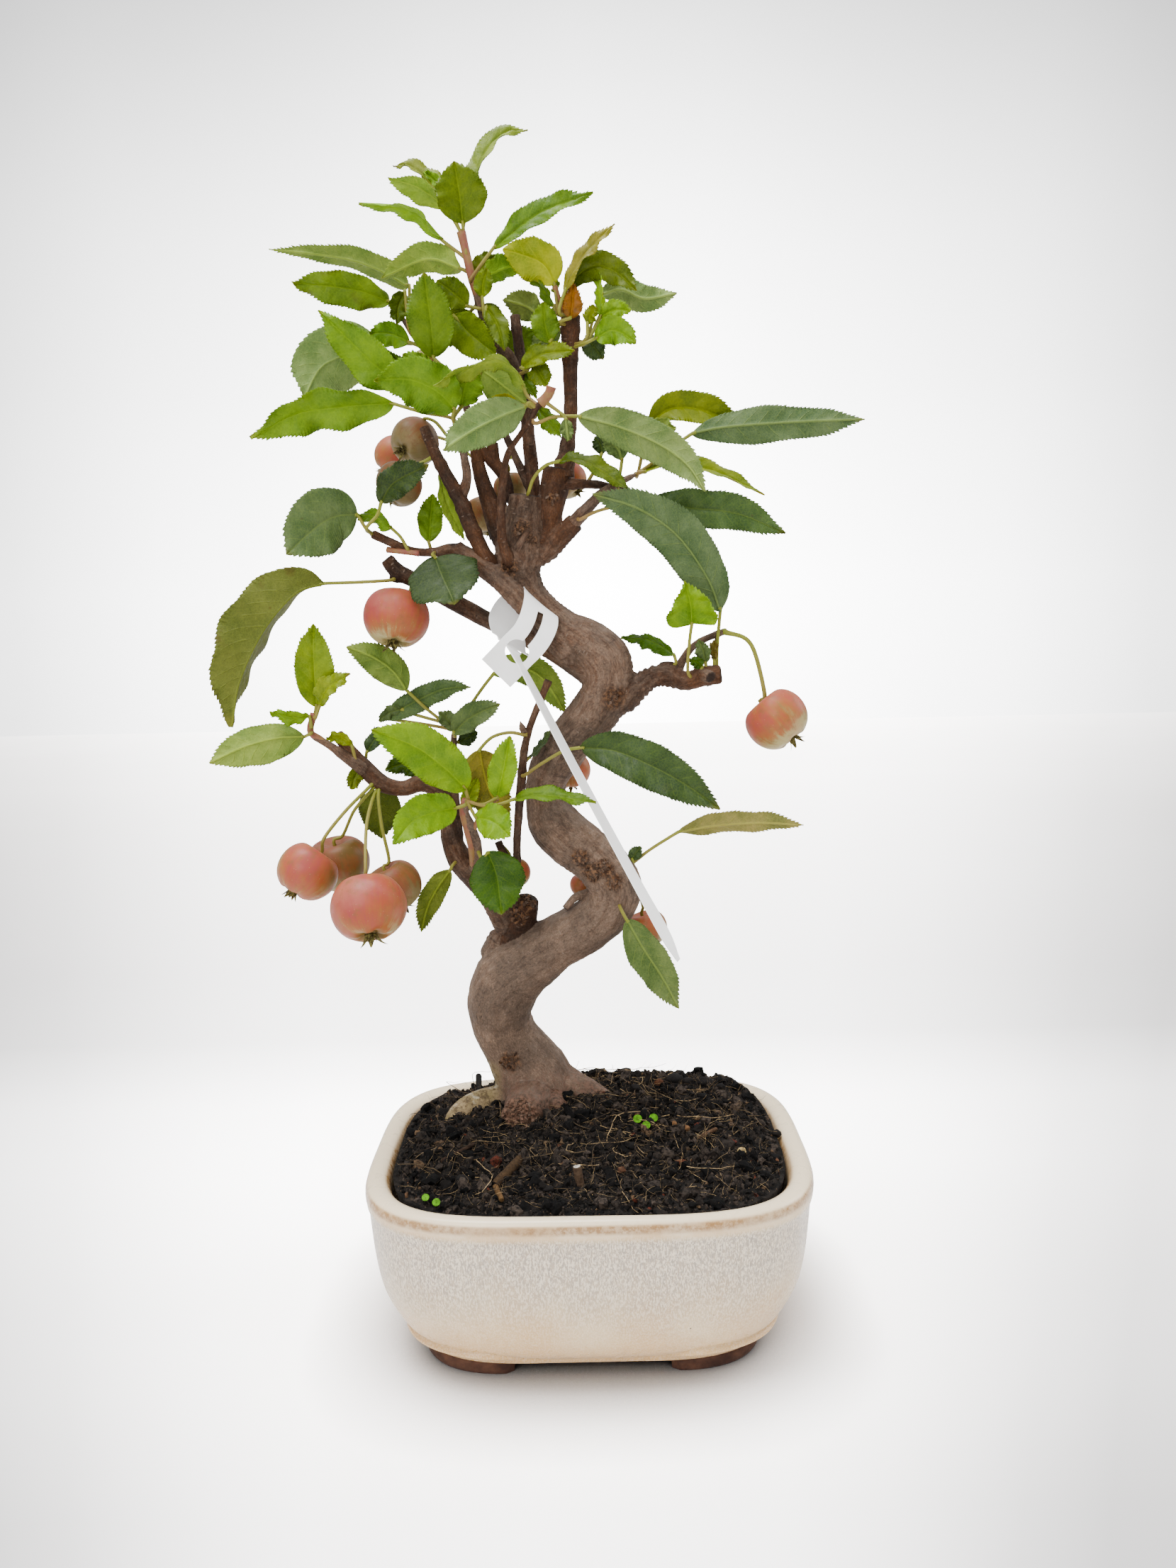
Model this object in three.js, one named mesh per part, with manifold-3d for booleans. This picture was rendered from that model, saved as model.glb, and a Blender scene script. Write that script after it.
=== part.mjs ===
// Crabapple bonsai in a glazed oval-cornered pot, in millimetres, +Z up.
// The tree's places are [across, up] on the upright plane through the pot's centre, as they look to
// someone in front of the pot, and the depth behind that plane (minus is in front of it).
import * as THREE from "three";
import { mergeVertices } from "three/addons/utils/BufferGeometryUtils.js";
import Module from "manifold-3d";

const wasm = await Module();
wasm.setup();

// driving dimensions
const EYE = { across: 3, back: -532, up: 307 };   // where that person's eye is
const GAP = 0.4;                                  // clearance between pieces that touch in life
const POT = {
  width: 200, depth: 166, height: 80, corner: 3.7, foot: 4, floor: 11, holeRadius: 8, sides: 28,
};
const FOOT = { long: 25, wide: 13, across: 52.5, back: 52.5, top: 9, roundness: 0.5 };
const SHEET = { radius: 14, thick: 1, room: 3, sides: 16 };     // the mesh over the drain hole
const SOIL = { edge: 76.5, mound: 13.5, inset: 11.6, bottom: 11, sides: 20, shares: [1, 0.8, 0.55, 0.28] };
const LEAF = { thick: 0.8, stations: 3, stalkRadius: 0.8, rounding: 0.7, belly: 0.8, leastHalf: 0.6 };
const FRUIT = { rows: 5, sides: 10, squat: 0.95, stalkEnd: 0.86, blossomEnd: 0.93 };
const TAG = { thick: 0.7, headWidth: 17.5, tailWidth: 10, holeRadius: 5.2, slot: 3.2 };

// the pot's wall: height, inset at the ends and at the front; outside going up, then inside going down
const POT_WALL = [
  [POT.foot, 23.5, 23], [7, 22.5, 22], [11, 18.5, 17.5], [17, 14.3, 12.5], [25, 9.8, 8], [35, 5.7, 4.4],
  [47, 3.3, 2.5], [60, 1.9, 1.4], [71, 0.8, 0.6], [76, 0, 0], [78.7, 1, 0.8], [POT.height, 4, 3.2],
  [79.3, 8.2, 6.6], [75.5, 10.8, 8.4], [50, 12.6, 9.6], [28, 19, 16], [POT.floor, 34, 32],
];

// the soil against the inside of the pot: half width, half depth, height
const SOIL_WALL = [[64.8, 49.8, SOIL.bottom + GAP], [80.3, 66.3, 29], [86.7, 72.7, 50]];

const COLOURS = {
  bark: "#6b5648", darkBark: "#42342d", redBark: "#66402f", leaf: "#5d8a28", darkLeaf: "#3f5f36",
  lime: "#9cbf1c", fruit: "#c8705a", glaze: "#d9cfbd", soil: "#2b2421", plastic: "#f2efec", mesh: "#3a3a3a",
};

const bonsai = new THREE.Group();

function at(across, up, depth = 0) {
  const k = (depth - EYE.back) / -EYE.back;
  return new THREE.Vector3(
    EYE.across + (across - EYE.across) * k,
    depth,
    EYE.up + (up - EYE.up) * k,
  );
}

function nearness(depth) {
  return (depth - EYE.back) / -EYE.back;
}

function material(colour, roughness = 0.7) {
  return new THREE.MeshStandardMaterial({ color: COLOURS[colour], roughness, metalness: 0 });
}

function add(name, geometry, colour, roughness) {
  const mesh = new THREE.Mesh(geometry, material(colour, roughness));
  mesh.name = name;
  bonsai.add(mesh);
}

// ---- solids and joins

function solidOf(geometry) {
  const clean = geometry.clone();
  clean.deleteAttribute("normal");
  clean.deleteAttribute("uv");
  const merged = mergeVertices(clean, 1e-4);
  return new wasm.Manifold(new wasm.Mesh({
    numProp: 3,
    vertProperties: new Float32Array(merged.attributes.position.array),
    triVerts: new Uint32Array(merged.index.array),
  }));
}

function geometryOf(solid) {
  const mesh = solid.getMesh();
  const geometry = new THREE.BufferGeometry();
  geometry.setAttribute("position", new THREE.BufferAttribute(new Float32Array(mesh.vertProperties), 3));
  geometry.setIndex(new THREE.BufferAttribute(new Uint32Array(mesh.triVerts), 1));
  geometry.computeVertexNormals();
  return geometry;
}

function joined(solids) {
  return solids.reduce((sum, solid) => sum.add(solid));
}

// the largest piece of a solid: a cut can leave a crumb behind the thing that cut it
function largest(solid) {
  const parts = solid.decompose();
  parts.sort((a, b) => b.volume() - a.volume());
  return parts[0];
}

// rings of equal length, closed at both ends
function loft(rings) {
  const sides = rings[0].length;
  const points = rings.flat();
  const index = [];
  for (let r = 0; r + 1 < rings.length; r += 1) {
    for (let i = 0; i < sides; i += 1) {
      const a = r * sides + i;
      const b = r * sides + (i + 1) % sides;
      index.push(a, b, a + sides, b, b + sides, a + sides);
    }
  }
  for (const [r, turn] of [[0, false], [rings.length - 1, true]]) {
    const middle = new THREE.Vector3();
    rings[r].forEach((p) => middle.addScaledVector(p, 1 / sides));
    points.push(middle);
    for (let i = 0; i < sides; i += 1) {
      const a = r * sides + i;
      const b = r * sides + (i + 1) % sides;
      const c = points.length - 1;
      index.push(...(turn ? [a, b, c] : [b, a, c]));
    }
  }
  const geometry = new THREE.BufferGeometry().setFromPoints(points);
  geometry.setIndex(index);
  const solid = solidOf(geometry);
  if (solid.volume() > 0) return solid;
  for (let i = 0; i < index.length; i += 3) [index[i], index[i + 1]] = [index[i + 1], index[i]];
  geometry.setIndex(index);
  return solidOf(geometry);
}

// a round stem through points [across, up, depth, radius], grown by room on every side
function stem(points, { sides = 8, steps = 1, room = 0 } = {}) {
  const path = new THREE.CatmullRomCurve3(points.map(([a, u, d]) => at(a, u, d)), false, "centripetal");
  const count = (points.length - 1) * steps;
  const frames = path.computeFrenetFrames(count, false);
  const rings = [];
  for (let i = 0; i <= count; i += 1) {
    const place = i / steps;
    const from = Math.min(Math.floor(place), points.length - 2);
    const share = place - from;
    const radiusAt = (j) => points[j][3] * nearness(points[j][2]);
    const radius = radiusAt(from) * (1 - share) + radiusAt(from + 1) * share + room;
    const centre = path.getPoint(i / count);
    if (room > 0 && (i === 0 || i === count)) {
      centre.addScaledVector(frames.tangents[i], i === 0 ? -room : room);
    }
    const ring = [];
    for (let s = 0; s < sides; s += 1) {
      const angle = s / sides * Math.PI * 2;
      ring.push(centre.clone()
        .addScaledVector(frames.normals[i], Math.cos(angle) * radius)
        .addScaledVector(frames.binormals[i], Math.sin(angle) * radius));
    }
    rings.push(ring);
  }
  return loft(rings);
}

// ---- pot

// a ring between an oval and a rectangle, level at one height
function ovalRing(halfWide, halfDeep, height, count = POT.sides) {
  const ring = [];
  const power = 2 / POT.corner;
  for (let i = 0; i < count; i += 1) {
    const angle = i / count * Math.PI * 2;
    const c = Math.cos(angle);
    const s = Math.sin(angle);
    ring.push(new THREE.Vector3(
      halfWide * Math.sign(c) * Math.abs(c) ** power,
      halfDeep * Math.sign(s) * Math.abs(s) ** power,
      height,
    ));
  }
  return ring;
}

function potSolid() {
  const rings = POT_WALL.map(([height, side, front]) => (
    ovalRing(POT.width / 2 - side, POT.depth / 2 - front, height)
  ));
  const feet = [];
  for (const x of [-FOOT.across, FOOT.across]) {
    for (const y of [-FOOT.back, FOOT.back]) {
      const outline = new THREE.Shape();
      outline.absellipse(0, 0, 1, 1, 0, Math.PI * 2);
      const block = new THREE.ExtrudeGeometry(outline, {
        depth: FOOT.top, bevelEnabled: false, curveSegments: 3,
      });
      const places = block.attributes.position;
      for (let i = 0; i < places.count; i += 1) {   // a round disc drawn out to a block with round corners
        const stretch = (v) => Math.sign(v) * Math.abs(v) ** FOOT.roundness;
        places.setXYZ(
          i,
          x + stretch(places.getX(i)) * FOOT.long / 2,
          y + stretch(places.getY(i)) * FOOT.wide / 2,
          places.getZ(i),
        );
      }
      feet.push(solidOf(block));
    }
  }
  const hole = new THREE.CylinderGeometry(POT.holeRadius, POT.holeRadius, 20, 16);
  hole.rotateX(Math.PI / 2);
  hole.translate(0, 0, POT.floor);
  return joined([loft(rings), ...feet]).subtract(solidOf(hole));
}

function drainMesh() {
  const sheet = new THREE.CylinderGeometry(SHEET.radius, SHEET.radius, SHEET.thick, SHEET.sides);
  sheet.rotateX(Math.PI / 2);
  sheet.translate(0, 0, POT.floor + GAP + SHEET.thick / 2);
  return solidOf(sheet);
}

// ---- soil

function smooth(from, to, value) {
  const t = Math.min(Math.max((value - from) / (to - from), 0), 1);
  return t * t * (3 - 2 * t);
}

// the soil is mounded round the trunk and lower at the rim
function soilHeight(x, y) {
  const lift = smooth(-78, 25, y) * (1 - smooth(55, 76, y)) * (1 - Math.abs(x / 94) ** 4);
  const leftDip = 1 - 0.55 * smooth(-15, -70, x) * smooth(0, 50, y);
  return SOIL.edge + SOIL.mound * Math.max(lift, 0) * leftDip;
}

function soilSolid(trunkRoom) {
  const halfWide = POT.width / 2 - SOIL.inset;
  const halfDeep = POT.depth / 2 - SOIL.inset * 0.8;
  const rings = SOIL_WALL.map(([wide, deep, height]) => ovalRing(wide, deep, height, SOIL.sides));
  for (const share of SOIL.shares) {
    const ring = ovalRing(halfWide * share, halfDeep * share, 0, SOIL.sides);
    ring.forEach((p) => { p.z = soilHeight(p.x, p.y); });
    rings.push(ring);
  }
  const reach = SHEET.radius + GAP;
  const sheetRoom = new THREE.CylinderGeometry(reach, reach, SHEET.room, SHEET.sides);
  sheetRoom.rotateX(Math.PI / 2);
  sheetRoom.translate(0, 0, POT.floor + GAP);
  return largest(loft(rings).subtract(trunkRoom).subtract(solidOf(sheetRoom)));
}

// ---- wood: every stem is a list of [across, up, depth, radius]

const wood = {
  trunk: [
    [   // trunk, from below the soil through both bends to the cut top
      [-24, 84, 38, 22], [-24, 98, 38, 20.5], [-25.5, 110, 37, 18], [-32, 122, 35, 15.2],
      [-37, 131, 33, 14.1], [-39.7, 141, 30, 14.6], [-38.5, 151, 27, 15.6], [-32, 161.5, 23, 15.6],
      [-14.5, 172.8, 17, 12.8], [1.5, 181.8, 11, 11.7], [11.8, 190, 7, 11.3], [14.8, 199, 5, 11.6],
      [11, 207, 5, 12], [4.5, 213.8, 6, 11.7], [-6, 222, 8, 12], [-13.5, 231, 10, 11.4],
      [-16.3, 240, 11, 9.5], [-15.8, 249, 11, 9.2], [-11, 259, 9, 10.4], [-2, 270.5, 6, 10.5],
      [7, 280.5, 3, 11.3], [12.8, 292, 1, 10.8], [12, 303, 0, 11.3], [4, 311, 1, 10.5],
      [-6, 317.5, 2, 8.6], [-14.5, 326, 3, 7], [-20.5, 334, 4, 6.6], [-23.5, 341, 4, 8],
      [-25, 347.5, 4, 11], [-24.5, 356, 4, 10.5], [-23, 366, 4, 8.3], [-21.5, 376, 4, 7.3],
    ],
    [[-12, 104, 36, 12], [3, 102, 28, 7], [14, 98, 20, 4], [23, 93, 14, 2.4]],
    [[-36, 102, 35, 9], [-50, 101, 27, 5.5], [-60, 97, 20, 4.7], [-66, 89, 11, 4.4], [-69, 79, 2, 3]],
    [[-28, 98, 34, 13], [-31, 91, 22, 9.5], [-36, 84, 12, 5.5]],
    [[-33, 178, 24, 8], [-28, 184, 20, 8.6], [-22, 191.5, 17, 8.2]],
    [[-41, 168, 27, 8], [-36, 179, 23, 6.4]],
    [[2, 196, 12, 3], [-4, 195, 8, 1.8], [-8.5, 190, 6, 1.7]],
    [[-22, 352, 4, 8], [-12.5, 358, 4, 5], [-11, 368, 4, 5.2], [-9.3, 378, 4, 6.4], [-7.5, 388, 3, 6.5]],
    [[-20, 350, 4, 7], [-12, 353, 2, 5], [-7, 358, 0, 4.6], [0, 364.5, -2, 4.2]],
    [
      [-1, 364, -3, 3.2], [5, 370, -5, 2.7], [12, 376.5, -7, 2.2], [19, 380.7, -8, 1.6], [24, 382.6, -8, 1.2],
    ],
    [[-6, 380.6, 2, 2.4], [3, 380.8, 0, 2.1], [11, 380.2, -1, 1.8], [17.5, 378.8, -1, 1.4]],
    [[-28, 352, 6, 7], [-34, 362, 7, 5.2], [-38, 374, 8, 4.2], [-42, 387, 8, 3.3], [-43.5, 399, 8, 2.8]],
    [[-30.5, 384, 9, 2.2], [-35, 391, 9, 2.6], [-36, 399, 9, 2.6]],
    [[-29, 374, 7, 2.4], [-31, 384.5, 9, 2.5], [-42.5, 398, 8, 2.3]],
  ],
  lower_left_branch: [
    [
      [-34, 180, 22, 6.4], [-38.5, 189, 17, 5.9], [-43.5, 198, 11, 5.8], [-50, 206, 6, 6],
      [-56, 213.5, 4, 6], [-59.5, 222, 2, 5], [-60.5, 231, 1, 4.5], [-62, 240, 0, 4.2],
      [-66.5, 247, -1, 4], [-73, 249.3, -2, 4], [-81, 247, -3, 3.7], [-90, 249.3, -4, 3.9],
      [-97, 255.5, -4, 3.9], [-104, 264, -3, 3.1], [-110, 272.5, -2, 2.8],
    ],
    [[-57, 222, 2, 2.8], [-57.5, 240, 1, 2], [-58.3, 255, 2, 1.7], [-57.5, 268, 2, 1.4]],
    [[-98, 255.5, -5, 3], [-106, 261.5, -8, 2.5], [-113, 267, -8, 1.8], [-120.5, 271.8, -8, 1.5]],
    [[-50, 210, 4, 3], [-48.5, 219, -9, 2.5], [-51, 229, -14, 2.2], [-53.5, 236, -16, 1.8]],
    [[-45, 203, 8, 3], [-36, 212, 4, 2], [-38.5, 221.5, 4, 1.8]],
  ],
  middle_twig: [
    [
      [-36, 194, 12, 2], [-31, 204, -3, 1.9], [-30, 222, -7, 1.8], [-28.3, 240, -8, 2], [-27, 251, -8, 2.1],
      [-25.8, 262, -8, 1.8], [-23, 273, -8, 1.6], [-18.5, 284, -8, 1.6], [-13.8, 294.5, -8, 1.7],
    ],
    [[-24, 271, -8, 1], [-26, 273, -10, 1.6], [-27, 276, -11, 0.5]],
  ],
  right_stub_branch: [
    [
      [12, 284, 2, 7], [19, 287, 1, 7.8], [26, 291, 0, 6.2], [33, 295, 0, 5], [40, 296, -1, 5.4],
      [48, 293, -3, 4.3], [56, 295, -5, 4.5], [64, 295.8, -6, 4.2],
    ],
    [
      [43, 296, 2, 2.4], [46.5, 302, 3, 1.9], [50.5, 307.5, 2, 1.6], [56, 311.3, 0, 1.5], [64.5, 314.6, -2, 1.5],
    ],
    [[56, 296, -8, 2.6], [59, 294.5, -11, 2.7]],
  ],
  tag_limb: [
    [
      [-11, 314.5, -2, 6], [-17.5, 322, -4, 5.3], [-25, 330, -5, 4.9], [-33, 338.5, -4, 4.8],
      [-42, 345.5, -2, 4.4],
      [-50, 351.5, 0, 3.9], [-56, 353.5, 1, 2.8], [-64, 352.4, 1, 2.1], [-73, 353.2, 0, 1.9],
      [-82, 357, -1, 2], [-90.5, 361, -2, 2.2],
    ],
    [[-49, 350, 0, 3], [-53, 355.5, 0, 2.6]],
  ],
  dark_limb: [
    [
      [-1, 303, 4, 7], [-12, 309.5, 9, 5.6], [-25, 315.5, 11, 4.6], [-38, 321, 11, 4], [-50, 327.5, 9, 3.8],
      [-62, 334, 6, 3.6], [-73, 340.5, 3, 3.6], [-80, 344.5, 2, 3.7], [-84.5, 350, 1, 3.2],
    ],
    [[-77, 342, 2, 3], [-84, 341, 1, 1.8]],
  ],
  crown_left_branch: [
    [
      [-38.5, 347, -1, 3.4], [-42, 353, -2, 3.4], [-46.5, 363, -3, 3.5], [-50.5, 374, -3, 3.4],
      [-57, 386.5, -3, 2.9], [-62, 397, -3, 2.5], [-65.7, 406.5, -3, 2.2],
    ],
    [[-50.5, 378, -3, 2.4], [-47.7, 384, -2, 2.1], [-48.3, 392, -3, 1.8], [-50.5, 404, -5, 1.6]],
  ],
  front_twig: [
    [
      [-31, 350, -8, 2.6], [-32.8, 357, -11, 2.1], [-33, 369, -13, 1.9], [-31.5, 385, -14, 1.6],
      [-29, 395, -14, 1.4], [-24, 402, -14, 1.2], [-19.5, 408, -14, 1.2], [-16.5, 413.5, -14, 1.3],
      [-13, 417, -15, 1.3], [-11.5, 421.5, -16, 1],
    ],
  ],
  middle_leader: [
    [
      [-18.3, 371, 12, 3.4], [-18.6, 379, 12, 3.2], [-19, 390, 12, 3], [-20, 402, 11, 2.8],
      [-21.3, 418, 10, 2.6], [-22.6, 435, 9, 2.3], [-24.6, 453, 8, 2.2],
    ],
    [[-20, 381, 12, 1.8], [-26, 393, 14, 1.7], [-31, 405, 15, 1.5]],
    [
      [-21.3, 421, 10, 2.2], [-25, 431, 8, 2.7], [-29, 437, 6, 2.9], [-33.5, 443, 4, 2.8], [-36.5, 449, 3, 2.5],
    ],
  ],
  right_leader: [
    [
      [-4.5, 389, 3, 4.4], [-3.4, 394, 3, 3.7], [-2.3, 402, 3, 3], [-1.2, 412, 3, 3],
      [-1, 425, 3, 3.1], [-0.8, 437, 3, 3.7], [-0.3, 452.5, 3, 4.4],
    ],
    [[-4, 384, 3, 4], [-4.3, 391, 3, 4.5]],
  ],
};

// each branch is cut back by the room that the stems before it need
const woodSolids = {};
const woodRooms = {};
let woodRoom = null;
for (const [name, stems] of Object.entries(wood)) {
  const mainSides = name === "trunk" ? 9 : 6;
  const grown = (room) => joined(stems.map((points, i) => (
    stem(points, { sides: i === 0 ? mainSides : 5, room })
  )));
  woodSolids[name] = grown(0);
  woodRooms[name] = grown(GAP);
  if (woodRoom) {
    woodSolids[name] = largest(woodSolids[name].subtract(woodRoom));
    woodRoom = woodRoom.add(woodRooms[name]);
  } else {
    woodRoom = woodRooms[name];
  }
}

// the nearest spot on any stem's middle line, where a stalk that starts at this point grows from
const woodLines = Object.values(wood).flat().map((points) => {
  const line = new THREE.CatmullRomCurve3(points.map(([a, u, d]) => at(a, u, d)), false, "centripetal");
  return line.getPoints(points.length * 4);
}).flat();

function rooted(points, radius) {
  const places = points.map(([a, u, d]) => at(a, u, d));
  const root = woodLines.reduce((best, p) => (
    p.distanceToSquared(places[0]) < best.distanceToSquared(places[0]) ? p : best
  ));
  const k = nearness(root.y);
  const foot = [EYE.across + (root.x - EYE.across) / k, EYE.up + (root.z - EYE.up) / k, root.y, radius];
  return root.distanceTo(places[0]) < radius ? points : [foot, ...points];
}

// ---- leaves: name, stalk, midrib, depth at the base and the tip, width, roll, fold.
// Roll 0 turns the upper face to the front, 180 the underside. Fold lifts both halves.

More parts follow.
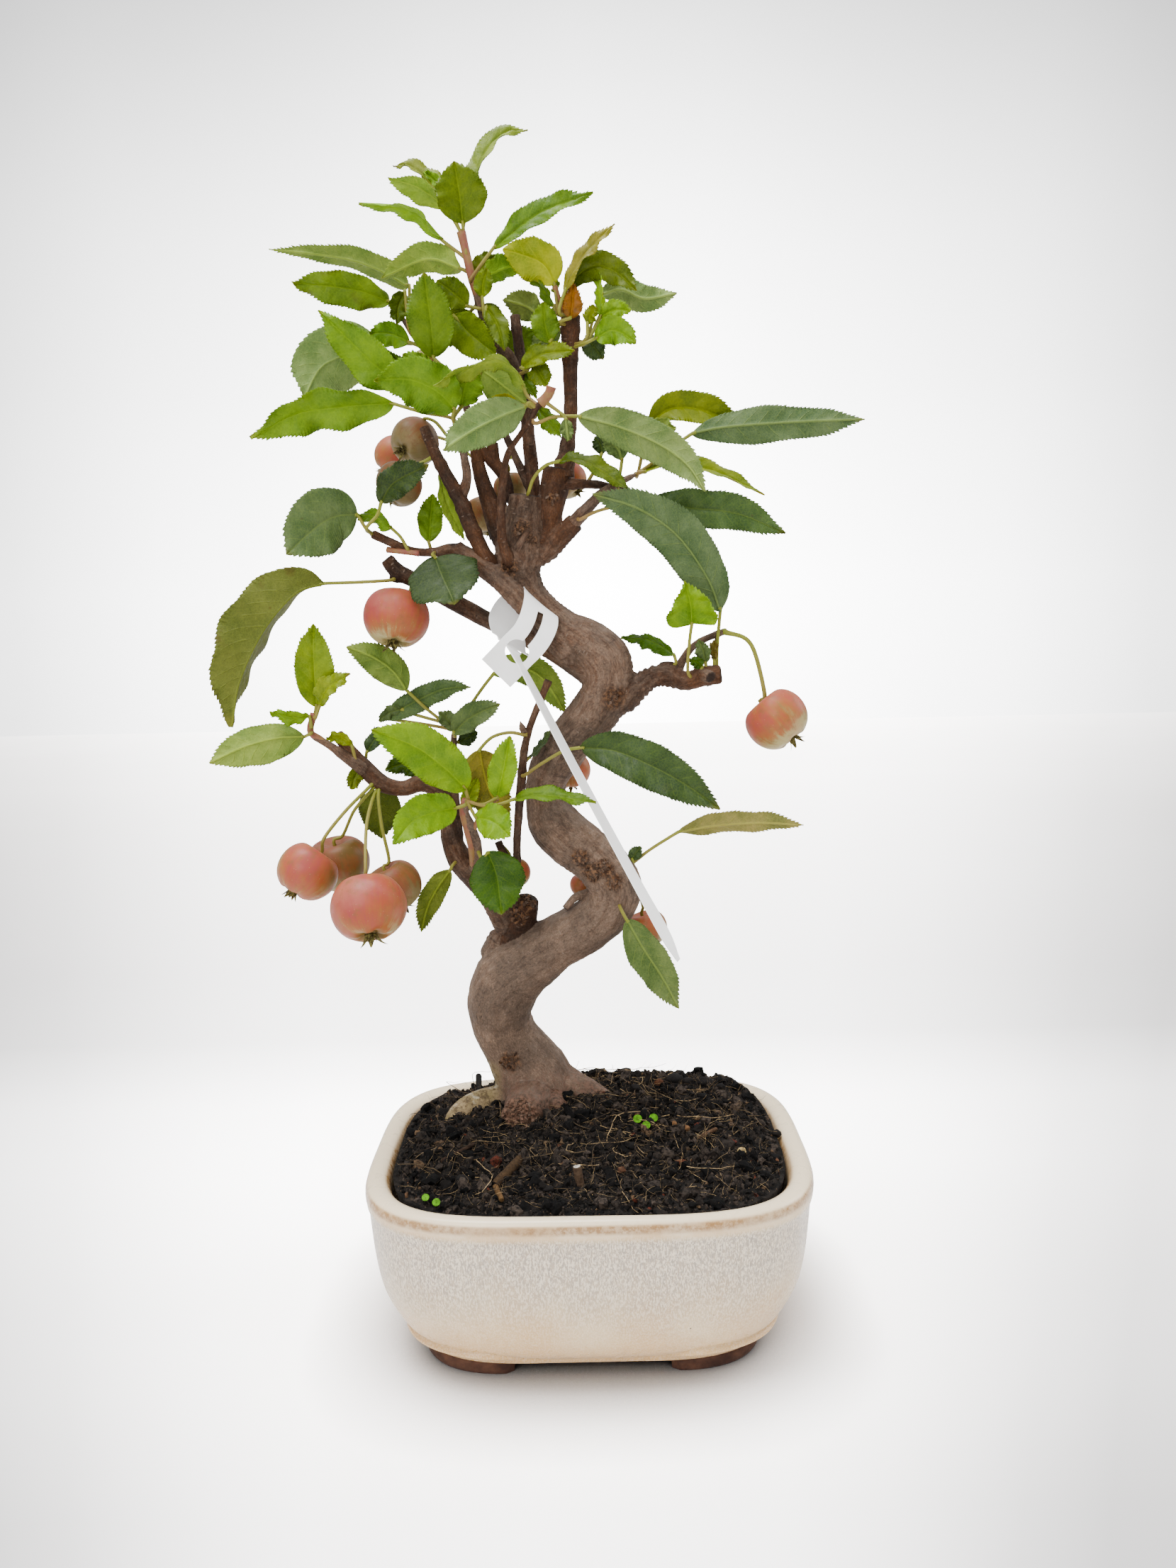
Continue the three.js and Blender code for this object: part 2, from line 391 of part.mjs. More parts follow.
const leaves = {
  apex_leaves: [
    ["stem", [[-37, 451], [-41, 463], [-43, 470], [-45, 480], [-47, 488.5]], [2, -1], 1.6],
    ["apexFront", [[-45, 480], [-46, 492]], [[-46, 492], [-47.5, 504], [-49, 517.5]], -2, -10, 22, 0, 12],
    ["apexPale", [[-46.8, 488], [-53, 499]], [[-53, 499], [-65, 507], [-77.5, 511]], -3, -16, 12, 40, 15],
    [
      "apexDry", [[-47, 488], [-52, 500]],
      [[-52, 500], [-59, 509], [-68, 516], [-75, 516]], 3, 10, 10, -50, 25,
    ],
    ["apexNarrow", [[-44.5, 477], [-55, 485]], [[-55, 485], [-70, 497], [-90.5, 501]], -1, -14, 12, 68, 20],
    ["apexUnder", [[-43, 471], [-47, 473]], [[-47, 473], [-62, 477.5], [-82, 470]], 1, 14, 13, 200, 15],
    [
      "apexArch", [[-46.5, 487], [-43, 503]],
      [[-43, 503], [-36, 520], [-27, 528.5], [-17, 529.5]], 1, 8, 11, 50, 20,
    ],
    [
      "apexRight", [[-43, 469], [-33, 481.5]],
      [[-33, 481.5], [-12, 493], [10.5, 503.5]], -2, -12, 12, 35, 20,
    ],
    [
      "apexWavy", [[-41.5, 464], [-38, 469.5]],
      [[-38, 469.5], [-29, 473], [-19.5, 475.5]], 4, 9, 11, 150, 10,
    ],
    ["apexYellow", [[-38, 454], [-38.5, 461]], [[-38.5, 461], [-38, 467], [-36, 473]], -3, -5, 8, 0, 10],
    ["apexLow", [[-37.5, 452], [-37, 457]], [[-37, 457], [-32.5, 450], [-29.5, 438.5]], -5, -9, 9, 10, 10],
    [
      "apexPink", [[-37, 451], [-45, 448], [-52, 452]],
      [[-52, 452], [-45, 444], [-34.5, 436.5]], -2, -5, 13, -30, 10,
    ],
    [
      "apexSpotted", [[-39, 456], [-45, 457.5]],
      [[-45, 457.5], [-51, 463], [-58, 468.5]], -2, -4, 13, 15, 10,
    ],
  ],
  crown_left_leaves: [
    [
      "stem", [[-44, 402.5], [-45.5, 411], [-49.5, 420.5], [-55, 429], [-63, 438], [-70, 447], [-75, 456]],
      [8, 9], 1.6,
    ],
    [
      "longUnder", [[-71, 450], [-70, 466]],
      [[-70, 466], [-84, 473], [-100, 479], [-129.5, 482.7]], 18, 28, 15, 190, 12,
    ],
    ["oliveDry", [[-74, 455], [-79, 460]], [[-79, 460], [-93, 464.5], [-121, 469]], 8, 0, 15, 25, 12],
    ["bigFront", [[-56, 431], [-60.5, 436]], [[-60.5, 436], [-61, 448], [-63.5, 472]], -14, -24, 19, 0, 8],
    ["darkOlive", [[-71, 449], [-72, 464]], [[-72, 464], [-75, 458], [-76, 450.5]], 3, 1, 9, 10, 8],
    [
      "bigUnder", [[-66, 442], [-84, 443]],
      [[-84, 443], [-98, 438.5], [-110, 433], [-118, 420]], 2, -12, 28, 185, 6,
    ],
    [
      "brightSteep", [[-63, 438], [-79, 427.5]],
      [[-79, 427.5], [-89, 434], [-109, 456.5]], 14, 24, 17, 5, 10,
    ],
    ["darkNarrow", [[-56, 430], [-66, 427.5]], [[-66, 427.5], [-76, 433], [-86, 441]], -2, -5, 9, 20, 10],
    ["arcLeaf", [[-49, 420], [-46, 421.5]], [[-46, 421.5], [-44, 426], [-41, 431]], 7, 6, 8, 10, 10],
  ],
  crown_right_leaves: [
    ["stem", [[-4.6, 448], [-5.2, 452.5], [-5.6, 456]], [0, -1], 1.7],
    ["yellowBroad", [[-5.3, 454], [-9, 470]], [[-9, 470], [-15, 474.5], [-26, 480]], 0, -6, 15, 10, 8],
    [
      "narrowBrown", [[-5.3, 454], [-2.5, 469.5]],
      [[-2.5, 469.5], [9, 480], [19.5, 490.5]], 0, -8, 10, 55, 20,
    ],
    [
      "archedGreen", [[-5, 454], [-1, 466]],
      [[-1, 466], [7, 475], [19, 471.5], [28, 462.5]], -2, -12, 12, 50, 20,
    ],
    ["thinGreen", [[-5.5, 453], [-7.5, 456.5]], [[-7.5, 456.5], [-12, 464], [-19, 473]], 2, 6, 8, 60, 15],
    ["driedBud", [[-5, 451], [-3, 454]], [[-3, 454], [0, 459], [1.5, 465.5]], -4, -5, 8, 0, 15],
    [
      "darkVertical", [[-5, 449], [-9.5, 441.5]],
      [[-9.5, 441.5], [-11.5, 449], [-12, 458.5]], -2, -6, 12, 0, 8,
    ],
    ["greyDark", [[-5, 450], [-14, 453]], [[-14, 453], [-20, 456], [-29.5, 459.8]], 14, 20, 10, 190, 8],
  ],
  crown_spur_leaves: [
    ["stem", [[3.6, 440], [5.5, 440.5], [6.5, 442.5]], [0, -3], 1.4],
    [
      "twistedTeal", [[6, 442], [10, 453], [13, 461]],
      [[13, 461], [22, 463], [32, 459], [46, 461]], 8, 12, 12, 165, 15,
    ],
    ["uprightLime", [[6, 441], [12.5, 452.5]], [[12.5, 452.5], [13, 461], [11.5, 471]], 0, -3, 8, 55, 15],
    ["lobeLime", [[6, 441], [12.5, 451.5]], [[12.5, 451.5], [18, 454.5], [26, 454.5]], -4, -10, 8, 10, 8],
    ["roundGreen", [[6, 441], [10.5, 443.5]], [[10.5, 443.5], [18, 446.5], [27.5, 442]], -6, -12, 9, 5, 8],
    ["darkBehind", [[5.5, 441], [6.5, 444]], [[6.5, 444], [9, 440], [13.5, 434]], 4, 2, 10, 0, 8],
  ],
  leader_leaves: [
    ["stem", [[-19.2, 427.5], [-17.8, 429], [-17, 431.5]], [6, 2], 1],
    [
      "limeFlag", [[-17.8, 429], [-16.5, 431.5]],
      [[-16.5, 431.5], [-11, 436.5], [1, 438.5]], 0, -8, 9, 45, 12,
    ],
    [
      "oliveLime", [[-17.8, 429.5], [-16, 429.5]],
      [[-16, 429.5], [-13, 428], [-10, 424.5]], 1, -2, 8, 10, 8,
    ],
  ],
  front_twig_leaves: [
    ["stem", [[-18.8, 414.8], [-19.5, 417.5], [-20.5, 420]], [-15, -13], 0.9],
    [
      "archingLeaf", [[-20, 419], [-21.5, 422.5]],
      [[-21.5, 422.5], [-26, 430.5], [-36, 434.5], [-61, 424]], -12, -24, 15, 60, 15,
    ],
    [
      "frontPale", [[-19.3, 416], [-21, 414.5]],
      [[-21, 414.5], [-32, 410.5], [-45, 404.5], [-58, 396.5]], -16, -50, 17, 180, 8,
    ],
  ],
  right_arching_leaf: [
    [
      "rightGrey", [[-16.5, 407.3], [-9, 409.8], [2, 410]],
      [[2, 410], [20, 405], [38, 397], [50, 388], [57.5, 376.5]], -14, -32, 17, 175, 10,
    ],
    ["smallTeal", [[-5, 411], [-3.5, 409]], [[-3.5, 409], [-3, 404], [-2.5, 399.5]], -16, -16, 5.5, 180, 5],
  ],
  left_spur_leaves: [
    ["stem", [[-51.5, 406.3], [-52.5, 409], [-53.5, 411]], [-6, -9], 1.2],
    [
      "mottledBig", [[-53, 410], [-55, 412.5]],
      [[-55, 412.5], [-63, 419.5], [-73, 423.5], [-84, 425]], -14, -27, 17, 15, 8,
    ],
    [
      "longLeft", [[-53, 410], [-66, 413], [-79, 418]],
      [[-79, 418], [-100, 415], [-120, 412.5], [-142, 404]], -8, -20, 18, 35, 12,
    ],
    [
      "broadUnder", [[-52.5, 410], [-46, 418], [-40, 425.5]],
      [[-40, 425.5], [-33, 424], [-27, 421]], -2, 0, 14, 185, 8,
    ],
  ],
  right_spur_leaves: [
    ["stem", [[25.5, 383.4], [27.5, 384.6], [29, 386]], [-8, -8], 1],
    [
      "farRight", [[28, 385], [37, 391], [45, 397], [52, 401.5]],
      [[52, 401.5], [68, 404], [100, 405.5], [128, 406]], -7, -12, 16, 200, 12,
    ],
    [
      "slender", [[27.5, 385], [30, 385.5]],
      [[30, 385.5], [42, 388.5], [60, 385.8], [84, 374.5]], -8, -3, 12, 65, 15,
    ],
    [
      "oliveFold", [[28, 385], [33, 406.5]],
      [[33, 406.5], [43, 412.5], [57, 411.5], [76, 403.5]], 2, 2, 14, 10, 20,
    ],
  ],
  lobed_leaf: [
    [
      "roundLobe", [[18.6, 379.5], [20, 385], [21, 391]],
      [[21, 391], [19, 396], [13, 402]], -3, -5, 9, 180, 5,
    ],
  ],
  arched_leaf: [
    [
      "archedOlive", [[-20.5, 378], [-18, 384], [-13, 389], [-7, 390.8]],
      [[-7, 390.8], [2, 391.5], [12, 386.5], [24, 377.5]], -7, -16, 12, 60, 15,
    ],
  ],
  dark_right_leaf: [
    [
      "darkRight", [[2, 365.5], [10, 369], [20, 371], [31, 371.3]],
      [[31, 371.3], [50, 369.5], [72, 366.5], [93, 357.5]], -9, -9, 17, 10, 15,
    ],
  ],
  tall_right_leaf: [
    [
      "tallRight", [[62, 300.5], [62.5, 311], [63.8, 324]],
      [[63.8, 324], [58, 339], [45, 357.5], [28, 369.5], [7.5, 376.5]], -4, -28, 21, 180, 8,
    ],
  ],
  folded_lime_leaf: [
    [
      "foldedLime", [[49, 297.5], [49.8, 310], [51, 318.5]],
      [[51, 318.5], [50.5, 327], [48, 337]], -10, -16, 20, 0, 30,
    ],
  ],
  stub_left_leaf: [
    [
      "stubLeft", [[43.5, 301], [43, 304.5]],
      [[43, 304.5], [37, 309], [29, 312.3], [19, 312.5]], -3, 4, 9, 40, 12,
    ],
  ],
  big_dark_leaf: [
    [
      "bigDark", [[-25.5, 252], [-18, 257], [-8, 262.5], [0, 264]],
      [[0, 264], [14, 262.5], [28, 257], [46, 247], [63, 234.5]], -12, -32, 21, 0, 10,
    ],
  ],
  pointing_leaf: [
    [
      "pointing", [[22, 210], [30, 216], [38, 221], [44, 224.5]],
      [[44, 224.5], [60, 227], [80, 228], [101, 226.5]], 4, -6, 10, 150, 12,
    ],
  ],
  drooping_leaf: [
    [
      "drooping", [[17, 189], [19.5, 184]],
      [[19.5, 184], [27, 170], [35, 157], [43, 141.5]], -8, -12, 18, 200, 10,
    ],
  ],
  left_twig_leaves: [
    ["stem", [[-92, 361.8], [-93.5, 363.5], [-94, 365]], [-4, -6], 1.5],
    [
      "overFruits", [[-93, 363.5], [-88, 369], [-86, 374.5]],
      [[-86, 374.5], [-80, 383], [-64.5, 390.5]], -15, -26, 14, 10, 10,
    ],
    [
      "bigGreyLeft", [[-93.5, 364], [-96.5, 369.5]],
      [[-96.5, 369.5], [-106, 369], [-115, 364.5], [-129, 353]], -8, -26, 28, 5, 6,
    ],
  ],
  round_dark_leaf: [
    [
      "roundDark", [[-64, 351.5], [-63, 350.5]],
      [[-63, 350.5], [-60.5, 343], [-57.5, 336], [-55, 329.5]], -6, -22, 32, 5, 6,
    ],
  ],
  upright_bright_leaf: [
    [
      "uprightBright", [[-64.5, 353], [-65.5, 357]],
      [[-65.5, 357], [-64.5, 366], [-63, 378]], 3, 4, 11, 0, 8,
    ],
  ],
  hanging_strip_leaf: [
    [
      "hangingStrip", [[-57.3, 389.5], [-59.5, 386]],
      [[-59.5, 386], [-57, 374], [-52.5, 364], [-49.5, 357.5]], 3, 11, 10, 50, 10,
    ],
  ],
  long_curved_leaf: [
    [
      "longCurved", [[-83, 340.6], [-98, 340], [-113, 339.8]],
      [[-113, 339.8], [-126, 335.5], [-141, 319.5], [-153, 297], [-157.5, 276.5]], -2, -20, 33, 222, 43,
    ],
  ],
  left_spur_tip_leaves: [
    ["stem", [[-121.7, 272.3], [-122, 275], [-120.5, 278], [-119.5, 282]], [-9, -9], 1.3],
    [
      "brightTall", [[-119.5, 281], [-118.8, 285]],
      [[-118.8, 285], [-119, 297], [-119, 310], [-118.5, 322]], -9, -14, 17.5, 0, 8,
    ],
    [
      "brightSide", [[-119.5, 280], [-117.5, 285]],
      [[-117.5, 285], [-114, 293], [-103, 299.5]], -12, -20, 9, 30, 10,
    ],
    [
      "brightTwist", [[-121.5, 276], [-122, 280.5]],
      [[-122, 280.5], [-130, 280.3], [-140, 283]], -11, -20, 8, 40, 10,
    ],
    [
      "paleBig", [[-121.8, 273], [-125, 271.5]],
      [[-125, 271.5], [-137, 271], [-152, 267.5], [-168.5, 260.5]], -12, -28, 19, 165, 10,
    ],
  ],
  behind_fruit_leaf: [
    ["behindFruit", [[-93, 249], [-93, 247]], [[-93, 247], [-92.5, 237], [-92, 224.5]], 6, 14, 20, 180, 8],
  ],
  front_spur_leaves: [
    ["stem", [[-53.5, 237.8], [-52.5, 240], [-51, 241.5]], [-17, -20], 1.2],
    [
      "bigLime", [[-51.5, 241], [-53, 246.8]],
      [[-53, 246.8], [-62, 256], [-75, 266], [-94.5, 274]], -24, -48, 22, 0, 8,
    ],
    [
      "limeLeft", [[-53, 239], [-57.5, 237.5]],
      [[-57.5, 237.5], [-66, 236], [-77, 232], [-86.5, 221.5]], -22, -44, 18.5, 5, 8,
    ],
    [
      "limeUp", [[-52, 240.5], [-45, 239], [-38.5, 242]],
      [[-38.5, 242], [-36, 252], [-32, 270]], -22, -28, 13.5, 5, 15,
    ],
    [
      "greenPointer", [[-51.5, 240.5], [-42, 238], [-31, 241]],
      [[-31, 241], [-18, 243], [6.5, 238.8]], -26, -34, 10, 50, 10,
    ],
    ["limeRound", [[-52, 240], [-48.5, 233]], [[-48.5, 233], [-41, 231], [-33, 224]], -26, -34, 16, 0, 6],
  ],
  round_green_leaf: [
    [
      "roundGreen", [[-46, 213.5], [-43.5, 217]],
      [[-43.5, 217], [-40, 207], [-38.8, 197], [-38, 187.8]], -14, -28, 25, 0, 6,
    ],
  ],
  olive_hanging_leaf: [
    [
      "oliveHanging", [[-59.5, 211.5], [-61, 209]],
      [[-61, 209], [-67, 201], [-72, 192], [-75.3, 180.5]], -4, -6, 11, 190, 8,
    ],
  ],
  olive_arch_leaf: [
    [
      "oliveArch", [[-25, 270.2], [-32, 271.5], [-40, 269.5], [-45.8, 264]],
      [[-45.8, 264], [-44.3, 254], [-41, 243], [-33, 233]], -10, -4, 21, 185, 6,
    ],
  ],
  upper_left_leaves: [
    ["stem", [[-57.2, 270], [-56.5, 272.5], [-56, 275]], [2, 2], 1.3],
    [
      "greyTop", [[-56.5, 273], [-68, 282], [-77.8, 291.5]],
      [[-77.8, 291.5], [-84, 300.5], [-93, 307], [-104, 311.5]], 2, -4, 15, 185, 8,
    ],
    [
      "tealTop", [[-56.5, 273], [-68, 278], [-78, 282.5]],
      [[-78, 282.5], [-69, 287], [-49.5, 292]], 8, 4, 12, 30, 10,
    ],
    [
      "tealLow", [[-56.5, 272.5], [-54, 273.5]],
      [[-54, 273.5], [-50, 278], [-36.5, 284]], 0, -6, 12, 20, 12,
    ],
    [
      "behindTag", [[-56, 274], [-49, 284.5], [-43.5, 292], [-38.5, 298]],
      [[-38.5, 298], [-29, 301], [-17, 296], [-6.5, 280]], 5, 12, 14, 5, 8,
    ],
  ],
};

const LEAF_COLOUR = {
  apex_leaves: "leaf", crown_left_leaves: "leaf", crown_right_leaves: "lime", folded_lime_leaf: "lime",
  left_spur_tip_leaves: "lime", front_spur_leaves: "lime", upright_bright_leaf: "lime",
};

// a blade along its midrib, as wide as it is seen from the front when it isn't rolled
function blade(rib, near, far, width, roll, fold) {
  const path = new THREE.CatmullRomCurve3(rib.map(([a, u], i) => (
    at(a, u, near + (far - near) * i / (rib.length - 1))
  )), false, "centripetal");
  const eye = new THREE.Vector3(EYE.across, EYE.back, EYE.up);
  const turn = THREE.MathUtils.degToRad(roll);
  const lift = THREE.MathUtils.degToRad(fold);
  const rings = [];
  for (let i = 0; i <= LEAF.stations; i += 1) {
    const t = i / LEAF.stations;
    const centre = path.getPoint(t);
    const along = path.getTangent(t);
    const toEye = eye.clone().sub(centre).normalize();
    const side0 = along.clone().cross(toEye).normalize();
    const face0 = side0.clone().cross(along).normalize();
    const side = side0.clone().multiplyScalar(Math.cos(turn)).addScaledVector(face0, Math.sin(turn));
    const face = face0.clone().multiplyScalar(Math.cos(turn)).addScaledVector(side0, -Math.sin(turn));
    const bulge = Math.sin(Math.PI * t ** LEAF.belly) ** LEAF.rounding;
    const half = Math.max(width / 2 * bulge * nearness(near), LEAF.leastHalf);
    const edge = (sign) => centre.clone()
      .addScaledVector(side, sign * half * Math.cos(lift))
      .addScaledVector(face, half * Math.sin(lift));
    const thick = face.clone().multiplyScalar(LEAF.thick / 2);
    const row = [edge(-1), centre, edge(1)];
    rings.push([
      ...row.map((p) => p.clone().add(thick)),
      ...row.reverse().map((p) => p.clone().sub(thick)),
    ]);
  }
  return loft(rings);
}

function nearest(points, [across, up]) {
  const away = ([a, u]) => Math.hypot(a - across, u - up);
  return points.reduce((best, p) => (away(p) < away(best) ? p : best));
}

// a leaf on its stalk; the stalk starts on the green shoot, or on the wood where there is no shoot
function leafSolid([, stalk, rib, near, far, width, roll, fold], shoot) {
  const reach = stalk.map(([a, u]) => [a, u, near, LEAF.stalkRadius]);
  if (shoot) {
    const [a, u, d] = nearest(shoot, stalk[0]);
    reach[0] = [a, u, d, LEAF.stalkRadius];
  }
  const whole = shoot ? reach : rooted(reach, LEAF.stalkRadius);
  return stem(whole, { sides: 3 }).add(blade(rib, near, far, width, roll, fold));
}

// the leaves of one shoot, joined where their stalks meet
function leafyTwig(rows) {
  const shootRow = rows.find((row) => row[0] === "stem");
  const leafRows = rows.filter((row) => row !== shootRow);
  if (!shootRow) return joined(leafRows.map((row) => leafSolid(row)));
  const [, points, [from, to], radius] = shootRow;
  const shoot = points.map(([a, u], i) => [a, u, from + (to - from) * i / (points.length - 1), radius]);
  const grown = leafRows.map((row) => leafSolid(row, shoot));
  return joined([stem(rooted(shoot, radius), { sides: 5 }), ...grown]);
}

// ---- fruits: centre, radius, which way the blossom end points, stalk from the twig to the fruit

const fruits = {
  fruit_hanging_left: [
    [-126.3, 209.8, -26], 14, [-0.55, -0.75, -0.3],
    [[-97, 247.5, -9], [-108, 237, -16], [-118, 225, -24]],
  ],
  fruit_hanging_back: [
    [-112, 213.5, 5], 14.2, [0.1, -1, 0.2],
    [[-97, 245, -7], [-104, 237, -2], [-109.5, 226, 4]],
  ],
  fruit_hanging_front: [
    [-99.2, 192.6, -48], 17.4, [0.15, -0.85, -0.5],
    [[-94.5, 244, -9], [-98.5, 230, -30], [-99.8, 209, -46]],
  ],
  fruit_hanging_right: [
    [-87.3, 202.2, -14], 13, [0.4, -0.9, 0.1],
    [[-92.5, 244.5, -8], [-91.5, 230, -12], [-88.8, 214, -13]],
  ],
  fruit_left_limb: [[-81.2, 324.2, -4], 14.8, [-0.1, -1, -0.35], [[-74.5, 336, -1], [-76.3, 333, -3]]],
  fruit_crown_left: [
    [-70, 400.5, 16], 10.8, [-0.55, -0.5, -0.6],
    [[-51, 397, -3], [-56, 403, 3], [-61, 409, 9], [-66, 410, 13]],
  ],
  fruit_crown_back: [
    [-78.5, 394, 46], 9.8, [-0.6, -0.6, 0],
    [[-43, 392, 13], [-54, 400, 26], [-64, 403, 36], [-70, 401, 42]],
  ],
  fruit_crown_low: [[-77.7, 382.5, -2], 10.3, [-0.55, -0.85, -0.3], [[-65, 392.5, -2], [-70, 390.5, -2]]],
  fruit_right: [
    [88.8, 275, -6], 13.6, [0.62, -0.75, -0.2],
    [[66.5, 314.3, -3], [75, 311.5, -4], [79.5, 304, -5], [83.5, 286, -6]],
  ],
  fruit_behind_stump: [[-3, 382.5, 22], 8.3, [0.6, -0.75, -0.2], [[-9, 369, 12], [-8, 375, 18]]],
  fruit_behind_limb: [[-39.5, 368.5, 26], 10, [0.2, -1, -0.1], [[-39, 386, 14], [-39.5, 380, 22]]],
  fruit_behind_trunk: [[-5, 254, 29], 9.4, [0.1, -1, 0], [[-3, 272, 18], [-4.5, 264, 26]]],
  fruit_under_leaf: [[28.5, 180, 20], 9.7, [0.3, -1, 0], [[23, 201, 14], [27, 190.5, 19]]],
  fruit_behind_twig: [[-32, 207, 6], 7.8, [0.2, -1, 0], [[-38, 221, 5.8], [-34, 216.5, 6]]],
  fruit_crown_small: [[-67.5, 435.5, 0], 4.6, [-0.6, 0.8, -0.2], [[-60, 432.5, 4], [-63, 432, 2]]],
  fruit_small_back: [[-13, 365.5, 22], 7.2, [0.5, -0.8, 0], [[-12, 376, 11], [-12.5, 373, 17]]],
};

function fruitSolid([centre, radius, towards, stalk]) {
  const real = radius * nearness(centre[2]);
  const outline = [];
  for (let i = 0; i <= FRUIT.rows; i += 1) {
    const angle = Math.PI * i / FRUIT.rows;
    const dimple = i === 0 ? FRUIT.stalkEnd : 1;
    const height = i === FRUIT.rows ? FRUIT.blossomEnd : FRUIT.squat;
    outline.push(new THREE.Vector2(Math.sin(angle) * real, Math.cos(angle) * real * dimple * height));
  }
  outline[0].x = 0;
  outline[FRUIT.rows].x = 0;
  outline.reverse();
  const body = new THREE.LatheGeometry(outline, FRUIT.sides);
  const tip = new THREE.Vector3(...towards);
  body.applyQuaternion(new THREE.Quaternion().setFromUnitVectors(
    new THREE.Vector3(0, -1, 0),
    new THREE.Vector3(tip.x, tip.z, tip.y).normalize(),
  ));
  const middle = at(...centre);
  body.translate(middle.x, middle.y, middle.z);
  const reach = stalk.map(([a, u, d]) => [a, u, d, LEAF.stalkRadius]);
  const whole = [centre[0], centre[1], centre[2], LEAF.stalkRadius];
  let round = solidOf(body);
  if (round.volume() < 0) {
    body.setIndex(Array.from(body.index.array).reverse());
    round = solidOf(body);
  }
  return round.add(stem([...rooted(reach, LEAF.stalkRadius), whole], { sides: 3 }));
}

// ---- label tag: a slotted head, a band round the limb, and a long tail through the head's hole

// a strip whose width lies along each row's across direction
function ribbon(rows, thick) {
  const rings = rows.map(([centre, across, width], i) => {
    const before = rows[Math.max(i - 1, 0)][0];
    const after = rows[Math.min(i + 1, rows.length - 1)][0];
    const half = across.clone().normalize().multiplyScalar(width / 2);
    const lift = across.clone().cross(after.clone().sub(before)).normalize().multiplyScalar(thick / 2);
    return [
      centre.clone().add(half).add(lift), centre.clone().sub(half).add(lift),
      centre.clone().sub(half).sub(lift), centre.clone().add(half).sub(lift),
    ];
  });
  return loft(rings);
}

function tagSolid() {
  const limbWay = new THREE.Vector3(0.79, 0, -0.61);
  const tailWay = new THREE.Vector3(0.36, 0.92, 0.18);
  const band = [
    [-37.5, 298, -12.5], [-31.5, 307, -13.5], [-26, 316, -13.5], [-21, 325, -12.5], [-18.5, 331, -8.5],
    [-18.2, 333, -3], [-21, 331, 3], [-26, 325.5, 6], [-31, 318, 5.5], [-35, 311.5, 2],
  ].map(([a, u, d]) => [at(a, u, d), limbWay, TAG.headWidth]);
  const tail = [
    [-34.8, 311.8, 2.2, 0, 8], [-35.5, 309, -3, 0, 8], [-33, 307, -8.5, 0, 8], [-29.5, 305.5, -15, 0.1, 8],
    [-25.5, 299, -19, 0.6, 9], [-20, 288, -21, 1, TAG.tailWidth], [0, 248.5, -26, 1, TAG.tailWidth],
    [24, 202, -30, 1, TAG.tailWidth], [38, 175, -33, 1, TAG.tailWidth], [43, 164.5, -34, 1, 4],
  ].map(([a, u, d, turned, width]) => [at(a, u, d), limbWay.clone().lerp(tailWay, turned), width]);
  const hole = new THREE.CylinderGeometry(TAG.holeRadius, TAG.holeRadius, 8, 16);
  hole.translate(...at(-29.8, 309, -14).toArray());
  const rows = (points, way, width) => points.map(([a, u, d]) => [at(a, u, d), way, width]);
  const through = ribbon(rows([[-27.5, 312.5, -18], [-27.5, 312.5, -9]], limbWay, TAG.slot), 1);
  const upAndOver = rows([[-28, 311, -14], [-19.5, 326, -13]], new THREE.Vector3(0, 1, 0), 12);
  const slot = through.add(ribbon(upAndOver, TAG.slot));
  return ribbon(band, TAG.thick).subtract(solidOf(hole)).subtract(slot).add(ribbon(tail, TAG.thick));
}

// ---- assembly

add("pot", geometryOf(potSolid()), "glaze", 0.35);
add("drain_mesh", geometryOf(drainMesh()), "mesh", 0.6);
add("soil", geometryOf(soilSolid(woodRooms.trunk)), "soil", 0.95);
for (const [name, solid] of Object.entries(woodSolids)) {
  add(name, geometryOf(solid), name === "trunk" ? "bark" : "redBark", 0.85);
}
for (const [name, row] of Object.entries(fruits)) {
  const solid = largest(fruitSolid(row).subtract(woodRoom));
  add(name, geometryOf(solid), "fruit", 0.45);
}
add("label_tag", geometryOf(largest(tagSolid().subtract(woodRoom))), "plastic", 0.5);
for (const [name, rows] of Object.entries(leaves)) {
  const solid = largest(leafyTwig(rows).subtract(woodRoom));
  add(name, geometryOf(solid), LEAF_COLOUR[name] ?? "darkLeaf", 0.6);
}

// the frame's origin stands under the middle of the whole model
const box = new THREE.Box3().setFromObject(bonsai);
const model = new THREE.Group();
bonsai.position.set(-(box.min.x + box.max.x) / 2, -(box.min.y + box.max.y) / 2, -box.min.z);
model.add(bonsai);
model.updateMatrixWorld(true);

export default model;
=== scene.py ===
import bmesh
import bpy
import math
import random
import numpy as np
from mathutils import Matrix, Vector, noise


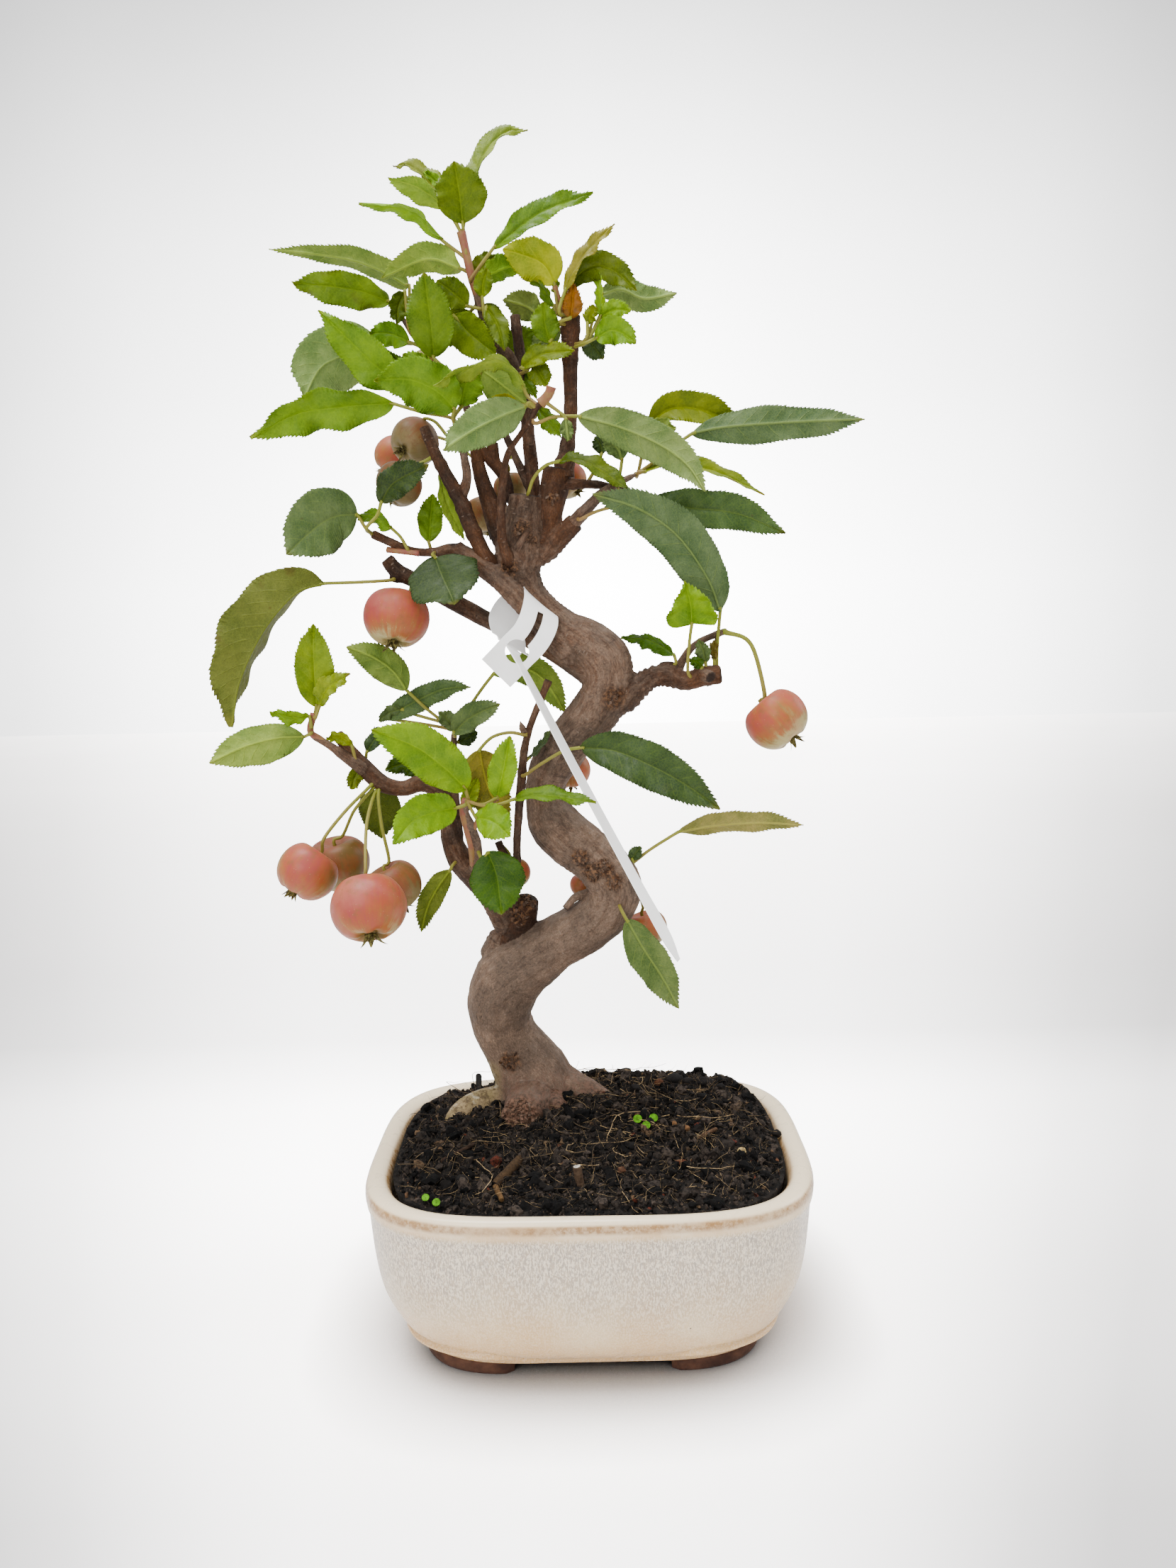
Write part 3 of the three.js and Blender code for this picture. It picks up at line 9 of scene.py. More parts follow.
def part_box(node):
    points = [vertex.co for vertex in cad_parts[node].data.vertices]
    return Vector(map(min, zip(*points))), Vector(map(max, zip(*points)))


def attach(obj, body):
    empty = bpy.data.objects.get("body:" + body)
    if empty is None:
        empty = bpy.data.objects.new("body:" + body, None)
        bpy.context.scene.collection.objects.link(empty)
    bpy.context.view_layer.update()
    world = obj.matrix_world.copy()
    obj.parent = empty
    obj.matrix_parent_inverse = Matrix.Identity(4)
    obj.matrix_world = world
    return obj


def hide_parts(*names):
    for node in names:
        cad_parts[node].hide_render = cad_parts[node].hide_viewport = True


# Fruiting crabapple bonsai in a glazed pot. Sizes are in millimetres here, and mm and seen() make
# metres of them.
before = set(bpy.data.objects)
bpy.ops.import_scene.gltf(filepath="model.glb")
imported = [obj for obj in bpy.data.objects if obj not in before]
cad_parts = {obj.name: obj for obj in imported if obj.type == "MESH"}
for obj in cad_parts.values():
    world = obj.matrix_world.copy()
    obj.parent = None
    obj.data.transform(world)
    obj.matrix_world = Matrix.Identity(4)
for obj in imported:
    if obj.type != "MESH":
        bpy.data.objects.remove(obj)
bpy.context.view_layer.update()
mm = 0.001
potLow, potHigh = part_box("pot")
potCentre = np.array([(potLow[0] + potHigh[0]) / 2, (potLow[1] + potHigh[1]) / 2, 0.0])

# The tree is laid out as it is seen by somebody in front of it: across, up on the upright plane through
# the pot's middle, and the depth behind that plane.
viewer = {"across": 3.0, "back": 532.0, "up": 307.0, "lookDown": 6.4, "lean": -1.2, "lens": 27.03}


def nearness(depth):
    return (depth + viewer["back"]) / viewer["back"]


def seen(across, up, depth=0.0):
    k = nearness(depth)
    place = (viewer["across"] + (across - viewer["across"]) * k, depth,
             viewer["up"] + (up - viewer["up"]) * k)
    return potCentre + np.array(place) * mm


eyePlace = potCentre + np.array([viewer["across"], -viewer["back"], viewer["up"]]) * mm


# helpers that make and read meshes

def unit(v):
    return v / np.maximum(np.linalg.norm(v, axis=-1, keepdims=True), 1e-12)


def smoothstep(low, high, value):
    t = np.clip((value - low) / (high - low), 0, 1)
    return t * t * (3 - 2 * t)


def runAlong(points):
    # the length of the way to each point
    return np.concatenate([[0], np.cumsum(np.linalg.norm(np.diff(points[:, :3], axis=0), axis=1))])


def spline(points, count):
    points = np.asarray(points, float)
    if len(points) == 2:
        points = np.array([points[0], (points[0] + points[1]) / 2, points[1]])
    padded = np.vstack([2 * points[0] - points[1], points, 2 * points[-1] - points[-2]])
    fine = []
    for i in range(1, len(padded) - 2):
        p0, p1, p2, p3 = padded[i - 1:i + 3]
        t = np.linspace(0, 1, 24, endpoint=False)[:, None]
        fine.append(0.5 * (2 * p1 + (p2 - p0) * t + (2 * p0 - 5 * p1 + 4 * p2 - p3) * t ** 2
                           + (3 * p1 - p0 - 3 * p2 + p3) * t ** 3))
    fine = np.vstack(fine + [points[-1:]])
    run = runAlong(fine)
    places = np.linspace(0, 1, count) if np.isscalar(count) else count
    return np.stack([np.interp(places * run[-1], run, column) for column in fine.T], 1), run[-1]


def frames(centres):
    along = unit(np.gradient(centres, axis=0))
    start = np.cross(along[0], [0.0, 1.0, 0.0])
    if np.linalg.norm(start) < 0.1:
        start = np.cross(along[0], [1.0, 0.0, 0.0])
    across = [unit(start)]
    for way in along[1:]:
        across.append(unit(across[-1] - way * np.dot(across[-1], way)))
    return along, np.array(across), np.cross(along, across)


def circle(count):
    return np.linspace(0, math.tau, count, endpoint=False)


def hoops(centres, across, lift, turns, size):
    # circles round a line, with one size for each, or one for each of its points
    size = np.reshape(size, (len(centres), -1))
    return (centres[:, None] + across[:, None] * (np.cos(turns) * size)[..., None]
            + lift[:, None] * (np.sin(turns) * size)[..., None])


def newObject(name, data):
    piece = bpy.data.objects.new(name, data)
    bpy.context.scene.collection.objects.link(piece)
    return piece


def finishedMesh(piece):
    bpy.context.view_layer.update()
    return bpy.data.meshes.new_from_object(piece.evaluated_get(bpy.context.evaluated_depsgraph_get()))


def readPoints(mesh, key="co"):
    points = np.empty(len(mesh.vertices) * 3)
    mesh.vertices.foreach_get(key, points)
    return points.reshape(-1, 3)


def movePoints(mesh, points):
    mesh.vertices.foreach_set("co", points.ravel())
    mesh.update()


def addLayer(mesh, key, values):
    wide = values.ndim > 1
    layer = mesh.attributes.new(key, "FLOAT_VECTOR" if wide else "FLOAT", "POINT")
    layer.data.foreach_set("vector" if wide else "value", values.ravel())


class Build:
    def __init__(self):
        self.points, self.faces, self.slots, self.data = [], [], [], {}
        self.count = 0

    def add(self, points, faces, slot=0, **data):
        points = np.asarray(points, float)
        self.points.append(points)
        self.faces += [[v + self.count for v in face] for face in faces]
        self.slots += [slot] * len(faces)
        for key, values in data.items():
            values = np.asarray(values, float)
            if values.ndim < 2 and values.shape != (len(points),):
                values = np.tile(values, (len(points), 1))
            self.data.setdefault(key, []).append((self.count, values))
        self.count += len(points)

    def finish(self, name, materials=(), smooth=True):
        mesh = bpy.data.meshes.new(name)
        mesh.from_pydata(np.vstack(self.points).tolist(), [], self.faces)
        for material in materials:
            mesh.materials.append(material)
        mesh.polygons.foreach_set("material_index", self.slots)
        mesh.polygons.foreach_set("use_smooth", [smooth] * len(self.faces))
        for key, parts in self.data.items():
            full = np.zeros((self.count, *parts[0][1].shape[1:]))
            for start, values in parts:
                full[start:start + len(values)] = values
            addLayer(mesh, key, full)
        mesh.update()
        return newObject(name, mesh)


def gridFaces(rows, columns, closed=False, flip=False, start=0):
    faces = []
    for r in range(start, start + (rows - 1) * columns, columns):
        for c in range(columns if closed else columns - 1):
            d = (c + 1) % columns
            face = [r + c, r + d, r + columns + d, r + columns + c]
            faces.append(face[::-1] if flip else face)
    return faces


def ride(piece, slotName, *nodes):
    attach(piece, "root")
    if nodes:
        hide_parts(*nodes)


# helpers that add nodes, in materials, in the room and in Geometry Nodes alike

def hexColour(text):
    levels = [int(text[i:i + 2], 16) / 255 for i in (0, 2, 4)]
    return (*(v / 12.92 if v <= 0.04045 else ((v + 0.055) / 1.055) ** 2.4 for v in levels), 1.0)


def node(tree, kind, inputs=(), **settings):
    made = tree.nodes.new(kind if "Node" in kind else "ShaderNode" + kind)
    for key, value in settings.items():
        setattr(made, key, value)
    for key, value in dict(inputs).items():
        socket = made.inputs[key]
        if isinstance(value, bpy.types.NodeSocket):
            tree.links.new(value, socket)
        elif value is not None:
            named = socket.type == "RGBA" and isinstance(value, str)
            socket.default_value = hexColour(value) if named else value
    return made


def treeOf(*values):
    # the tree that the given sockets are in
    return next(value.id_data for value in values if isinstance(value, bpy.types.NodeSocket))


def calc(kind, a, b=None):
    return node(treeOf(a, b), "Math", {0: a, 1: b}, operation=kind).outputs[0]


def times(a, b):
    return calc("MULTIPLY", a, b)


def plus(a, b):
    return calc("ADD", a, b)


def split(vector):
    return node(treeOf(vector), "SeparateXYZ", {0: vector}).outputs


def stretch(vector, *scale):
    return node(treeOf(vector), "VectorMath", {0: vector, 1: scale}, operation="MULTIPLY").outputs[0]


def cloud(vector, scale, detail=3.0, rough=0.55, twist=0.0):
    return node(treeOf(vector), "TexNoise", {"Vector": vector, "Scale": scale, "Detail": detail,
                                             "Roughness": rough, "Distortion": twist}).outputs[0]


def soft(vector, scale, detail, low, high, toLow=0.0, toHigh=1.0, rough=0.55, twist=0.0):
    return fade(cloud(vector, scale, detail, rough, twist), low, high, toLow, toHigh)


def cells(vector, scale, feature="F1"):
    return node(treeOf(vector), "TexVoronoi", {"Vector": vector, "Scale": scale},
                feature=feature).outputs["Distance"]


def fade(value, low, high, toLow=0.0, toHigh=1.0):
    return node(treeOf(value), "MapRange", {"Value": value, "From Min": low, "From Max": high,
                                            "To Min": toLow, "To Max": toHigh},
                interpolation_type="SMOOTHSTEP").outputs[0]


def mix(share, a, b, kind="MIX"):
    return node(treeOf(share, a, b), "Mix", {0: share, 6: a, 7: b}, data_type="RGBA",
                blend_type=kind).outputs[2]


def shaded(base, *levels):
    return mix(1.0, base, (*levels, 1.0), "MULTIPLY")


def bump(height, strength, distance, normal=None):
    return node(treeOf(height), "Bump", {"Height": height, "Strength": strength, "Distance": distance,
                                         "Normal": normal}).outputs[0]


class Finish:
    def __init__(self, name, **plain):
        self.material = bpy.data.materials.new(name)
        self.material.use_nodes = True
        self.tree = self.material.node_tree
        self.tree.nodes.clear()
        self.shader = node(self.tree, "BsdfPrincipled")
        self.output = node(self.tree, "OutputMaterial", {0: self.shader.outputs[0]})
        self.place = node(self.tree, "TexCoord").outputs["Object"]
        for key, value in plain.items():
            self.shader.inputs[key.replace("_", " ")].default_value = value

    def attribute(self, name, kind="Fac"):
        return node(self.tree, "Attribute", attribute_name=name).outputs[kind]

    def made(self, base, normal=None, rough=None):
        for key, socket in (("Base Color", base), ("Normal", normal), ("Roughness", rough)):
            if socket is not None:
                self.tree.links.new(socket, self.shader.inputs[key])
        return self.material


# camera, light and floor

stage = {
    "roomLow": 0.35, "roomHigh": 1.75, "paper": 2.3, "wallLight": 5.4, "floorSize": 9.0, "behind": 0.188,
    "contact": 0.05, "contactDepth": 1.7,
    # place, size and power
    "lamps": {"topSoftbox": ((-0.3, -0.12, 1.6), 1.0, 40.0), "frontSoftbox": ((-0.55, -1.5, 1.0), 1.1, 19.0),
              "sideSoftbox": ((1.3, 0.4, 0.9), 0.9, 8.0)},
    # brightness of the wall by the height of the view, and painted light and shade on the floor by the
    # distance back in metres
    "wallTones": [
        (-0.1, 0.7), (-0.05, 0.75), (0.0, 0.82), (0.05, 0.84), (0.1, 0.76), (0.16, 0.68), (0.2, 0.6),
        (0.25, 0.53), (0.3, 0.45), (0.34, 0.37), (0.38, 0.29), (0.42, 0.22), (0.46, 0.16),
    ],
    "floorTones": [
        (-4.5, 2.3), (-2.0, 1.5), (-1.0, 0.95), (-0.4, 0.6), (-0.2, 0.5), (-0.13, 0.58), (-0.09, 0.72),
        (-0.05, 0.8), (0.01, 0.86), (0.07, 0.98), (0.15, 1.1), (0.25, 1.04), (0.32, 0.8), (0.39, 0.62),
        (0.58, 0.64), (0.87, 0.78), (1.34, 1.05), (2.3, 1.6), (4.5, 2.32),
    ],
    # both are brightest behind the tree and fall away to the sides; on the floor this is painted light
    "wallSides": [
        (0.0, 3.6), (0.1, 3.2), (0.19, 2.5), (0.27, 1.95), (0.33, 1.6), (0.38, 1.2), (0.43, 0.85),
        (0.5, 0.6),
    ],
    "floorSides": [
        (0.0, 1.75), (0.1, 1.7), (0.22, 1.6), (0.31, 1.3), (0.38, 1.0), (0.44, 0.75), (0.52, 0.55),
        (0.9, 0.45),
    ],
}


def toneRamp(source, tones):
    # a soft run of greys over a spread of values
    (low, _), (high, _) = tones[0], tones[-1]
    spread = node(treeOf(source), "MapRange", {"Value": source, "From Min": low, "From Max": high})
    ramp = node(treeOf(source), "ValToRGB", {0: spread.outputs[0]})
    most = max(level for _, level in tones)
    elements = ramp.color_ramp.elements
    while len(elements) < len(tones):
        elements.new(0.5)
    for element, (at, level) in zip(elements, tones):
        element.position = (at - low) / (high - low)
        element.color = (level / most, level / most, level / most, 1)
    return ramp.outputs[0], most


def setStage():
    scene = bpy.context.scene
    camera = newObject("camera", bpy.data.cameras.new("camera"))
    camera.data.lens = viewer["lens"]
    camera.data.sensor_width = 36
    camera.data.clip_start = 0.02
    camera.data.dof.use_dof = False
    down, lean = math.radians(viewer["lookDown"]), math.radians(viewer["lean"])
    forward = Vector((0, math.cos(down), -math.sin(down)))
    level = Vector((1, 0, 0))
    upright = level.cross(forward)
    right = level * math.cos(lean) + upright * math.sin(lean)
    up = upright * math.cos(lean) - level * math.sin(lean)
    turned = Matrix((right, up, -forward)).transposed().to_4x4()
    camera.matrix_world = Matrix.Translation(Vector(eyePlace)) @ turned
    scene.camera = camera

    # the wall behind is bright to look at, and the room lights the tree more gently
    scene.world = bpy.data.worlds.new("softRoom")
    scene.world.use_nodes = True
    tree = scene.world.node_tree
    tree.nodes.clear()
    aside, _, high = split(node(tree, "TexCoord").outputs["Generated"])
    lift = node(tree, "MapRange", {"Value": high, "From Min": -0.2, "From Max": 0.9,
                                   "To Min": stage["roomLow"], "To Max": stage["roomHigh"]})
    room = node(tree, "Background", {0: "fbfaf8", 1: lift.outputs[0]})
    wallTone, most = toneRamp(high, stage["wallTones"])
    sideTone, mostSide = toneRamp(calc("ABSOLUTE", aside), stage["wallSides"])
    wall = node(tree, "Background", {0: times(wallTone, sideTone), 1: stage["wallLight"] * most * mostSide})
    choose = node(tree, "MixShader", {0: node(tree, "LightPath").outputs["Is Camera Ray"],
                                      1: room.outputs[0], 2: wall.outputs[0]})
    node(tree, "OutputWorld", {0: choose.outputs[0]})

    for name, (place, size, power) in stage["lamps"].items():
        lamp = newObject(name, bpy.data.lights.new(name, "AREA"))
        lamp.data.shape = "DISK"
        lamp.data.size, lamp.data.energy = size, power
        lamp.location = place
        lamp.rotation_euler = (Vector((0, 0, 0.25)) - Vector(place)).to_track_quat("-Z", "Y").to_euler()

    half = stage["floorSize"] / 2
    floor = Build()
    floor.add([(-half, -half, 0), (half, -half, 0), (half, half, 0), (-half, half, 0)], [[0, 1, 2, 3]])
    paper = Finish("paleFloor", Roughness=0.7, Specular_IOR_Level=0.2)
    tone = mix(cloud(paper.place, 2.3, 4), "e8e5e5", "f0efef")
    across, back, _ = split(paper.place)
    run, most = toneRamp(back, stage["floorTones"])
    # painted light: the floor darkens to both sides of the view, from the front and from behind alike
    reach = calc("MAXIMUM", plus(back, viewer["back"] * mm), calc("SUBTRACT", stage["behind"], back))
    sideRun, mostSide = toneRamp(calc("ABSOLUTE", calc("DIVIDE", across, reach)), stage["floorSides"])
    # the contact shadow under the pot
    shadow = node(paper.tree, "AmbientOcclusion", {"Distance": stage["contact"]}, samples=12).outputs["AO"]
    shadow = calc("POWER", shadow, stage["contactDepth"])
    run = mix(1.0, mix(1.0, run, sideRun, "MULTIPLY"), shadow, "MULTIPLY")
    bright = node(paper.tree, "VectorMath", {0: mix(1.0, tone, run, "MULTIPLY"),
                                             "Scale": stage["paper"] * most * mostSide}, operation="SCALE")
    lit = node(paper.tree, "BsdfDiffuse", {"Color": bright.outputs[0]})
    both = node(paper.tree, "MixShader", {0: node(paper.tree, "LightPath").outputs["Is Camera Ray"],
                                          1: paper.shader.outputs[0], 2: lit.outputs[0]})
    paper.tree.links.new(both.outputs[0], paper.output.inputs[0])
    floor.finish("floor", [paper.made(tone)], smooth=False)
    print("stage set")


setStage()


# pot, feet and the mesh over the drain hole

pot = {
    "width": 200.0, "depth": 166.0, "corner": 3.7, "columns": 230, "rows": 250,
    # inset at the ends, inset at the front and back, height: up the outside, over the lip, down the inside
    "profile": [
        (91.9, 74.9, 11.2), (91.9, 74.9, 6.4), (60, 55, 6.3), (33, 32, 6.2), (27, 26.4, 4.6),
        (24.3, 23.7, 4.2),
        (23.2, 22.5, 5.2), (22.4, 21.8, 7), (20.6, 19.8, 9), (18.3, 17.2, 11.2),
        (14.3, 12.5, 17), (9.8, 8, 25), (5.7, 4.4, 35), (3.4, 2.6, 47), (2.1, 1.5, 60), (1.6, 1.1, 66.5),
        (1.3, 0.9, 69), (0.55, 0.4, 71), (0.15, 0.1, 73.5), (0.1, 0, 76), (0.9, 0.7, 78.4), (2.6, 2.1, 79.7),
        (5, 4.1, 80), (7.4, 6, 79.5), (9.3, 7.4, 78.2), (10.6, 8.3, 75.8), (11.2, 8.7, 71), (12, 9.2, 60),
        (13.4, 10.3, 45), (19, 16, 28), (33, 31, 12), (60, 55, 11.2), (84, 70, 11.2), (91.9, 74.9, 11.2),
    ],
    "foot": {"inset": 20.9, "wide": 15.0, "height": 7.6, "from": 17, "to": 76},
}


def ovalPoint(angle, halfWide, halfDeep):
    power = 2 / pot["corner"]
    c, s = np.cos(angle), np.sin(angle)
    return halfWide * np.sign(c) * np.abs(c) ** power, halfDeep * np.sign(s) * np.abs(s) ** power


def newTree(name, *sockets):
    tree = bpy.data.node_groups.new(name, "GeometryNodeTree")
    for label, kind, *value in sockets:
        made = tree.interface.new_socket(label, in_out="INPUT", socket_type="NodeSocket" + kind)
        if value:
            made.default_value = value[0]
    tree.interface.new_socket("Geometry", in_out="OUTPUT", socket_type="NodeSocketGeometry")
    return tree, node(tree, "NodeGroupInput").outputs


def closeTree(tree, geometry, finish):
    whole = node(tree, "GeometryNodeRealizeInstances", {0: geometry})
    coated = node(tree, "GeometryNodeSetMaterial", {"Geometry": whole.outputs[0], "Material": finish})
    node(tree, "NodeGroupOutput", {0: coated.outputs[0]})
    return tree


def sweepTree(name, columns, rows, power):
    tree, given = newTree(name, ("Profile", "Object"), ("Columns", "Int", columns), ("Rows", "Int", rows),
                          ("Half Width", "Float", 0.1), ("Half Depth", "Float", 0.083),
                          ("Corner Power", "Float", power), ("Glaze", "Material"))
    profile = node(tree, "GeometryNodeObjectInfo", {0: given["Profile"]}).outputs["Geometry"]
    sheet = node(tree, "GeometryNodeMeshGrid", {"Vertices X": given["Columns"], "Vertices Y": given["Rows"],
                                                "Size X": 1.0, "Size Y": 1.0})
    place = split(node(tree, "GeometryNodeInputPosition").outputs[0])
    turn = times(plus(place[0], 0.5), math.tau)
    sampled = node(tree, "GeometryNodeSampleCurve", {"Curves": profile, "Factor": plus(place[1], 0.5)},
                   mode="FACTOR")
    inset = split(sampled.outputs["Position"])
    power = calc("DIVIDE", 2.0, given["Corner Power"])

    def stretched(kind, half, taken):
        wave = calc(kind, turn)
        bent = times(calc("SIGN", wave), calc("POWER", calc("ABSOLUTE", wave), power))
        return times(bent, calc("SUBTRACT", half, taken))

    corner = node(tree, "CombineXYZ", {0: stretched("COSINE", given["Half Width"], inset[0]),
                                       1: stretched("SINE", given["Half Depth"], inset[1]), 2: inset[2]})
    moved = node(tree, "GeometryNodeSetPosition", {"Geometry": sheet.outputs["Mesh"],
                                                   "Position": corner.outputs[0]})
    closed = node(tree, "GeometryNodeMergeByDistance", {"Geometry": moved.outputs[0], "Distance": 1e-5})
    smooth = node(tree, "GeometryNodeSetShadeSmooth", {"Geometry": closed.outputs[0]})
    return closeTree(tree, smooth.outputs[0], given["Glaze"])


def runTree(tree, name, values, base=None):
    carrier = base or newObject(name + "Carrier", bpy.data.meshes.new(name + "Carrier"))
    modifier = carrier.modifiers.new(name, "NODES")
    modifier.node_group = tree
    sockets = {item.name: item.identifier for item in tree.interface.items_tree if item.in_out == "INPUT"}
    for label, value in values.items():
        modifier[sockets[label]] = value
    mesh = finishedMesh(carrier)
    mesh.name = name
    carrier.modifiers.remove(modifier)
    if not base:
        discard(carrier)
    return newObject(name, mesh)


def discard(piece):
    bpy.data.objects.remove(piece)


def glazeFinish():
    glaze = Finish("speckledGlaze", Roughness=0.34, Specular_IOR_Level=0.4, Coat_Weight=0.35,
                   Coat_Roughness=0.18)
    place = glaze.place
    up = split(place)[2]
    level = plus(up, soft(place, 20, 4, 0.3, 0.7, -0.006, 0.006))
    drip = stretch(place, 1, 1, 0.38)
    # a grey band under the lip, made of fine upright flecks, melts into cream towards the foot
    band = times(fade(level, 0.02, 0.062), fade(up, 0.0735, 0.0695))
    flecks = soft(drip, 1600, 3, 0.46, 0.58, rough=0.7)
    clumps = soft(drip, 760, 5, 0.3, 0.7, rough=0.7)
    cream = mix(soft(place, 35, 5, 0.35, 0.7), "c9a777", "dcc295")
    warm = mix(fade(level, 0.036, 0.01), cream, "c9a26c")
    grey = mix(clumps, "948a80", "a99c8e")
    body = mix(times(band, fade(clumps, 0.0, 1.0, 0.95, 0.75)), warm, grey)
    pale = times(flecks, plus(times(band, 0.42), 0.28))
    body = mix(pale, body, "f0e2ca")
    # the lip breaks brown where the glaze runs thin
    thin = times(soft(place, 420, 4, 0.3, 0.66, rough=0.7), soft(place, 26, 3, 0.3, 0.6, 0.35, 1.0))
    lip = mix(soft(place, 50, 4, 0.4, 0.7), "dcc6a4", "cdae84")
    body = mix(fade(up, 0.0715, 0.0742), body, lip)
    edge = times(fade(up, 0.0735, 0.0758), fade(up, 0.079, 0.0772))
    body = mix(times(edge, fade(thin, 0.0, 1.0, 0.45, 0.95)), body, "8a6436")
    # the rounded top of the lip is painted paler, a painted highlight
    body = mix(fade(up, 0.0778, 0.079), body, "e2cfae")
    pin = times(fade(cells(place, 95), 0.05, 0.03), soft(place, 18, 2, 0.54, 0.6))
    body = mix(pin, body, "2c1d12")
    bare = fade(plus(up, soft(place, 200, 3, 0.3, 0.7, -0.0006, 0.0006)), 0.0046, 0.0037)
    body = mix(bare, body, "4a3226")
    wave = bump(cloud(place, 60, 3), 0.2, 0.0012)
    return glaze.made(body, bump(cloud(drip, 500, 3), 0.16, 0.0004, wave),
                      soft(place, 160, 3, 0.3, 0.7, 0.24, 0.42))


def clayFinish():
    clay = Finish("bareClay", Roughness=0.85, Specular_IOR_Level=0.2)
    place = clay.place
    grain = cloud(place, 900, 3)
    return clay.made(mix(soft(place, 90, 4, 0.3, 0.7), "33201a", "553a2c"), bump(grain, 0.5, 0.0003))


def makePot():
    outline = bpy.data.curves.new("potProfile", "CURVE")
    outline.dimensions = "3D"
    line = outline.splines.new("POLY")
    spots, _ = spline([(a * mm, b * mm, h * mm) for a, b, h in pot["profile"]], 260)
    line.points.add(len(spots) - 1)
    for point, spot in zip(line.points, spots):
        point.co = (*spot, 1)
    profile = newObject("potProfile", outline)
    tree = sweepTree("ovalPotSweep", pot["columns"], pot["rows"], pot["corner"])
    body = runTree(tree, "glazedPot", {"Profile": profile, "Half Width": pot["width"] / 2 * mm,
                                       "Half Depth": pot["depth"] / 2 * mm, "Glaze": glazeFinish()})
    discard(profile)
    points = readPoints(body.data)
    around = np.arctan2(points[:, 1] / 83, points[:, 0] / 100)
    # corner pads stand a little proud of the body, and the glazed edge arches up between them
    x, y, z = np.abs(points[:, 0]) / mm, np.abs(points[:, 1]) / mm, points[:, 2] / mm
    corner = smoothstep(14, 50, x) * smoothstep(12, 40, y)
    padTop = 4.6 + 9.2 * corner
    outside = (z < 20) & ((x / 62) ** 4 + (y / 46) ** 4 > 1)
    proud = outside * smoothstep(0.7, -1.3, z - padTop) * corner
    crease = outside * np.exp(-((z - padTop - 0.9) / 1.3) ** 2) * corner
    push = (0.0031 * proud - 0.0013 * crease) / np.linalg.norm(points[:, :2], axis=1).clip(0.01)
    points[:, :2] *= 1 + push[:, None]
    points[:, 2] += np.where(outside, (1 - smoothstep(4, 15, z)) * (1.1 + 1.0 * corner) * mm, 0)
    points[:, 2] += 0.0004 * np.sin(around * 3 + 0.7) * smoothstep(60, 80, z)
    movePoints(body.data, points + potCentre)
    ride(body, "glaze", "pot")

    foot = pot["foot"]
    feet = Build()
    turns = np.radians(np.linspace(foot["from"], foot["to"], 36))
    ends = np.sin(np.linspace(0, math.pi, 36)) ** 0.22
    for sx in (-1, 1):
        for sy in (-1, 1):
            rows = []
            for turn, end in zip(turns, ends):
                ring = []
                for inward, height in ((0.3, 5.2), (0.0, 3.4), (0.5, 1.2), (1.4, 0.0), (10.6, 0.0),
                                       (11.6, 1.2),
                                       (12.0, 3.4), (12.0, 5.2)):
                    inward = 6 + (inward / 12 * foot["wide"] - 6) * end + foot["inset"]
                    x, y = ovalPoint(turn, pot["width"] / 2 - inward, pot["depth"] / 2 - inward * 0.97)
                    ring.append((sx * x, sy * y, height / 5.2 * foot["height"]))
                rows.append(ring)
            points = np.array(rows).reshape(-1, 3) * mm + potCentre
            flip = sx * sy > 0
            faces = gridFaces(len(rows), 8, closed=True, flip=flip)
            near, far = list(range(8)), [len(points) - 8 + i for i in range(8)]
            faces += [near if flip else near[::-1], far[::-1] if flip else far]
            feet.add(points, faces)
    ride(feet.finish("potFeet", [clayFinish()]), "glaze")

    # the mesh over the drain hole
    weave = Finish("drainWeave", Roughness=0.6)
    x, y, _ = split(weave.place)
    across, down = (calc("ABSOLUTE", calc("SINE", times(way, 1600.0))) for way in (x, y))
    net = calc("MINIMUM", across, down)
    made = weave.made(mix(fade(net, 0.15, 0.4), "2c2d2b", "0b0b0b"), bump(net, 0.5, 0.0004))
    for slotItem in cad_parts["drain_mesh"].material_slots:
        slotItem.material = made
    print("pot and feet made")


makePot()


# soil and what lies on it

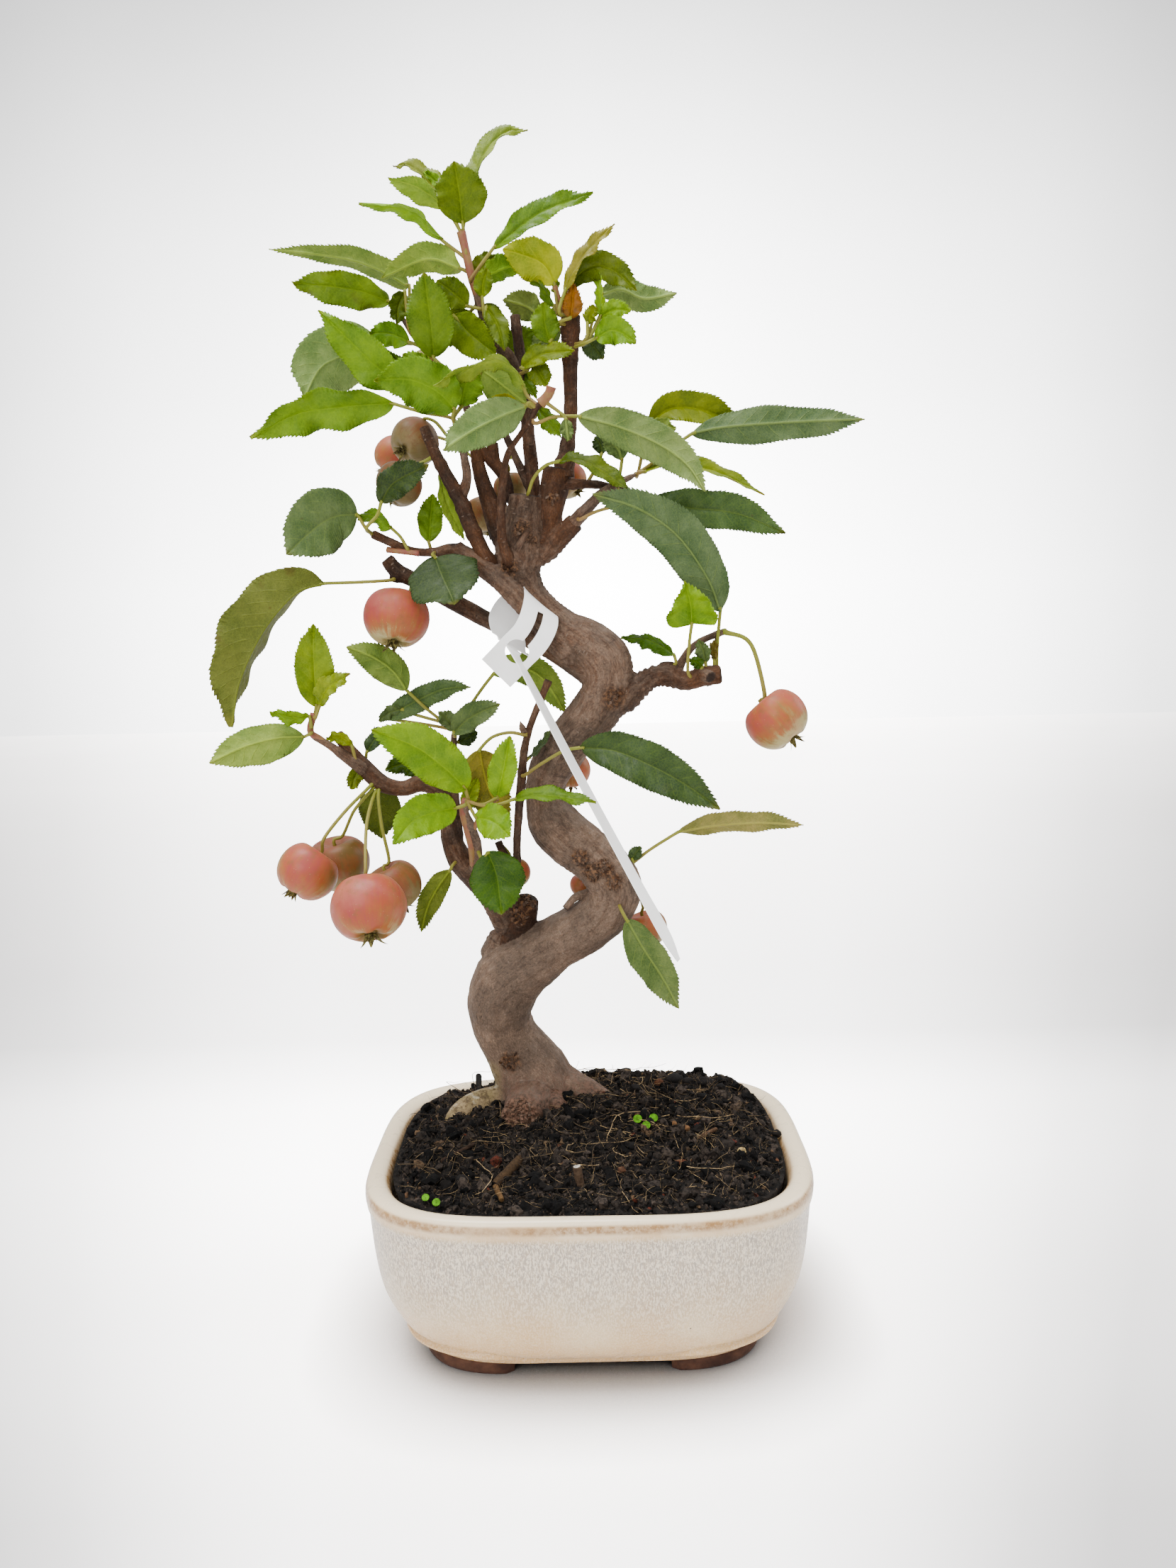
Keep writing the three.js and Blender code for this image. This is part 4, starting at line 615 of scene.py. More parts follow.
soil = {
    "farEdge": 66.0, "edge": 76.5, "mound": 13.5, "inset": 11.9, "rows": 130, "columns": 280, "lump": 2.2,
    "crumbs": {"Density": 215000.0, "Least Size": 0.0005, "Most Size": 0.0033, "Small Bias": 2.8,
               "Tilt": 1.5},
    "clods": {"Density": 26000.0, "Least Size": 0.0025, "Most Size": 0.0078, "Small Bias": 2.6, "Tilt": 1.5},
    "longRoots": {"Density": 24000.0, "Least Size": 0.009, "Most Size": 0.034, "Small Bias": 1.9,
                  "Tilt": 0.3},
    "shortRoots": {"Density": 150000.0, "Least Size": 0.002, "Most Size": 0.011, "Small Bias": 1.6,
                   "Tilt": 1.2},
    # things lying on the soil: across, up, size, flatness, tint
    "finds": [
        (72, 71.5, 4.4, 0.9, "a08a5c"), (46, 83.5, 3.2, 0.8, "6b4c30"), (40, 86, 2.8, 0.8, "6b4c30"),
        (30, 66.5, 2.4, 0.9, "77705c"), (15, 63.5, 4.4, 0.7, "4a3020"), (-26, 62, 3.4, 0.7, "5a3f2a"),
        (-12, 67, 4, 0.6, "4a3322"), (52, 85, 5, 0.35, "4c1c12"), (67, 76.5, 5.5, 0.3, "4a1e14"),
        (43, 67, 5.5, 0.35, "4f2a18"), (6, 94.5, 3.4, 0.6, "5a2a1a"), (33, 106, 6.5, 0.7, "4a2c1a"),
        (41, 107, 8.5, 0.8, "0e0b0a"), (55, 105.5, 8, 0.7, "0e0b0a"), (47, 106, 6, 0.8, "14100d"),
        (62, 103, 5, 0.8, "0e0b0a"), (-14, 104.5, 5, 0.8, "0e0b0a"), (22, 103, 6, 0.8, "120e0c"),
        (-60, 60, 7, 0.7, "0f0c0b"), (-66, 72, 6, 0.8, "0d0a09"), (88, 80, 5, 0.7, "15100d"),
        (-20, 55, 6, 0.6, "120e0c"), (20, 75, 5, 0.8, "0d0a09"), (58, 58, 5, 0.6, "1c1510"),
    ],
    # cut twigs: points across, up and height over the soil, radius, tints of the bark and of the cut end
    "twigs": [
        ([(-32, 71, 2), (-38, 64.5, 2.4), (-45, 57.5, 1.2)], 2.1, "3a2a18", "0c0908"),
        ([(-45, 57.5, 1.2), (-42, 50, 1)], 1.2, "5a4226", "5a4226"),
        ([(-4.5, 55, -1), (-5.3, 61, 4.5), (-6, 66, 9)], 1.9, "4a3a2c", "b8b4aa"),
        ([(-51, 103, -1), (-51, 111.5, 6)], 1.6, "14110f", "231c17"),
        ([(48, 77, 1), (60, 83, 2.5)], 0.9, "4a3524", "6b5236"),
        ([(-70, 70, 1.5), (-54, 78, 2)], 0.9, "33241a", "4a3524"),
    ],
    # across, up and size of each round seed leaf, and its outline as reach and height
    "seedlings": [(-78, 52, 1.6), (-73, 49.5, 1.7), (23, 88.5, 2.1), (30.5, 88.8, 2.1), (27, 85.3, 2)],
    "leaflet": [(0.15, 0), (0.6, 0.1), (0.9, 0.25), (1, 0.3), (0.97, 0.05), (0.6, -0.12), (0.15, -0.2)],
}


def soilHeight(x, y):
    lift = smoothstep(-78, 25, y) * (1 - smoothstep(55, 76, y)) * (1 - np.abs(x / 94) ** 4)
    dip = 1 - 0.55 * smoothstep(15, 70, -x) * smoothstep(0, 50, y)
    return soil["edge"] + soil["mound"] * np.maximum(lift, 0) * dip


def roughness(x, y):
    high = noise.fractal(Vector((x * 0.12, y * 0.12, 3.1)), 0.8, 2.1, 6) * 1.6
    clod = max(0.0, 0.6 - noise.voronoi(Vector((x * 0.24, y * 0.24, 0.7)))[0][0]) * 2.8
    return (high + clod) * soil["lump"] * 0.62


def soilFinish():
    earth = Finish("dampSoil", Roughness=0.95, Specular_IOR_Level=0.12)
    place = earth.place
    fine = cloud(place, 900, 4, 0.7)
    mid = cloud(place, 210, 4, 0.6)
    base = mix(fade(mid, 0.35, 0.7), "050505", "24201d")
    base = mix(fade(fine, 0.6, 0.78), base, "4a3d32")
    straw = fade(cells(stretch(place, 1, 0.28, 1), 620), 0.13, 0.06)
    base = mix(times(straw, 0.5), base, "6b553d")
    return earth.made(base, bump(fine, 0.9, 0.0008, bump(mid, 0.9, 0.002)))


def crumbFinish():
    crumb = Finish("soilCrumb", Roughness=0.93, Specular_IOR_Level=0.14)
    place = crumb.place
    tone = crumb.attribute("tone")
    dark = mix(fade(tone, 0.3, 0.95), "030303", "3b332d")
    brown = mix(fade(tone, 0.94, 0.98), dark, "5a4632")
    red = mix(fade(tone, 0.99, 0.995), brown, "4f261a")
    return crumb.made(mix(soft(place, 700, 3, 0.4, 0.7), red, "0b0807"),
                      bump(cloud(place, 1500, 3), 0.7, 0.0004))


def rootFinish():
    root = Finish("fineRoot", Roughness=0.8, Specular_IOR_Level=0.15)
    tone = root.attribute("tone")
    base = mix(fade(tone, 0.2, 1.0), "2b241d", "a98f68")
    return root.made(mix(soft(root.place, 500, 2, 0.4, 0.7), base, "33281c"))


def lump(name, seed, rough, squash=(1, 1, 1), level=1):
    mesh = bpy.data.meshes.new(name)
    shape = bmesh.new()
    bmesh.ops.create_icosphere(shape, subdivisions=level, radius=0.5)
    for vert in shape.verts:
        push = noise.noise(vert.co * 2.1 + Vector((seed * 7.3, seed * 1.7, 0))) * rough
        vert.co = Vector([c * s for c, s in zip(vert.co * (1 + push), squash)])
    shape.to_mesh(mesh)
    shape.free()
    return bpy.data.objects.new(name, mesh)


def rootShape(name, seed):
    rng = random.Random(seed)
    points, heading = [np.zeros(3)], rng.uniform(0, math.tau)
    for _ in range(7):
        heading += rng.uniform(-0.55, 0.55)
        step = np.array([math.cos(heading), math.sin(heading), rng.uniform(-0.22, 0.22)])
        points.append(points[-1] + step * 0.14)
    centres, _ = spline(points, 9)
    _, across, lift = frames(centres)
    ring = hoops(centres, across, lift, np.array([0, 2.09, 4.19]), 0.0075 * (1 - 0.5 * np.arange(9) / 8))
    build = Build()
    build.add(ring.reshape(-1, 3), gridFaces(9, 3, closed=True) + [[2, 1, 0], [24, 25, 26]])
    return build.finish(name)


def scatterTree(name):
    sizes = (("Density", 100.0), ("Least Size", 0.001), ("Most Size", 0.004), ("Small Bias", 2.0),
             ("Tilt", 0.5),
             ("Sink", 0.0))
    tree, given = newTree(name, ("Geometry", "Geometry"), ("Shapes", "Collection"),
                          *((label, "Float", value) for label, value in sizes), ("Seed", "Int", 1),
                          ("Finish", "Material"))

    def randomValue(low, high, extra, kind="FLOAT"):
        least, most, out = {"FLOAT": (2, 3, 1), "FLOAT_VECTOR": (0, 1, 0)}[kind]
        return node(tree, "FunctionNodeRandomValue", {least: low, most: high,
                                                      "Seed": plus(given["Seed"], float(extra))},
                    data_type=kind).outputs[out]

    def vector(x, y, z):
        return node(tree, "CombineXYZ", {0: x, 1: y, 2: z}).outputs[0]

    spots = node(tree, "GeometryNodeDistributePointsOnFaces", {
        "Mesh": given["Geometry"], "Density": given["Density"], "Seed": given["Seed"]})
    shapes = node(tree, "GeometryNodeCollectionInfo", {0: given["Shapes"], 1: True, 2: True})
    size = node(tree, "MapRange", {"Value": calc("POWER", randomValue(0.0, 1.0, 11), given["Small Bias"]),
                                   "To Min": given["Least Size"], "To Max": given["Most Size"]}).outputs[0]
    tilt = given["Tilt"]
    back = times(tilt, -1.0)
    turn = randomValue(vector(back, back, 0.0), vector(tilt, tilt, math.tau), 23, "FLOAT_VECTOR")
    lowered = node(tree, "GeometryNodeSetPosition", {
        "Geometry": spots.outputs["Points"], "Offset": vector(0.0, 0.0, times(given["Sink"], size))})
    placed = node(tree, "GeometryNodeInstanceOnPoints", {
        "Points": lowered.outputs[0], "Instance": shapes.outputs[0], "Pick Instance": True,
        "Rotation": turn, "Scale": size})
    toned = node(tree, "GeometryNodeStoreNamedAttribute", {
        "Geometry": placed.outputs[0], "Name": "tone", "Value": randomValue(0.0, 1.0, 41)},
                 data_type="FLOAT", domain="INSTANCE")
    return closeTree(tree, toned.outputs[0], given["Finish"])


def shapeCollection(name, shapes):
    group = bpy.data.collections.new(name)
    for shape in shapes:
        for user in list(shape.users_collection):
            user.objects.unlink(shape)
        group.objects.link(shape)
    return group


def keepInside(piece, halfWide, halfDeep):
    # nothing loose reaches over the pot's inner wall
    spots = readPoints(piece.data) - potCentre
    power = pot["corner"]
    x, y = np.abs(spots[:, 0] / mm / halfWide), np.abs(spots[:, 1] / mm / halfDeep)
    spots[:, :2] /= np.maximum((x ** power + y ** power) ** (1 / power), 1)[:, None]
    movePoints(piece.data, spots + potCentre)


def makeSoil():
    halfWide = pot["width"] / 2 - soil["inset"]
    halfDeep = pot["depth"] / 2 - soil["inset"] * 0.8
    build = Build()
    rows, columns = soil["rows"], soil["columns"]
    angles = circle(columns)
    points = []
    for r in range(rows):
        share = 1 - (r / rows) ** 0.9
        x, y = ovalPoint(angles, halfWide * share, halfDeep * share)
        high = soilHeight(x, y)
        rough = np.array([roughness(a, b) for a, b in zip(x, y)])
        inner = smoothstep(1.0, 0.96, share)
        points.append(np.stack([x, y, high + rough * (0.35 + 0.65 * inner)], 1))
    top = np.vstack(points)
    skirt = []
    for inward, height in ((5, 58), (12, 34), (30, 13)):
        x, y = ovalPoint(angles, halfWide - inward, halfDeep - inward * 0.8)
        skirt.append(np.stack([x, y, np.full_like(x, height)], 1))
    lower = np.vstack(skirt[::-1])
    allPoints = np.vstack([lower, top, [[0, 0, soilHeight(0.0, 0.0)], [0, 0, 13]]])
    faces = gridFaces(rows + 3, columns, closed=True)
    last = (rows + 2) * columns
    for c in range(columns):
        d = (c + 1) % columns
        faces.append([last + c, last + d, len(allPoints) - 2])
        faces.append([d, c, len(allPoints) - 1])
    build.add(allPoints * mm + potCentre, faces)
    ride(build.finish("soilBed", [soilFinish()]), "soil", "soil")

    # the scatter stands on the top only
    def ground(name, skipped):
        field = Build()
        field.add(top[columns * skipped:] * mm + potCentre, gridFaces(rows - skipped, columns, closed=True))
        return field.finish(name)

    scatter = scatterTree("soilScatter")
    lumps = shapeCollection("crumbShapes", [lump("crumb%d" % i, i, 1.2, (1, 0.8, 0.65)) for i in range(6)])
    clods = shapeCollection("clodShapes",
                            [lump("clod%d" % i, 20 + i, 0.9, (1, 0.85, 0.75), 2) for i in range(5)])
    threads = shapeCollection("rootShapes", [rootShape("rootlet%d" % i, 40 + i) for i in range(7)])
    crumbSkin, rootSkin = crumbFinish(), rootFinish()
    jobs = (("soilCrumbs", "crumbs", lumps, crumbSkin, 2, 4),
            ("moreCrumbs", "crumbs", lumps, crumbSkin, 2, 5),
            ("soilClods", "clods", clods, crumbSkin, 4, 7),
            ("longRootlets", "longRoots", threads, rootSkin, 22, 9),
            ("shortRootlets", "shortRoots", threads, rootSkin, 6, 12))
    for name, key, shapes, skin, skipped, seed in jobs:
        field = ground(name + "Ground", skipped)
        given = {"Shapes": shapes, "Sink": 0.06, "Seed": seed, "Finish": skin}
        made = runTree(scatter, name, {**given, **soil[key]}, field)
        discard(field)
        keepInside(made, halfWide - 1, halfDeep - 1)
        ride(made, "soil")
        print(name, "made:", len(made.data.polygons), "faces")


def onSoil(across, up, lift=0.0):
    k = 1.0
    for _ in range(14):
        x, y = viewer["across"] + (across - viewer["across"]) * k, (k - 1) * viewer["back"]
        k = (float(soilHeight(x, y)) + lift - viewer["up"]) / (up - viewer["up"])
    if y > soil["farEdge"]:   # seen above the far rim, so it stands up from the last of the soil
        return seen(across, up, soil["farEdge"])
    return potCentre + np.array((x, y, float(soilHeight(x, y)) + lift)) * mm


def makeFinds():
    litter = Finish("soilLitter", Roughness=0.85, Specular_IOR_Level=0.18)
    place = litter.place
    tint = litter.attribute("tint", "Color")
    base = mix(soft(place, 700, 4, 0.35, 0.7), tint, shaded(tint, 0.45, 0.42, 0.4))
    skin = litter.made(base, bump(cloud(place, 1300, 3), 0.6, 0.0004))
    build = Build()
    for number, (a, u, size, flat, shade) in enumerate(soil["finds"]):
        ball = bmesh.new()
        bmesh.ops.create_icosphere(ball, subdivisions=3, radius=0.5)
        push = [1 + 0.3 * noise.noise(v.co * 2.6 + Vector((number * 3.7, 0, 0))) for v in ball.verts]
        points = np.array([v.co * k for v, k in zip(ball.verts, push)])
        points = points * np.array([1, 0.85, flat]) * size * mm
        faces = [[v.index for v in f.verts] for f in ball.faces]
        ball.free()
        build.add(points + onSoil(a, u, size * flat * 0.25), faces, tint=hexColour(shade)[:3])
    for path, radius, shade, cutShade in soil["twigs"]:
        line, _ = spline([onSoil(*p) for p in path], 14)
        along, across, lift = frames(line)
        turns = circle(12)
        size = radius * mm * np.array([0.55] + [1.0] * 12 + [0.85])
        bumps = np.array([[noise.noise(Vector((i * 0.5, t, radius))) for t in turns] for i in range(14)])
        ring = hoops(line, across, lift, turns, size[:, None] * (1 + 0.16 * bumps)).reshape(-1, 3)
        build.add(ring, gridFaces(14, 12, closed=True), tint=hexColour(shade)[:3])
        caps = np.vstack([ring[:12], line[:1] - along[0] * radius * 0.2 * mm,
                          ring[-12:], line[-1:] + along[-1] * radius * 0.15 * mm])
        fan = ([[(k + 1) % 12, k, 12] for k in range(12)]
               + [[13 + k, 13 + (k + 1) % 12, 25] for k in range(12)])
        build.add(caps, fan, tint=hexColour(cutShade)[:3])
    for a, u, size in soil["seedlings"]:
        foot, head = onSoil(a, u, -1), onSoil(a, u, 3.2)
        line, _ = spline([foot, head], 5)
        turns = circle(6)
        ring = line[:, None] + np.stack([np.cos(turns), np.sin(turns), 0 * turns], 1)[None] * 0.35 * mm
        ends = [[5, 4, 3, 2, 1, 0], [24, 25, 26, 27, 28, 29]]
        build.add(ring.reshape(-1, 3), gridFaces(5, 6, closed=True) + ends, tint=hexColour("4a6a12")[:3])
        turns = circle(16)
        rings = [np.stack([np.cos(turns) * share, np.sin(turns) * share * 0.85,
                           high / 3 + 0.6 * share * np.sin(turns)], 1) * size
                 for share, high in soil["leaflet"]]
        build.add(np.vstack(rings) * mm + head, gridFaces(7, 16, closed=True, flip=True)
                  + [list(range(16)), list(range(96, 112))[::-1]], tint=hexColour("4f8a06")[:3])
    ride(build.finish("soilFinds", [skin]), "soil")
    print("litter and seedlings made")


makeSoil()
makeFinds()


# Wood. Each stem has a tone at its foot and at its end, from pale grey bark (0) to dark red bark (1),
# then how it ends, and its points as across, up, depth, radius.

oldWood = {
    "voxel": 0.00085, "steps": 1.1, "sides": 26, "flakes": 460,
    "stems": {
        "trunk": (0.0, 0.55, "cut", [
            (-24, 84, 38, 22), (-24, 98, 38, 20.5), (-25.5, 110, 37, 18), (-32, 122, 35, 15.2),
            (-37, 131, 33, 14.1), (-39.7, 141, 30, 14.6), (-38.5, 151, 27, 15.6), (-32, 161.5, 23, 15.6),
            (-14.5, 172.8, 17, 12.8), (1.5, 181.8, 11, 11.7), (11.8, 190, 7, 11.3), (14.8, 199, 5, 11.6),
            (11, 207, 5, 12), (4.5, 213.8, 6, 11.7), (-6, 222, 8, 12), (-13.5, 231, 10, 11.4),
            (-16.3, 240, 11, 9.5), (-15.8, 249, 11, 9.2), (-11, 259, 9, 10.4), (-2, 270.5, 6, 10.5),
            (7, 280.5, 3, 11.3), (12.8, 292, 1, 10.8), (12, 303, 0, 11.3), (4, 311, 1, 10.5),
            (-6, 317.5, 2, 8.6), (-14.5, 326, 3, 7), (-20.5, 334, 4, 6.6), (-23.5, 341, 4, 8),
            (-25, 347.5, 4, 11), (-24.5, 356, 4, 10.5), (-23, 366, 4, 8.3), (-21.5, 376, 4, 7.3)]),
        "rightRoot": (0.2, 0.6, "tip", [(-12, 104, 36, 12), (0, 102.5, 31, 6.4), (8, 99.5, 27, 3.8),
                                        (15, 96.5, 23, 2.2)]),
        "leftRoot": (0.0, 0.1, "tip", [
            (-36, 98.5, 34, 9), (-48, 97.5, 28, 7), (-57.5, 94, 22, 6.5), (-63.5, 86.5, 14, 6),
            (-66, 79, 7, 4.6)]),
        "frontRoot": (0.4, 0.6, "tip", [(-25, 100, 34, 14), (-27.5, 97, 20, 12), (-31, 92.5, 8, 9.6),
                                        (-37, 86.5, -2, 6.4)]),
        "frontSpur": (0.5, 0.8, "tip", [(-20, 98, 34, 13), (-17, 95.5, 20, 8), (-15, 92, 11, 4.4)]),
        "cutStub": (0.85, 1.0, "cut", [(-34, 176, 24, 8.4), (-30.5, 183, 20, 7.4), (-27, 190, 17, 6.2),
                                       (-24.5, 195, 15, 4.2)]),
        "branchCollar": (0.1, 0.5, "buried", [(-41, 168, 27, 8), (-36, 179, 23, 6.8)]),
        "callusLimb": (0.8, 0.9, "cut", [
            (-22, 352, 4, 8), (-12.5, 358, 4, 5), (-11, 368, 4, 5.2), (-9.3, 378, 4, 6.4),
            (-7.5, 388, 3, 6.5)]),
        "rightCrownBranch": (0.5, 0.9, "cut", [
            (-20, 350, 4, 7), (-12, 353, 2, 5), (-7, 358, 0, 4.6), (0, 364.5, -2, 4.2)]),
        "darkCrownLimb": (0.8, 1.0, "cut", [
            (-28, 352, 6, 7), (-34, 362, 7, 5.2), (-38, 374, 8, 4.2), (-42, 387, 8, 3.3),
            (-43.5, 399, 8, 2.8)]),
        "lowerLeftBranch": (0.55, 0.8, "cut", [
            (-34, 180, 22, 6.4), (-38.5, 189, 17, 5.9), (-43.5, 198, 11, 5.8), (-50, 206, 6, 6),
            (-56, 213.5, 4, 6), (-59.5, 222, 2, 5), (-60.5, 231, 1, 4.5), (-62, 240, 0, 4.2),
            (-66.5, 247, -1, 4), (-73, 249.3, -2, 4), (-81, 247, -3, 3.7), (-90, 249.3, -4, 3.9),
            (-97, 255.5, -4, 3.9), (-104, 264, -3, 3.1), (-110, 272.5, -2, 2.8)]),
        "rightStub": (0.4, 0.9, "cut", [
            (8, 286, 2, 9), (19, 287, 1, 8.2), (26, 291, 0, 6.2), (33, 295, 0, 5), (40, 296, -1, 5.4),
            (48, 293, -3, 4.3), (56, 295, -5, 4.5), (64, 295.8, -6, 4.2)]),
        "rightStubKnob": (0.7, 0.8, "cut", [(40, 296, -1, 4.2), (40.5, 301.5, 0, 3.4)]),
        "rightStubScar": (0.7, 0.4, "cut", [(56, 296, -8, 2.6), (59, 294.5, -11, 2.7)]),
        "tagLimb": (0.35, 0.85, "cut", [
            (-4, 308, 0, 7), (-11, 314.5, -2, 6), (-17.5, 322, -4, 5.3), (-25, 330, -5, 4.9),
            (-33, 338.5, -4, 4.8),
            (-42, 345.5, -2, 4.4), (-50, 351.5, 0, 3.9), (-56, 353.5, 1, 2.8), (-64, 352.4, 1, 2.1),
            (-73, 353.2, 0, 1.9), (-82, 357, -1, 2), (-90.5, 361, -2, 2.2)]),
        "tagLimbHump": (0.7, 0.7, "cut", [(-49, 350, 0, 3), (-53, 355.5, 0, 2.6)]),
        "backLimb": (0.45, 0.85, "cut", [
            (6, 300, 3, 9), (-1, 303, 4, 7), (-12, 309.5, 9, 5.6), (-25, 315.5, 11, 4.6), (-38, 321, 11, 4),
            (-50, 327.5, 9, 3.8), (-62, 334, 6, 3.6), (-73, 340.5, 3, 3.6), (-80, 344.5, 2, 3.7),
            (-84.5, 350, 1, 3.2)]),
        "backLimbSpur": (0.9, 0.9, "tip", [(-77, 342, 2, 3), (-84, 341, 1, 1.8)]),
    },
    # old eyes and wounds: across, up, depth, radius, how far the rim stands out
    "scars": [
        (-25.5, 193, 12, 4, 1.2), (-30, 187, 12, 5, 0.9), (-20, 186, 12, 3.5, 0.8), (-28, 195, 14, 3, 1.2),
        (54, 296, -3, 3.2, 0.9),
        (58.5, 293.5, -3, 3, 0.7), (-33, 92, 0, 9, 0.3), (-26, 88, -2, 7, -0.3), (6, 99, 22, 5, 0.3),
        (-36, 118, 20, 6, 0.4), (3, 206, -6, 6, -0.7), (10, 208, -6, 5, -0.6), (-1, 213, -4, 5, -0.5),
        (14, 202, -5, 5, -0.6), (-24, 362, -5, 4.5, 0.9),
        (-20, 357, -5, 3, 0.7), (4, 226, -4, 4, 0.5), (-51, 163, 14, 2, 0.9), (-44, 352, 0, 2.5, 0.5),
        (16, 286, -9, 6, 0.6), (-30, 345, -5, 5, 0.5), (-47.5, 364, -6, 1.6, 0.4), (-10, 375, -2, 3, 0.7),
    ],
    # rings of folded bark: across, up, depth, reach, height
    "wrinkles": [
        (-26, 346, 4, 9, 0.45), (20, 288, 0, 10, 0.5), (8, 206, 4, 9, 0.35), (-14, 318, 2, 8, 0.35),
        (-38, 184, 20, 8, 0.4), (-12, 356, 3, 6, 0.35), (40, 297, 0, 7, 0.4),
    ],
}

youngWood = {
    "sides": 14, "steps": 1.3,
    "stems": {
        "crownLeftBranch": (0.85, 0.8, "cut", [
            (-36, 343, 1, 3.4), (-38.5, 347, -1, 3.4), (-42, 353, -2, 3.4), (-46.5, 363, -3, 3.5),
            (-50.5, 374, -3, 3.4),
            (-57, 386.5, -3, 2.9), (-62, 397, -3, 2.5), (-65.7, 406.5, -3, 2.2)]),
        "crownLeftSpur": (0.7, 0.35, "cut", [
            (-50.5, 376, -3, 2.6), (-47.7, 384, -2, 2.1), (-48.3, 392, -3, 1.8), (-50.5, 404, -5, 1.6)]),
        "frontTwig": (0.85, 0.75, "tip", [
            (-29.5, 347, -3, 3), (-31, 351, -8, 2.6), (-32.8, 357, -11, 2.1), (-33, 369, -13, 1.9),
            (-31.5, 385, -14, 1.6), (-29, 395, -14, 1.4), (-24, 402, -14, 1.2), (-19.5, 408, -14, 1.2),
            (-16.5, 413.5, -14, 1.3), (-13, 417, -15, 1.5), (-11.5, 421.5, -16, 1)]),
        "middleLeader": (0.8, 0.7, "cut", [
            (-19, 364, 8, 4), (-18.3, 371, 12, 3.4), (-18.6, 379, 12, 3.2), (-19, 390, 12, 3),
            (-20, 402, 11, 2.8),
            (-21.3, 418, 10, 2.6), (-22.6, 435, 9, 2.3), (-24.6, 453, 8, 2.2)]),
        "leaningTwig": (0.7, 0.6, "cut", [(-19, 378, 12, 2.2), (-26, 393, 14, 1.7), (-31, 405, 15, 1.5)]),
        "apexShoot": (0.5, 0.45, "tip", [
            (-21.3, 419, 10, 2.2), (-25, 431, 8, 2.7), (-29, 437, 6, 2.9), (-33.5, 443, 4, 2.8),
            (-36.5, 449, 3, 2.5),
            (-38, 453, 2, 2.3), (-41, 463, 1, 1.7), (-43, 470, 0, 1.6), (-45, 480, -1, 1.3),
            (-47, 488.5, -2, 1)]),
        "rightLeader": (0.75, 0.9, "cut", [
            (-5, 384, 3, 5), (-4.5, 389, 3, 4.4), (-3.4, 394, 3, 3.7), (-2.3, 402, 3, 3), (-1.2, 412, 3, 3),
            (-1, 425, 3, 3.1), (-0.8, 437, 3, 3.7), (-0.3, 452.5, 3, 4.4)]),
        "sideTwig": (0.85, 0.8, "cut", [
            (-6, 380.6, 2, 2.4), (3, 380.8, 0, 2.1), (11, 380.2, -1, 1.8), (17.5, 378.8, -1, 1.4),
            (24, 377.5, -3, 0.9)]),
        "rightSpur": (0.45, 0.3, "tip", [
            (-1, 364, -3, 3.2), (5, 370, -5, 2.7), (12, 376.5, -7, 2.2), (19, 380.7, -8, 1.6),
            (27, 384.5, -8, 1.2)]),
        "darkFork": (0.95, 1.0, "cut", [(-29, 374, 7, 2.4), (-31, 384.5, 9, 2.6), (-35, 391, 9, 2.6),
                                        (-36, 399, 9, 2.6)]),
        "darkForkArm": (1.0, 1.0, "cut", [(-32, 385.5, 9, 2.3), (-38, 393, 8.5, 2.2), (-43, 399.5, 8, 2.4)]),
        "middleTwig": (0.75, 0.7, "cut", [
            (-36, 194, 12, 2), (-31, 204, -3, 1.9), (-30, 222, -7, 1.8), (-28.3, 240, -8, 2),
            (-27, 251, -8, 2.1),
            (-25.8, 262, -8, 1.8), (-23, 273, -8, 1.6), (-18.5, 284, -8, 1.6), (-13.8, 294.5, -8, 1.7)]),
        "middleTwigBud": (0.5, 0.3, "tip", [(-24, 270, -8, 1), (-26, 273, -10, 1.6), (-27, 276.5, -11, 0.5)]),
        "smallDeadSpur": (0.1, 0.2, "cut", [(2, 196, 12, 3), (-4, 195, 8, 1.8), (-8.5, 190, 6, 1.7)]),
        "upperLeftTwig": (0.7, 0.5, "tip", [
            (-57, 220, 2, 2.8), (-57.5, 240, 1, 2), (-58.3, 255, 2, 1.7), (-57.3, 269, 2, 1.4),
            (-56.2, 275, 2, 1)]),
        "leftSpur": (0.55, 0.4, "tip", [
            (-96, 254.5, -4, 3.4), (-106, 261.5, -8, 2.5), (-113, 267, -8, 1.8), (-120.5, 271.8, -8, 1.5),
            (-121.8, 275, -9, 1.2), (-120, 281, -9, 1)]),
        "frontSpur": (0.45, 0.2, "tip", [
            (-50, 208, 4, 3.2), (-48.5, 219, -9, 2.5), (-51, 229, -14, 2.2), (-53.5, 236, -16, 1.8),
            (-52, 241, -20, 1.2)]),
        "shortStub": (0.8, 0.9, "cut", [(-45, 203, 8, 3), (-36, 212, 4, 2), (-38.5, 221.5, 4, 1.8)]),
        "rightFruitTwig": (0.6, 0.35, "cut", [
            (43, 296, 2, 2.6), (46.5, 302, 3, 1.9), (50.5, 307.5, 2, 1.6), (56, 311.3, 0, 1.5),
            (65.5, 314.8, -2, 1.5)]),
        "deadStub": (0.3, 0.9, "cut", [(-26.5, 353, -7, 1.6), (-24, 357, -9, 1.4), (-21, 361, -9.5, 1.1)]),
        "crownLeftShoot": (0.5, 0.4, "tip", [
            (-43.5, 397, 8, 2.4), (-44, 402.5, 8, 1.8), (-45.5, 411, 8, 1.7), (-49.5, 420.5, 8.2, 1.6),
            (-55, 429, 8.4, 1.5), (-63, 438, 8.6, 1.3), (-70, 447, 9, 1.1), (-75, 456, 9, 0.9)]),
    },
}


